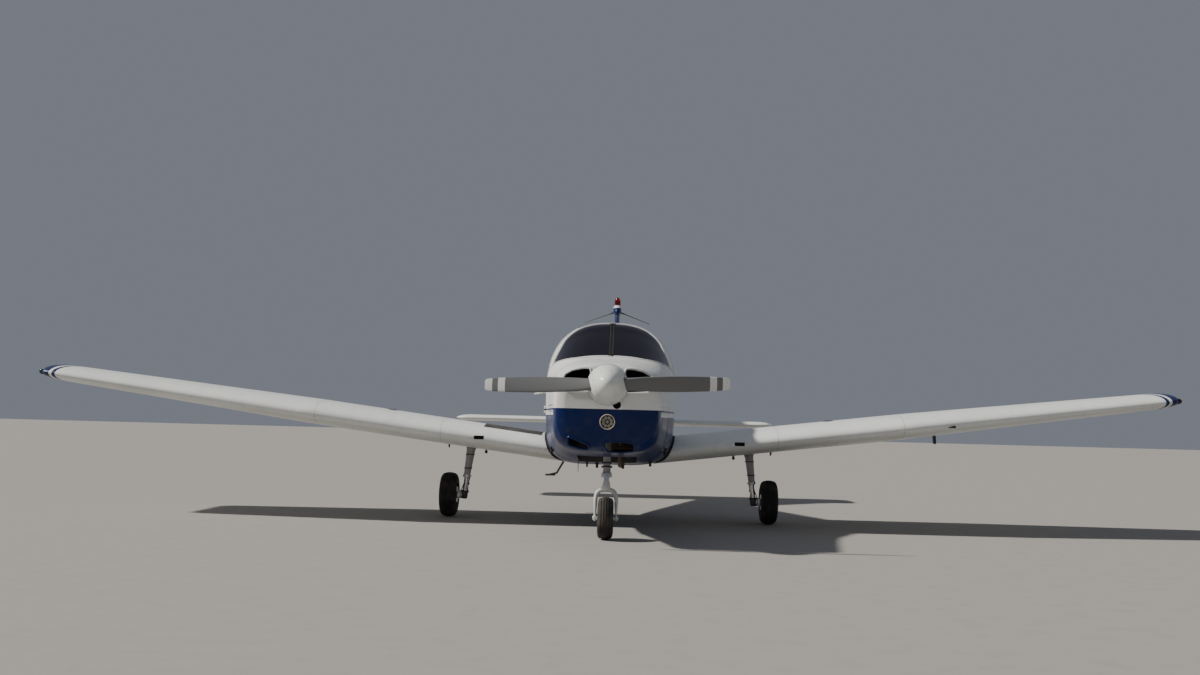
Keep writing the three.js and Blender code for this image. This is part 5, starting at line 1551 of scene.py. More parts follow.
# %% Fin cap, aerial and beacon
FIN_CAP = [
    # height, leading edge station, trailing edge station, thickness
    (2.2403, 6.070, 6.550, 0.066), (2.262, 6.068, 6.552, 0.098), (2.335, 6.120, 6.562, 0.098),
    (2.358, 6.190, 6.550, 0.062),
]
WHITE_FROM = 2.322
BEACON_AT = (0, at(6.390), 2.3583)
WHISKERS = [
    # both ends as (distance out, station, height), then the radius at each end
    ((0.058, 6.302, 2.272), (0.400, 6.610, 2.168), 0.0055, 0.0028),
    ((0.060, 6.304, 2.2714), (0.100, 6.340, 2.2592), 0.009, 0.0065),
    ((0.396, 6.6066, 2.1692), (0.403, 6.6129, 2.1671), 0.0042, 0.0042),
]


def cap_ring(z):
    leading, trailing, thickness = eased(FIN_CAP, z)
    chord = trailing - leading
    return [(side, at(leading + aft), z) for aft, side in aerofoil(chord, thickness / chord)]


def cap_pattern(tree, place):
    return mixed(tree, beyond(tree, axes(tree, place)[2], WHITE_FROM), BLUE, WHITE)


cap_heights = spread(2.2403, 2.262, 5) + spread(2.262, 2.335, 7)[1:] + spread(2.335, 2.358, 7)[1:]
fin_cap = loft("fin_tip_cap", [cap_ring(z) for z in cap_heights])
aerial_bar = block("bar", (-0.070, at(6.282), 2.265), (0.070, at(6.318), 2.279), 0.003)
combined(fin_cap, aerial_bar, keep=True)
dress(fin_cap, painted("fin cap paint", BLUE, cap_pattern, dirt=0.15), nodes=("fin_tip",))
aerial = [aerial_bar]
for side in (PORT, STARBOARD):
    for start, end, radius, end_radius in WHISKERS:
        ends = [(side * out, at(station), z) for out, station, z in (start, end)]
        aerial.append(rod("whisker", *ends, radius, end_radius))
dress(joined("nav_aerial_whiskers", aerial), black_plastic, nodes=("nav_aerial",))
beacon_base = turned("beacon_base", [(0, 0), (0, 0.0450), (0.014, 0.0450), (0.017, 0.042), (0.017, 0)],
                     BEACON_AT, UP)
beacon_glass = turned("beacon_lens", [
    (0.0173, 0), (0.0173, 0.0350), (0.028, 0.0365), (0.070, 0.0350), (0.090, 0.031), (0.104, 0.023),
    (0.113, 0.012), (0.1160, 0)], BEACON_AT, UP)
lens_hoops = [turned("hoop", ring_profile(z, z + 0.003, 0.0357, 0.0377), BEACON_AT, UP)
              for z in (0.024, 0.034, 0.044, 0.054, 0.064)]
dress(beacon_base, bare_aluminium)
dress(beacon_glass, red_lens, nodes=("beacon",))
dress(joined("beacon_ribs", lens_hoops), red_lens)
print("beacon stands on the fin at", round(BEACON_AT[2], 3), "m")

# %% [markdown]
# Each main leg is a sprung tube: a painted housing bolted up under the wing, a bright piston below it,
# and two torque links that keep the wheel straight. The brake pipe comes down behind. The port leg is
# shaped once and its pieces are mirrored, because both legs are alike.

# %% Main legs
GEAR_X, GEAR_STATION = 1.335, 2.745
WHEEL_X, WHEEL_RADIUS = 1.530, 0.210
GEAR_Y = at(GEAR_STATION)


def leg_point(z, forward=0.0, out=0.0):
    return Vector((GEAR_X + (0.650 - z) * math.tan(DIHEDRAL) + out, GEAR_Y - forward, z))


def link(name, low, high, low_width, high_width, thick):
    """A torque link: a flat arm that narrows from one pin to the other."""
    low, high = Vector(low), Vector(high)
    across = Vector((1, 0, 0))
    normal = (high - low).normalized().cross(across)
    ends = [(low, low_width / 2), (high, high_width / 2)]
    square = [(-1, -1), (1, -1), (1, 1), (-1, 1)]
    rings = [[place + across * x * half + normal * y * thick / 2 for x, y in square] for place, half in ends]
    pins = [rod("pin", place - across * (half + 0.006), place + across * (half + 0.006), 0.011)
            for place, half in ends]
    return joined(name, [softened(loft(name, rings), 0.003)] + pins)


def main_leg():
    """Pieces of the port leg, as (piece, look). The first one stands for the frame's leg."""
    leg_tube = turned("main_leg_port_tube", [
        (0, 0), (0, 0.042), (0.10, 0.0415), (0.27, 0.0345), (0.355, 0.031), (0.368, 0.031), (0.368, 0)],
        leg_point(0.745), leg_point(0.378) - leg_point(0.745))
    flange = turned("main_leg_port_flange", [
        (0, 0), (0, 0.074), (0.009, 0.074), (0.012, 0.048), (0.030, 0.045), (0.030, 0)],
        leg_point(0.672), leg_point(0.3) - leg_point(0.672))
    cap = turned("main_leg_port_cap", [
        (0, 0), (0, 0.035), (0.003, 0.037), (0.024, 0.037), (0.027, 0.034), (0.027, 0)],
        leg_point(0.402), leg_point(0.2) - leg_point(0.402))
    piston = rod("main_leg_port_piston", leg_point(0.385), leg_point(0.240), 0.021)
    links = joined("main_leg_port_links", [
        link("lower link", leg_point(0.236, -0.036), leg_point(0.308, -0.112), 0.062, 0.030, 0.012),
        link("upper link", leg_point(0.386, -0.036), leg_point(0.312, -0.112), 0.062, 0.034, 0.012)])
    foot = turned("foot", [(0, 0), (0, 0.030), (0.010, 0.034), (0.062, 0.036), (0.078, 0.030), (0.078, 0)],
                  leg_point(0.250), leg_point(0.168) - leg_point(0.250))
    axle = rod("axle", (1.380, GEAR_Y, WHEEL_RADIUS), (1.612, GEAR_Y, WHEEL_RADIUS), 0.019)
    nut = turned("nut", [(0, 0), (0, 0.026), (0.008, 0.026), (0.010, 0.023), (0.010, 0)],
                 (1.6005, GEAR_Y, WHEEL_RADIUS), (1, 0, 0), 6)
    brake = joined("main_brake_port", [
        block("caliper", (1.418, GEAR_Y - 0.105, 0.176), (1.452, GEAR_Y - 0.040, 0.246), 0.007),
        block("arm", (1.404, GEAR_Y - 0.062, 0.190), (1.420, GEAR_Y - 0.010, 0.232), 0.004),
        *[rod("bolt", (1.414, GEAR_Y - y, z), (1.456, GEAR_Y - y, z), 0.006)
          for y in (0.092, 0.056) for z in (0.190, 0.232)]])
    pipe = tube("main_brake_pipe_port", [
        leg_point(0.640, -0.046), leg_point(0.500, -0.044), leg_point(0.390, -0.046, 0.012),
        leg_point(0.300, -0.066, 0.028), leg_point(0.236, -0.02, 0.046),
        Vector((1.428, GEAR_Y - 0.075, 0.243))],
        0.0042, bends=6)
    clips = joined("main_leg_port_clips", [
        turned("clip", ring_profile(0, 0.012, grow, grow + 0.0025), leg_point(z), (0, 0, -1))
        for z, grow in ((0.600, 0.0402), (0.470, 0.0352))])
    hub = joined("main_leg_port_foot", [foot, axle, nut])
    return [(leg_tube, leg_paint_and_shade), (flange, leg_paint_and_shade), (cap, bare_aluminium), (piston, polished_steel),
            (links, engine_grey), (hub, engine_grey), (brake, bare_aluminium), (pipe, black_rubber),
            (clips, engine_grey)]


for i, (piece, look) in enumerate(main_leg()):
    both_sides(piece, look, nodes=() if i else ("main_leg_port",))
print("main legs ready, each leaning", round(math.degrees(DIHEDRAL)), "degrees outwards")

# %% [markdown]
# A light aircraft's wheel is a small cast rim in two halves, bolted together, with a fat ribbed tyre.
# Both are turned from their section. The tyre's four grooves are part of its section, since they run
# all the way round, and six holes are drilled through the rim. One table holds each wheel's sizes.

# %% Wheels and tyres
tyre_look = finish("tyre rubber", (0.022, 0.021, 0.020, 1), 0.78, grain=160, depth=0.0004, dirt=0.75,
                   dust=(0.10, 0.085, 0.07, 1))
TREAD_GROOVES = 4


def tyre_profile(radius, width, rim_radius, rim_half):
    """A tyre's section: from one bead over the grooved crown to the other bead."""
    half, deep, bead = width / 2, radius - rim_radius, rim_radius + 0.0012
    wall = [(rim_half - 0.003, bead), (rim_half + 0.004, rim_radius + 0.011),
            (half * 0.84, rim_radius + deep * 0.16)]
    for share, reach in ((0.96, 0.26), (1.0, 0.40), (0.985, 0.56), (0.93, 0.72), (0.80, 0.86)):
        wall.append((half * share, rim_radius + deep * reach))
    crown = []
    tread = half * 0.66
    for k in range(TREAD_GROOVES):
        centre = tread * (1 - 2 * (k + 0.5) / TREAD_GROOVES)
        for shift, drop in ((0.0042, 0), (0.0030, 0.005), (-0.0030, 0.005), (-0.0042, 0)):
            along = centre + shift
            crown.append((along, radius - 0.012 * (along / (half * 0.7)) ** 2 - drop))
    shoulder = [(tread + 0.006, radius - 0.0135)]
    closing = [(-along, reach) for along, reach in reversed(wall)]
    outline = wall + shoulder + crown + [(-tread - 0.006, radius - 0.0135)] + closing
    return outline + [outline[0]]


def wheel_rim(rim_radius, rim_half, bore, disc):
    """A rim's section. A disc gives it the brake's disc on its inner side."""
    flange, boss, web = rim_radius + 0.010, rim_radius * 0.54, rim_radius * 0.72
    inner = [(-rim_half - 0.006, bore), (-rim_half - 0.006, boss)]
    if disc:
        inner = [(-rim_half - 0.024, bore), (-rim_half - 0.024, rim_radius - 0.004),
                 (-rim_half - 0.018, rim_radius - 0.002), (-rim_half - 0.018, boss)]
    outline = inner + [
        (-rim_half + 0.020, boss), (-rim_half + 0.016, web), (-rim_half + 0.002, rim_radius - 0.006),
        (-rim_half - 0.007, flange - 0.004), (-rim_half - 0.009, flange), (-rim_half - 0.005, flange),
        (-rim_half + 0.002, rim_radius), (rim_half - 0.002, rim_radius), (rim_half + 0.005, flange),
        (rim_half + 0.009, flange), (rim_half + 0.007, flange - 0.004),
        (rim_half - 0.002, rim_radius - 0.006), (rim_half - 0.016, web),
        (rim_half - 0.020, boss), (rim_half + 0.004, boss), (rim_half + 0.006, boss - 0.003),
        (rim_half + 0.006, bore)]
    return outline + [outline[0]]


def wheel(side, centre, body, names, radius, width, rim_radius, rim_half, bore, disc):
    """A rim with its bolts and its tyre, on a body of its own."""
    rim_name, tyre_name = names
    rim = turned(rim_name + "_cast", wheel_rim(rim_radius, rim_half, bore, disc), centre, (side, 0, 0), 64)
    through = Vector((0.12, 0, 0))
    bolts = []
    for k in range(6):
        angle = math.pi * k / 3
        middle = Vector(centre) + Vector((0, math.cos(angle), math.sin(angle))) * rim_radius * 0.76
        combined(rim, rod("hole", middle - through, middle + through, rim_radius * 0.10))
        way = Vector((0, math.cos(angle + 0.5), math.sin(angle + 0.5)))
        for face in (1, -1):
            spot = Vector(centre) + way * rim_radius * 0.70
            bolts.append((spot + Vector((face * (rim_half - 0.0165), 0, 0)), (face, 0, 0)))
    dress(rim, bare_aluminium, body, (rim_name,))
    dress(studs(rim_name + "_bolts", bolts, 0.0055, 0.006), polished_steel, body)
    profile = tyre_profile(radius, width, rim_radius, rim_half)
    tyre = turned(tyre_name + "_ribbed", profile, centre, (side, 0, 0), 72)
    dress(tyre, tyre_look, body, (tyre_name,), smooth=40)


NOSE_STATION, NOSE_AXLE_Z = 0.720, 0.1725
MAIN_SIZES = dict(radius=WHEEL_RADIUS, width=0.162, rim_radius=0.078, rim_half=0.052, bore=0.0197, disc=True)
NOSE_SIZES = dict(radius=NOSE_AXLE_Z, width=0.128, rim_radius=0.066, rim_half=0.040, bore=0.0147, disc=False)
for side, label in SIDE_NAMES.items():
    wheel(side, (side * WHEEL_X, GEAR_Y, WHEEL_RADIUS), f"main_wheel_{label}",
          (f"main_rim_{label}", f"main_tyre_{label}"), **MAIN_SIZES)
wheel(PORT, (0, at(NOSE_STATION), NOSE_AXLE_Z), "nose_wheel", ("nose_rim", "nose_tyre"), **NOSE_SIZES)
print("three wheels with ribbed tyres")

# %% [markdown]
# The nose leg is raked forwards. Its fork is one bar bent into a narrow arch over the wheel, with
# flattened feet for the axle. A tube along a curve is the nearest thing to how such a fork is made.

# %% Nose leg and fork
NOSE_Y = at(NOSE_STATION)
RAKE = math.radians(8)


def strut_point(z, aft=0.0, out=0.0):
    return Vector((out, at(0.745) + (z - 0.300) * math.tan(RAKE) + aft, z))


def along_strut(name, profile, start):
    """A turned piece about the strut's axis, measured downwards from a height."""
    return turned(name, profile, strut_point(start), strut_point(0) - strut_point(1))


housing = joined("nose_strut_housing", [
    along_strut("barrel", [
        (0, 0), (0, 0.044), (0.184, 0.044), (0.192, 0.034), (0.200, 0.031), (0.425, 0.031), (0.428, 0.034),
        (0.4405, 0.034), (0.4405, 0.0236), (0.250, 0.0236), (0.250, 0)], 0.968),
    block("bracket", (-0.058, at(0.815), 0.800), (0.058, at(1.0975), 0.950), 0.012)])
dress(housing, leg_paint_and_shade, nodes=("nose_strut",))
collars = [along_strut("ring", ring_profile(0, 0.012, 0.0312, 0.0375), z) for z in (0.618, 0.588)]
for side in (PORT, STARBOARD):
    ends = [strut_point(0.582, 0.014, side * out) for out in (0.028, 0.045)]
    collars.append(rod("bolt", *ends, 0.008, steps=12))
dress(joined("nose_strut_collars", collars), black_plastic)
piston = rod("piston", strut_point(0.700), strut_point(0.440), 0.0228)
dress(piston, polished_steel, "nose_fork", ("nose_fork",))
piston.name = "nose_fork_piston"
collar = along_strut("nose_fork_collar", [
    (0, 0.0236), (0, 0.042), (0.003, 0.044), (0.014, 0.044), (0.017, 0.041), (0.019, 0.044), (0.031, 0.044),
    (0.033, 0.040), (0.033, 0.0236), (0, 0.0236)], 0.5312)
dress(collar, bare_aluminium, "nose_fork")
crown = along_strut("crown", [
    (0, 0), (0, 0.0250), (0.008, 0.0275), (0.040, 0.0335), (0.064, 0.0365), (0.074, 0.032),
    (0.076, 0)], 0.468)
arch_side = [Vector((0.0865, NOSE_Y, NOSE_AXLE_Z)), strut_point(0.272, -0.005, 0.0842),
             strut_point(0.328, 0, 0.0832), strut_point(0.372, 0, 0.071), strut_point(0.393, 0, 0.044)]
other_side = [Vector((-p.x, p.y, p.z)) for p in reversed(arch_side)]
arch = tube("arch", arch_side + [strut_point(0.399)] + other_side, 0.015,
            swell=[0.5, 0.9, 1.1, 1.2, 1.25, 1.25, 1.25, 1.2, 1.1, 0.9, 0.5])
nose_axle = rod("axle", (-0.104, NOSE_Y, NOSE_AXLE_Z), (0.104, NOSE_Y, NOSE_AXLE_Z), 0.0138)
FOOT = [(0, 0), (0, 0.021), (0.004, 0.024), (0.012, 0.024), (0.015, 0.020), (0.015, 0)]
NUT = [(0, 0), (0, 0.016), (0.008, 0.016), (0.010, 0.014), (0.010, 0)]
ends = []
for side in (PORT, STARBOARD):
    ends.append(turned("foot", FOOT, (side * 0.079, NOSE_Y, NOSE_AXLE_Z), (side, 0, 0)))
    ends.append(turned("nut", NUT, (side * 0.0942, NOSE_Y, NOSE_AXLE_Z), (side, 0, 0), 6))
fork = joined("nose_fork_arch", [arch, crown, nose_axle] + ends)
dress(fork, fork_paint, "nose_fork", smooth=40)
nose_links = joined("nose_fork_links", [
    link("upper link", strut_point(0.514, 0.036), strut_point(0.462, 0.098), 0.050, 0.028, 0.012),
    link("lower link", strut_point(0.428, 0.024), strut_point(0.458, 0.098), 0.050, 0.032, 0.012)])
dress(nose_links, engine_grey, "nose_fork")
print("nose leg raked", round(math.degrees(RAKE)), "degrees")

# %% [markdown]
# Every pane is cut from one thin layer that follows the fuselage a few millimetres inside its skin.
# A narrow strip covers each edge, with a dark bead of sealant outside it. Both are cut from layers
# too, as rings between two sizes of the window's own outline.

# %% Windows
GLASS_INSET, GLASS_THICK = 0.005, 0.007
GLAZED = (1.150, 3.900)
POST_HALF = 0.022
glass = layer("glass", *GLAZED, GLASS_INSET, GLASS_INSET + GLASS_THICK)
strip_layer = layer("strips", *GLAZED, -0.0022, 0.0045)
seal_layer = layer("seals", *GLAZED, -0.0010, 0.0045)
SIDES = {PORT: (0.0, WIDE), STARBOARD: (-WIDE, 0.0)}


def cut_from(source, name, *rooms):
    piece = copied(source, name)
    for room in rooms:
        combined(piece, room, "INTERSECT")
    return piece


def ring_from(source, name, outline, outer, inner, side):
    """A ring between two sizes of a window's outline, on one side of the aircraft."""
    piece = cut_from(source, name, window_prism(outline, outer, *SIDES[side]))
    return combined(piece, window_prism(outline, inner))


def edged_window(name, outline, side, body="airframe", node=None):
    """A pane with its strip and its bead of sealant."""
    pane = cut_from(glass, name + "_pane", window_prism(outline, -0.0006, *SIDES[side]))
    strip = ring_from(strip_layer, name + "_strip", outline, 0.013, -0.011, side)
    seal = ring_from(seal_layer, name + "_seal", outline, 0.018, 0.0125, side)
    dress(pane, tint_and_cabin_shade, body, (node,), smooth=50)
    dress(strip, livery_paint, body)
    dress(seal, black_rubber, body)
    return [pane, strip, seal]


edged_window("front_port", FRONT_WINDOW, PORT, node="front_window_port")
edged_window("rear_port", REAR_WINDOW, PORT, node="rear_window_port")
edged_window("rear_starboard", REAR_WINDOW, STARBOARD, node="rear_window_starboard")
door_glass = edged_window("door", FRONT_WINDOW, STARBOARD, "cabin_door", "door_window")

screen_outline = side_points(WINDSCREEN)
for side, label in SIDE_NAMES.items():
    low, high = sorted((side * (POST_HALF + 0.0003), side * WIDE))
    screen_room = side_prism("room", grown(screen_outline, -0.0012), low, high)
    pane = cut_from(glass, f"windscreen_{label}_pane", screen_room)
    dress(pane, tint_and_cabin_shade, nodes=(f"windscreen_{label}",), smooth=50)
rim = cut_from(strip_layer, "windscreen_strip", side_prism("room", grown(screen_outline, 0.013), -WIDE, WIDE))
clear_outline = rounded(side_points(CLEAR_SCREEN), 0.05)
combined(rim, side_prism("room", clear_outline, -WIDE, WIDE))
dress(rim, livery_paint)
bead = cut_from(seal_layer, "windscreen_seal", side_prism("room", grown(screen_outline, 0.018), -WIDE, WIDE))
combined(bead, side_prism("room", grown(screen_outline, 0.0125), -WIDE, WIDE))
dress(bead, black_rubber)
post_cover = cut_from(strip_layer, "windscreen_post_cover", side_prism("room", screen_outline, -0.024, 0.024))
dress(post_cover, matt_black)
post = layer("windscreen_post_strip", *GLAZED, 0.0047, 0.026)
combined(post, side_prism("room", grown(screen_outline, -0.0012), -POST_HALF, POST_HALF), "INTERSECT")
dress(post, matt_black, nodes=("windscreen_post",))
post_screws = studs("windscreen_post_screws", [deck_spot(station, x) for station in spread(1.440, 2.080, 15)
                                                for x in (-0.013, 0.013)], 0.0032, 0.0046)
dress(post_screws, fork_paint)
print("panes: five side windows and a windscreen in two halves")

# %% [markdown]
# The cabin door stands a little open, as in the photo, so its pieces are shaped in place and then
# turned about the hinge. Each hinge is three knuckles on one pin. The baggage door is closed. Both are
# cut from the cabin's own shell, because a real door follows the skin too.

# %% Doors
KNUCKLE = {"radius": 0.0082, "pin": 0.004, "height": 0.020, "inboard": 0.034, "reach": 0.038, "clear": 0.003}
DOOR_AJAR = math.radians(3)


def knuckle_pieces(door, moving):
    """The knuckles of one side of a door's hinges, with their leaves."""
    x, y = door["x"], at(door["station"])
    step = KNUCKLE["height"]
    pieces = []
    for z in door["knuckles"]:
        for low in ([z + step] if moving else [z, z + 2 * step]):
            profile = ring_profile(0.0003, step - 0.0003, 0.0046, KNUCKLE["radius"])
            pieces.append(turned("knuckle", profile, (x, y, low), (0, 0, 1), 24))
            ends = (KNUCKLE["clear"], KNUCKLE["reach"]) if moving else (-KNUCKLE["reach"], -KNUCKLE["clear"])
            pieces.append(block("leaf", (x - 0.004, y + ends[0], low + 0.0003),
                                (x + KNUCKLE["inboard"], y + ends[1], low + step - 0.0003), 0.001))
        if not moving:
            pieces.append(rod("pin", (x, y, z - 0.002), (x, y, z + 3 * step + 0.002), KNUCKLE["pin"]))
    return joined("knuckles", pieces)


def domed(name, spot, radius, rows):
    """A turned fitting on the skin. Its rows are (height over the skin, radius)."""
    return turned(name, [(-0.004, 0), (-0.004, radius)] + rows + [(rows[-1][0], 0)], *spot)


cabin, baggage = DOORS["cabin"], DOORS["baggage"]
HINGE_AT = Vector((cabin["x"], at(cabin["station"]), 0))
AJAR = Matrix.Translation(HINGE_AT) @ Matrix.Rotation(DOOR_AJAR, 4, "Z") @ Matrix.Translation(-HINGE_AT)

door_skin = combined(copied(cabin_shell, "cabin_door_skin"), door_block(cabin, 0), "INTERSECT")
combined(door_skin, window_prism(FRONT_WINDOW, 0))
dress(door_skin, livery_paint, "cabin_door", ("cabin_door",))
line_inside(door_skin, lining)
door_knuckles = knuckle_pieces(cabin, True)
door_knuckles.name = "cabin_door_knuckles"
dress(door_knuckles, livery_paint, "cabin_door")
handle_at, handle_out = skin_spot(2.640, 1.205, STARBOARD)
handle = joined("cabin_door_handle", [
    domed("boss", (handle_at, handle_out), 0.021, [(0.005, 0.020), (0.008, 0.015)]),
    tube("lever", [handle_at + handle_out * 0.004,
                   handle_at + handle_out * 0.045 + Vector((0, 0.004, -0.004)),
                   handle_at + handle_out * 0.085 + Vector((0, 0.012, -0.012)),
                   handle_at + handle_out * 0.118 + Vector((0, 0.022, -0.018))],
         0.0095, swell=[0.9, 0.9, 1.1, 0.9])])
dress(handle, fork_paint, "cabin_door")
lock = domed("cabin_door_lock", skin_spot(2.560, 1.150, STARBOARD), 0.012,
             [(0.0015, 0.0115), (0.0022, 0.009)])
dress(lock, polished_steel, "cabin_door")
for piece in (door_skin, door_knuckles, handle, lock, *door_glass):
    moved(piece, AJAR)

baggage_skin = combined(copied(cabin_shell, "baggage_door_skin"), door_block(baggage, 0), "INTERSECT")
dress(baggage_skin, livery_paint, "baggage_door", ("baggage_door",))
baggage_knuckles = knuckle_pieces(baggage, True)
baggage_knuckles.name = "baggage_door_knuckles"
dress(baggage_knuckles, livery_paint, "baggage_door")
latch = domed("baggage_door_latch", skin_spot(3.730, 1.070, STARBOARD), 0.019,
              [(0.001, 0.0185), (0.0025, 0.015)])
dress(latch, polished_steel, "baggage_door")
fixed_knuckles = joined("door_hinges", [knuckle_pieces(door, False) for door in DOORS.values()])
dress(fixed_knuckles, livery_paint)

for label, door in DOORS.items():
    door_seal = copied(cabin_shell, f"{label}_door_seal")
    combined(door_seal, door_block(door, DOOR_GAP + 0.0005), "INTERSECT")
    combined(door_seal, door_block(door, DOOR_GAP - 0.003))
    combined(door_seal, hull("trim", FIREWALL_BACK - 0.01, CABIN_BACK + 0.01, 0.004), "INTERSECT")
    dress(door_seal, black_rubber)
for spare in (cabin_shell, glass, strip_layer, seal_layer):
    bpy.data.objects.remove(spare)
print("cabin door stands", round(math.degrees(DOOR_AJAR)), "degrees open")

# %% [markdown]
# Two flat walls close the cabin: the firewall, which the engine bolts to, and the baggage bulkhead.
# Their CAD plates have the right form already, so they only get finishes.

# %% Firewall, bulkhead and finishes for plain frame pieces
def finish_node(name, look):
    """Puts a finish on a piece of the frame that keeps its own mesh."""
    for slot in frame["nodes"][name].material_slots:
        slot.material = look


firewall_steel = finish("firewall steel", (0.06, 0.06, 0.062, 1), 0.55, 0.7, grain=80, depth=0.0004, dirt=0.6)
finish_node("firewall", firewall_steel)
finish_node("baggage_bulkhead", lining)
print("frame pieces with a finish of their own: firewall and bulkhead")

# %% [markdown]
# The cabin shows dimly through dark glass: a padded panel with two control wheels, two front seats and
# a bench. A panel could be one board with a picture of dials. Here every dial is a bezel, a face, a
# ring of ticks and a hand, all placed by one table, so they catch the light as real ones do.

# %% Instrument panel
PANEL_FRONT, PANEL_BACK = 1.640, 1.668
PANEL_LOW, PANEL_TOP = 1.060, 1.400
PANEL_Y = at(PANEL_BACK)
DIALS = [
    # distance to port, height, radius, angle of the hand in degrees
    (0.400, 1.325, 0.040, 230), (0.310, 1.325, 0.040, 90), (0.220, 1.325, 0.040, 300),
    (0.400, 1.235, 0.040, 180), (0.310, 1.235, 0.040, 90), (0.220, 1.235, 0.040, 180),
    (0.130, 1.325, 0.034, 230), (0.130, 1.245, 0.034, 230), (-0.200, 1.335, 0.027, 210),
    (-0.265, 1.335, 0.027, 150), (-0.330, 1.335, 0.027, 210), (-0.200, 1.270, 0.027, 200),
    (-0.265, 1.270, 0.027, 120), (0.400, 1.150, 0.024, 60), (0.155, 1.160, 0.030, 240),
]
RADIOS = [
    # height, how tall
    (1.352, 0.036), (1.310, 0.036), (1.262, 0.046), (1.210, 0.046), (1.160, 0.040),
]
TICKS = 12


def on_dial(x, z, reach, degrees):
    angle = math.radians(degrees)
    return (x + reach * math.cos(angle), PANEL_Y + 0.0035, z + reach * math.sin(angle))


room = hull("room", 1.3, 1.9, CABIN_WALL + 0.001)
board = block("board", (-WIDE, at(PANEL_FRONT), PANEL_LOW), (WIDE, PANEL_Y, PANEL_TOP), 0.001)
combined(board, room, "INTERSECT", keep=True)
shield_outline = side_points([(1.430, 1.401), (1.430, 1.414), (1.690, 1.419), (1.706, 1.412), (1.706, 1.397),
                              (1.690, 1.389), (1.672, 1.401)])
shield = combined(side_prism("shield", rounded(shield_outline, 0.006), -WIDE, WIDE), room, "INTERSECT")
panel_board = joined("instrument_panel_board", [softened(board, 0.003), shield])
dress(panel_board, black_plastic, nodes=("instrument_panel",))
bezels, faces, marks = [], [], []
for x, z, radius, degrees in DIALS:
    place = (x, PANEL_Y - 0.001, z)
    bezels.append(turned("bezel", [
        (0, radius * 0.86), (0, radius + 0.004), (0.005, radius + 0.003), (0.008, radius - 0.001),
        (0.006, radius * 0.86), (0, radius * 0.86)], place, AFT, 32))
    knob_x, knob_z = x + radius * 0.75, z - radius * 0.8
    bezels.append(rod("knob", (knob_x, PANEL_Y, knob_z), (knob_x, PANEL_Y + 0.016, knob_z), 0.006, 0.005, 12))
    faces.append(turned("face", disc_profile(0, 0.003, radius * 0.87), place, AFT, 32))
    for k in range(TICKS):
        ends = [on_dial(x, z, radius * share, 360 * k / TICKS) for share in (0.66, 0.82)]
        marks.append(rod("tick", *ends, 0.0009, steps=6))
    ends = [on_dial(x, z, radius * share, degrees) for share in (0, 0.62)]
    marks.append(rod("hand", *ends, 0.0014, 0.0007, 6))
dress(joined("instrument_bezels", bezels), black_plastic)
dress(joined("instrument_faces", faces), black_rubber)
dress(joined("instrument_marks", marks), fork_paint)
print("dials:", len(DIALS))

# %% [markdown]
# Beside the dials stands a stack of radios, with three engine levers under it and switches in a row.
# Through the glass only their outlines show, so they are plain blocks and bars. A control wheel is a
# bar bent up at both ends, which a tube through nine points gives, thicker where the hands hold it.

# %% Radios, levers and control wheels
controls = []
for z, height in RADIOS:
    controls.append(block("radio", (-0.140, PANEL_Y - 0.002, z - height / 2),
                          (0.050, PANEL_Y + 0.006, z + height / 2), 0.002))
    for x in (-0.125, 0.036):
        ends = [(x, PANEL_Y + back, z - 0.008) for back in (0.004, 0.020)]
        controls.append(rod("knob", *ends, 0.007, 0.0058, 16))
for x in (-0.020, 0.020, 0.060):
    controls.append(rod("lever", (x, PANEL_Y, 1.095), (x, PANEL_Y + 0.060, 1.100), 0.005, steps=12))
    controls.append(rod("grip", (x, PANEL_Y + 0.052, 1.0995), (x, PANEL_Y + 0.080, 1.102), 0.013, steps=16))
for x in spread(0.180, 0.330, 7):
    controls.append(block("switch", (x - 0.005, PANEL_Y - 0.001, 1.082),
                          (x + 0.005, PANEL_Y + 0.010, 1.106), 0.001))
dress(joined("radio_stack", controls), engine_grey)

YOKE_X, YOKE_Z, YOKE_STATION = 0.285, 1.185, 1.850
YOKE_RIM = [
    # distance out from the hub, station, height above the shaft, share of the grip's radius
    (-0.138, 1.842, 0.105, 1.10), (-0.142, 1.846, 0.050, 1.15), (-0.122, 1.850, -0.010, 1.00),
    (-0.060, 1.850, -0.016, 0.85), (0.000, 1.850, -0.012, 0.85), (0.060, 1.850, -0.016, 0.85),
    (0.122, 1.850, -0.010, 1.00), (0.142, 1.846, 0.050, 1.15), (0.138, 1.842, 0.105, 1.10),
]
yokes = []
for x in (YOKE_X, -YOKE_X):
    hub = [(0, 0), (0, 0.020), (0.010, 0.026), (0.030, 0.026), (0.036, 0.020), (0.036, 0)]
    rim = [(x + out, at(station), YOKE_Z + up) for out, station, up, _ in YOKE_RIM]
    yokes.append(rod("shaft", (x, at(1.660), YOKE_Z), (x, at(YOKE_STATION), YOKE_Z), 0.011))
    yokes.append(turned("hub", hub, (x, at(YOKE_STATION - 0.018), YOKE_Z - 0.004), (0, 1, 0), 32))
    yokes.append(tube("rim", rim, 0.0125, swell=[row[3] for row in YOKE_RIM], bends=6))
dress(joined("control_yokes", yokes), black_plastic, smooth=50)
print("controls:", len(controls), "and two yokes")

# %% [markdown]
# A seat cushion is foam under tight cloth: it is fullest in the middle and pulled in along its seams.
# Its form could be sculpted. Here a block is blown up as cloth from inside, once for each kind of
# cushion, and the seams are pressed in afterwards, because the remeshing would erase them.

# %% Swelling a cushion
CUSHION_VOXEL = 0.009
SWELL_FRAMES = 20
SWELL_PRESSURE = 4.0
SEAM_DEPTH, SEAM_WIDTH = 0.008, 0.009


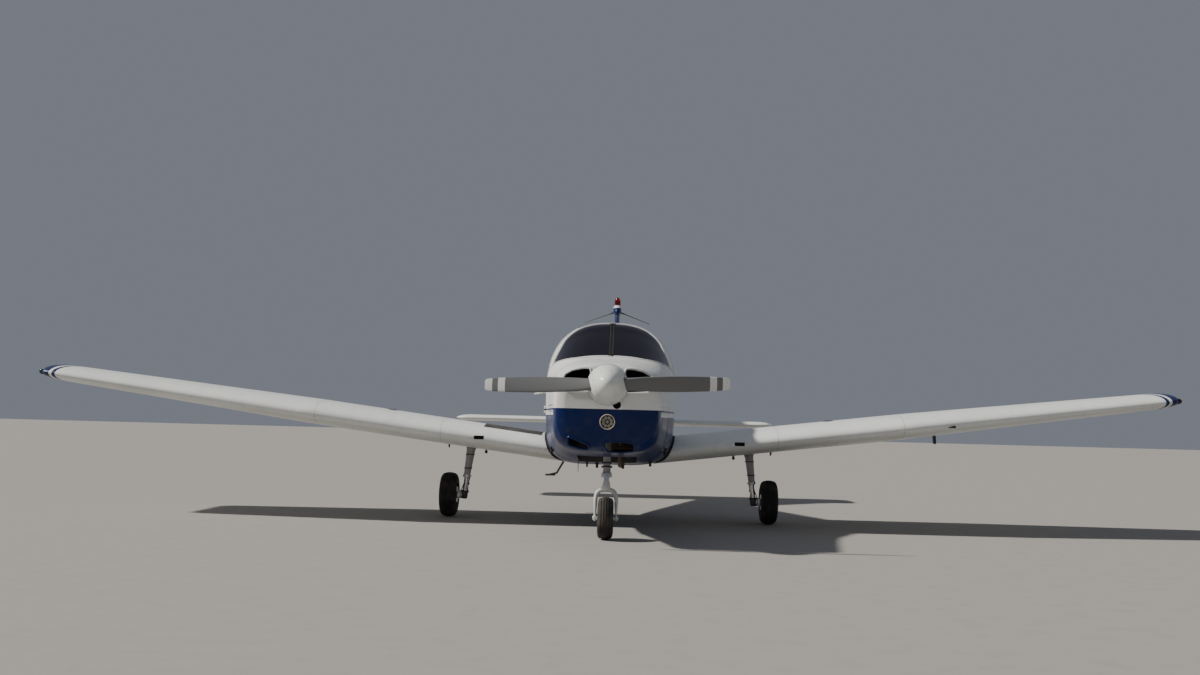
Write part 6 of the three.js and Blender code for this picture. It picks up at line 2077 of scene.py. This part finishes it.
def swollen(piece, cap):
    """Blows a closed form up like a cushion. No point moves further than the cap."""
    even = piece.modifiers.new("even", "REMESH")
    even.mode, even.voxel_size = "VOXEL", CUSHION_VOXEL
    settle(piece)
    start = [point.co.copy() for point in piece.data.vertices]
    cloth = piece.modifiers.new("cloth", "CLOTH").settings
    cloth.use_pressure, cloth.uniform_pressure_force = True, SWELL_PRESSURE
    cloth.effector_weights.gravity = 0.0
    for number in range(1, SWELL_FRAMES + 1):
        SCENE.frame_set(number)
    settle(piece)
    for point, old in zip(piece.data.vertices, start):
        step = point.co - old
        point.co = old + step * min(1.0, cap / max(step.length, 1e-9))
    SCENE.frame_set(1)
    fine = piece.modifiers.new("fine", "SUBSURF")
    fine.levels = 1
    return settle(piece)


def sewn(piece, seams):
    """Presses seams in. Each seam is a function that gives a place's distance from it."""
    normals = [point.normal.copy() for point in piece.data.vertices]
    for point, normal in zip(piece.data.vertices, normals):
        near = min(seam(point.co) for seam in seams)
        point.co -= normal * SEAM_DEPTH * math.exp(-(near / SEAM_WIDTH) ** 2)
    return piece


def pad(name, outline, low, high, cap):
    """A cushion from its side outline, drawn out across the aircraft."""
    return swollen(softened(side_prism(name, side_points(outline), low, high), 0.022), cap)


def lengthwise(*lines):
    """Seams that run along the aircraft, at these distances out."""
    return [lambda place, line=line: abs(abs(place.x) - line) for line in lines]


seat_cloth = finish("seat cloth", (0.16, 0.155, 0.15, 1), 0.95, grain=900, depth=0.0006, dirt=0.15)
belt_webbing = finish("belt webbing", (0.05, 0.05, 0.055, 1), 0.85, grain=1200, depth=0.0004, dirt=0.1)
print("cushions swell for", SWELL_FRAMES, "frames")

# %% [markdown]
# A front seat is a cushion, a back and a headrest on a frame of bent tubes, which stands on two rails.
# Its lap belt lies across it with a steel buckle. The port seat is made, and a mirrored copy is the
# starboard one, as the two are the same.

# %% Seats and belts
SEAT_SIDES = (0.066, 0.432)
SEAT_SEAMS = (0.150, 0.348)
SEAT_TUBES = (0.080, 0.418)
FLOOR_Z = 0.610
LAP_BELT = [
    # distance out, height, along the belt over a seat
    (0.053, 0.862), (0.056, 0.940), (0.075, 0.969), (0.160, 0.975), (0.250, 0.976), (0.340, 0.975),
    (0.425, 0.969), (0.444, 0.940), (0.447, 0.862),
]


def belt(name, points, station, width=0.046, thick=0.0024):
    """A flat strap through (distance out, height) points, across one seat."""
    rings = []
    for i, (x, z) in enumerate(points):
        before, after = points[max(i - 1, 0)], points[min(i + 1, len(points) - 1)]
        way = Vector((after[0] - before[0], after[1] - before[1])).normalized()
        out = Vector((way.y, -way.x)) * thick / 2
        rings.append([(x + out.x * side, at(station) + width * half, z + out.y * side)
                      for side, half in ((1, -0.5), (1, 0.5), (-1, 0.5), (-1, -0.5))])
    return loft(name, rings)


cushion = pad("front_seat_port_cushion", [(2.205, 0.862), (2.205, 0.925), (2.630, 0.950), (2.625, 0.862)],
              *SEAT_SIDES, 0.012)
sewn(cushion, lengthwise(*SEAT_SEAMS) + [lambda place: abs(place.y - at(2.330))])
back = pad("front_seat_port_back", [(2.668, 0.930), (2.790, 1.500), (2.836, 1.500), (2.752, 0.900)],
           *SEAT_SIDES, 0.012)
sewn(back, lengthwise(*SEAT_SEAMS) + [lambda place: abs(place.z - 1.330)])
rest = pad("front_seat_port_headrest", [(2.770, 1.518), (2.780, 1.572), (2.842, 1.570), (2.834, 1.516)],
           0.130, 0.368, 0.006)
SEAT_BARS = [
    # radius, then the bar's points as (station, height)
    (0.011, [(2.262, FLOOR_Z), (2.270, 0.760), (2.268, 0.838)]),
    (0.011, [(2.610, FLOOR_Z), (2.622, 0.760), (2.625, 0.838)]),
    (0.009, [(2.630, 0.850), (2.690, 0.960), (2.712, 1.050)]),
]
frame_pieces = [block("pan", (0.060, at(2.215), 0.836), (0.438, at(2.640), 0.856), 0.006)]
for x in SEAT_TUBES:
    frame_pieces += [tube("bar", [(x, at(station), z) for station, z in points], radius)
                     for radius, points in SEAT_BARS]
    frame_pieces.append(block("rail", (x - 0.014, at(2.200), FLOOR_Z),
                              (x + 0.014, at(2.660), FLOOR_Z + 0.012), 0.002))
frame_pieces += [rod("post", (x, at(2.800), 1.490), (x, at(2.806), 1.530), 0.006) for x in (0.190, 0.308)]
seat_frame = joined("front_seat_port_frame", frame_pieces)
lap_belt = belt("front_seat_port_belt", LAP_BELT, 2.560)
buckle = block("front_seat_port_buckle", (0.225, at(2.532), 0.974), (0.285, at(2.588), 0.986), 0.003)

for piece, look in ((cushion, seat_cloth), (back, seat_cloth), (rest, seat_cloth), (seat_frame, engine_grey),
                    (lap_belt, belt_webbing), (buckle, polished_steel)):
    soft = look == seat_cloth
    for made in both_sides(piece, look, nodes=("front_seat_port",) if soft else (), smooth=70):
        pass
print("front cushions:", [len(piece.data.polygons) for piece in (cushion, back, rest)], "faces")

# %% [markdown]
# The rear bench is one wide cushion and one back for two people, on a plain box. It is made like the
# front seats, with a seam down the middle and one along each place.

# %% Rear bench
BENCH_HALF = 0.420
bench = pad("rear_bench_cushion", [(3.022, 0.826), (3.018, 0.895), (3.425, 0.912), (3.425, 0.826)],
            -BENCH_HALF, BENCH_HALF, 0.012)
sewn(bench, lengthwise(0.0, 0.21) + [lambda place: abs(place.y - at(3.140))])
bench_back = pad("rear_bench_back", [(3.455, 0.925), (3.600, 1.410), (3.662, 1.408), (3.560, 0.900)],
                 -BENCH_HALF, BENCH_HALF, 0.012)
sewn(bench_back, lengthwise(0.0, 0.21) + [lambda place: abs(place.z - 1.260)])
base_outline = [(3.086, 0.618), (3.086, 0.800), (3.020, 0.812), (3.440, 0.812), (3.440, 0.618)]
bench_base = softened(side_prism("rear_bench_base", side_points(base_outline), -0.430, 0.430), 0.008)
for piece in (bench, bench_back):
    dress(piece, seat_cloth, nodes=("rear_bench",), smooth=70)
dress(bench_base, lining)
print("bench:", len(bench.data.polygons), "faces")

# %% [markdown]
# Small fittings tell a wing's size: a black seal along its root, a rough walkway on the starboard side,
# fuel caps, and screwed covers over the holes for inspection. They are placed by distance out and
# share of the chord, so that all of them lie on the skin.

# %% Wing fittings
WALKWAY = {"inner": 0.620, "outer": 1.150, "front": 0.115, "back": 0.790}
COVERS = [
    # distance out, share of the chord
    (1.050, 0.560), (1.950, 0.560), (2.350, 0.700), (3.050, 0.560), (3.750, 0.560), (4.450, 0.560),
]
FUEL_CAP = (2.020, 0.240)
TIE_DOWN, DRAIN, VENT = (1.520, 0.416), (1.170, 0.416), (1.545, 0.505)


def wing_out(x, share, side):
    """The direction that faces out of the wing's upper or lower surface."""
    along = wing_spot(x + 0.01, share, side) - wing_spot(x - 0.01, share, side)
    aft = wing_spot(x, share + 0.01, side) - wing_spot(x, share - 0.01, side)
    return along.cross(aft).normalized() * side


def wing_patch(name, xs, shares, side, proud):
    """A thin sheet that lies on the wing."""
    rings = []
    for x in xs:
        outside = [wing_spot(x, share, side, proud) for share in shares]
        rings.append(outside + [wing_spot(x, share, side, -0.001) for share in reversed(shares)])
    return loft(name, rings)


def disc(name, radius, height, centre, out):
    soft = height * 0.4
    profile = [(-0.002, 0), (-0.002, radius), (height - soft, radius), (height, radius - soft), (height, 0)]
    return turned(name, profile, centre, out, 40)


walkway = wing_patch("wing_walkway", spread(WALKWAY["inner"], WALKWAY["outer"], 8),
                     spread(WALKWAY["front"], WALKWAY["back"], 24), 1, 0.0016)
dress(moved(walkway, MIRROR), walk_grit)
root_seal = layer("wing_root_seal_port", 1.750, 3.640, -0.020, -0.0012)
combined(root_seal, loft("grown wing", [wing_ring(x, 0.0042) for x in (0.42, 0.50, 0.58, 0.66)]), "INTERSECT")
combined(root_seal, loft("wing", [wing_ring(x, 0.0004) for x in (0.40, 0.50, 0.58, 0.68)]))
combined(root_seal, block("port half", (0.30, at(1.5), 0), (WIDE, at(4.0), 2.0)), "INTERSECT")
both_sides(root_seal, black_rubber)
# The air slot's black cup is painted shade.
both_sides(slot_liner, black_rubber)

cap = disc("fuel_cap_port", 0.052, 0.005, wing_spot(*FUEL_CAP, 1), wing_out(*FUEL_CAP, 1))
tab_at = wing_spot(*FUEL_CAP, 1, 0.005)
tab = block("tab", tab_at + Vector((-0.034, -0.008, -0.002)), tab_at + Vector((0.034, 0.008, 0.006)), 0.002)
both_sides(joined("fuel_cap_port", [cap, tab]), polished_steel)
covers = [disc("cover", 0.058, 0.0016, wing_spot(*spot, -1), wing_out(*spot, -1)) for spot in COVERS]
both_sides(joined("wing_covers_port", covers), wing_paint)
screws = []
for x, share in COVERS:
    for k in range(6):
        angle = math.pi * k / 3
        spot = (x + 0.047 * math.cos(angle), share + 0.047 * math.sin(angle) / 1.5)
        screws.append((wing_spot(*spot, -1, 0.0012), wing_out(*spot, -1)))
both_sides(studs("wing_cover_screws_port", screws, 0.0042, 0.0018), polished_steel)
print("wing covers:", len(COVERS), "a side")

# %% [markdown]
# Under each wing hang an eye for tying the aircraft down, a fuel drain and a bent vent pipe. The port
# wing alone carries the mast that feels the air's pressure and the small vane that warns of a stall.
# All of them are found by the same two numbers: distance out and share of the chord.

# %% Tie-down eyes, drains and the pitot mast
eye_at = wing_spot(*TIE_DOWN, -1)
eye_offsets = [(-0.017, 0.006), (-0.015, -0.030), (0, -0.046), (0.015, -0.030), (0.017, 0.006)]
eye = plate_at("wing_tie_down_port", eye_at, eye_offsets, 0.008, 0.005, 0.0015)
combined(eye, rod("hole", eye_at + Vector((-0.02, 0, -0.028)), eye_at + Vector((0.02, 0, -0.028)), 0.0085))
both_sides(eye, black_plastic)
drain_at = wing_spot(*DRAIN, -1)
drain = joined("fuel_drain_port", [
    rod("stem", drain_at + Vector((0, 0, 0.004)), drain_at - Vector((0, 0, 0.034)), 0.011, 0.009),
    rod("valve", drain_at - Vector((0, 0, 0.022)), drain_at - Vector((0, 0, 0.044)), 0.015, 0.012)])
both_sides(drain, black_plastic)
vent_at = wing_spot(*VENT, -1)
vent = tube("fuel_vent_port", [vent_at + Vector((0, 0, 0.006)), vent_at - Vector((0, 0.002, 0.024)),
                               vent_at - Vector((0, 0.016, 0.034))], 0.0048, bends=4)
both_sides(vent, bare_aluminium)

PITOT, STALL = (3.066, 0.400), (3.090, 0.004)
mast_at = wing_spot(*PITOT, -1)
mast_offsets = [(-0.045, 0.008), (-0.075, -0.070), (-0.066, -0.086), (0.002, -0.086), (0.052, 0.008)]
dress(plate_at("pitot_mast", mast_at, mast_offsets, 0.010, 0.007, 0.004), black_plastic)
stall_at = wing_spot(*STALL, -1)
STALL_BLOCKS = [
    # two corners from the place on the wing, rounding of the edges
    ((-0.036, -0.002, -0.012), (0.036, 0.004, 0.010), 0.0015),
    ((-0.011, -0.026, -0.007), (0.011, 0.002, -0.004), 0.001),
]
stall = joined("stall_vane", [block("block", stall_at + Vector(low), stall_at + Vector(high), soft)
                              for low, high, soft in STALL_BLOCKS])
dress(stall, black_plastic)
print("pitot mast at", [round(value, 3) for value in mast_at])

# %% [markdown]
# Each wing tip carries a coloured lamp that looks ahead and outwards, red to port and green to
# starboard, and a clear flashing lamp behind it. All are turned domes, and the starboard ones are
# mirrored from the port ones with another finish.

# %% Lamps at the wing tips
NAV_LAMP = [(-0.030, 0), (-0.030, 0.027), (0.004, 0.027), (0.020, 0.022), (0.031, 0.013), (0.036, 0)]
STROBE = [(-0.020, 0), (-0.020, 0.019), (0.006, 0.019), (0.016, 0.013), (0.020, 0)]
lamp_at, strobe_at = wing_spot(5.285, 0.030, 0), wing_spot(5.318, 0.220, 0)
NAV_WAY = (0.80, -0.60, 0)
lamp_base = turned("nav_lamp_base_port", [
    (-0.034, 0), (-0.034, 0.031), (-0.004, 0.031), (0.001, 0.029), (0.001, 0)], lamp_at, NAV_WAY)
both_sides(lamp_base, bare_aluminium)
for label, lens in (("port", red_lens), ("starboard", green_lens)):
    lamp = turned(f"nav_lamp_{label}", NAV_LAMP, lamp_at, NAV_WAY, 32)
    strobe = turned(f"strobe_{label}", STROBE, strobe_at, (0.98, -0.20, 0), 32)
    for piece, look in ((lamp, lens), (strobe, clear_lens)):
        if label == "starboard":
            moved(piece, MIRROR)
        dress(piece, look, smooth=50)
print("lamps at", [round(value, 3) for value in lamp_at])

# %% [markdown]
# What hangs from the belly and stands on the roof is small, but it breaks the outline: a boarding step
# on a bent bar, drains, thin aerials and a dome. The step's bar could be one swept curve, but the real
# bar has one sharp bend, so it is two rods and a ball at the bend.

# %% Boarding step, drains and aerials
STEP_Y = at(3.600)
STEP_CORNERS = [(-0.438, STEP_Y, 0.606), (-0.552, STEP_Y, 0.402), (-0.655, STEP_Y, 0.3775)]
step_bar = [rod("bar", STEP_CORNERS[0], STEP_CORNERS[1], 0.0120, 0.0110),
            rod("toe", STEP_CORNERS[1], STEP_CORNERS[2], 0.0105, 0.0085),
            turned("bend", [(-0.0112, 0), (-0.0079, 0.0079), (0, 0.0112), (0.0079, 0.0079), (0.0112, 0)],
                   STEP_CORNERS[1], (0, 1, 0), 20)]
step_pad = block("pad", (-0.668, STEP_Y - 0.039, 0.3735), (-0.566, STEP_Y + 0.039, 0.3880), 0.004)
step_foot = turned("foot", [(-0.012, 0), (-0.012, 0.030), (0.004, 0.028), (0.010, 0.014), (0.010, 0)],
                   (-0.4405, STEP_Y, 0.598), (-0.37, 0, -0.93), 24)
boarding_step = joined("boarding_step_bar", step_bar + [step_pad, step_foot])
dress(boarding_step, black_plastic, nodes=("boarding_step",))
grit = block("boarding_step_grit", (-0.663, STEP_Y - 0.034, 0.3874), (-0.571, STEP_Y + 0.034, 0.3890), 0.0005)
dress(grit, walk_grit)

BELLY_FITTINGS = [
    # distance to port, station, length, radius
    (-0.478, 1.250, 0.036, 0.016), (-0.175, 1.250, 0.034, 0.008), (-0.090, 1.250, 0.038, 0.012),
    (0.130, 1.250, 0.040, 0.012), (0.360, 1.250, 0.038, 0.012), (0.484, 1.250, 0.052, 0.014),
]
fittings = []
for x, station, length, radius in BELLY_FITTINGS:
    foot, out = deck_spot(station, x, below=True)
    profile = [(-0.010, 0), (-0.010, radius * 1.5), (0.003, radius * 1.4), (0.006, radius),
               (length, radius * 0.9), (length, 0)]
    fittings.append(turned("drain", profile, foot, (0, 0, -1), 24))
foot, out = deck_spot(1.250, -0.250, below=True)
whip_ends = [foot + Vector((0, 0, 0.006)), foot + Vector((0, 0.012, -0.080))]
fittings.append(rod("whip", *whip_ends, 0.0035, 0.0018, 12))
foot, out = deck_spot(2.900, 0.200, below=True)
blade_offsets = [(-0.055, 0.006), (-0.010, -0.052), (0.040, -0.052), (0.055, 0.006)]
fittings.append(plate_at("blade aerial", foot, blade_offsets, 0.012, 0.006, 0.003))
dress(joined("belly_fittings", fittings), black_rubber)

DOME = [(-0.006, 0), (-0.006, 0.052), (0.006, 0.052), (0.017, 0.044), (0.026, 0.028), (0.031, 0.010),
        (0.032, 0)]
dome = turned("roof_dome", DOME, *deck_spot(3.150, -0.022))
dress(dome, spinner_paint, smooth=50)
mast_foot = deck_spot(3.560, 0.0)[0]
radio_offsets = [(-0.050, -0.006), (0.100, 0.230), (0.128, 0.230), (0.060, -0.010)]
radio_aerial = plate_at("radio_aerial", mast_foot, radio_offsets, 0.012, 0.006, 0.003)
dress(radio_aerial, spinner_paint)
print("belly fittings:", len(BELLY_FITTINGS) + 2)

# %% [markdown]
# The photo was taken from ahead, at about the height of the wing, on a bright day with the sun to the
# left. One sun lamp stands where the sun was, a pale world fills the shadows, and a plain floor
# catches the shadow. The camera's place and lens were worked out from the wheels, tips and tail.

# %% Floor, lights and camera
FLOOR_HALF = 60.0
SUN_FROM, SUN_SOFTNESS, SUN_POWER = (-1.0, -0.06, 0.88), math.radians(2), 4.7
CAMERA_PLACE = (0.152, -13.390, 0.988)
CAMERA_ROLL, CAMERA_PITCH, CAMERA_YAW = 1.507, 93.470, -0.168
CAMERA_LENS, CAMERA_SENSOR, CAMERA_SHIFT = 39.558, 36.0, -0.02736

corners = [(x * FLOOR_HALF, y * FLOOR_HALF, 0) for x, y in ((-1, -1), (1, -1), (1, 1), (-1, 1))]
floor = piece_of("floor", corners, [(0, 1, 2, 3)])
floor_look = finish("pale floor", (0.36, 0.345, 0.32, 1), 0.85, grain=6, depth=0.0006, dirt=0.03)
floor.data.materials.append(floor_look)

world = bpy.data.worlds.new("pale sky")
world.use_nodes = True
SCENE.world = world
sky = world.node_tree.nodes["Background"]
sky.inputs[0].default_value = (0.76, 0.82, 0.96, 1)
sky.inputs[1].default_value = 0.24

sun = bpy.data.objects.new("sun", bpy.data.lights.new("sun", "SUN"))
sun.data.energy, sun.data.angle, sun.data.color = SUN_POWER, SUN_SOFTNESS, (1.0, 0.95, 0.88)
sun.rotation_euler = (-Vector(SUN_FROM)).to_track_quat("-Z", "Y").to_euler()
SCENE.collection.objects.link(sun)

camera = bpy.data.objects.new("camera", bpy.data.cameras.new("camera"))
camera.data.lens, camera.data.sensor_width, camera.data.shift_x = CAMERA_LENS, CAMERA_SENSOR, CAMERA_SHIFT
placed = Matrix.Translation(CAMERA_PLACE)
for degrees, axis in ((CAMERA_YAW, "Z"), (CAMERA_PITCH, "X"), (CAMERA_ROLL, "Z")):
    placed = placed @ Matrix.Rotation(math.radians(degrees), 4, axis)
camera.matrix_world = placed
SCENE.collection.objects.link(camera)
SCENE.camera = camera
print("camera stands at", CAMERA_PLACE)

# %% [markdown]
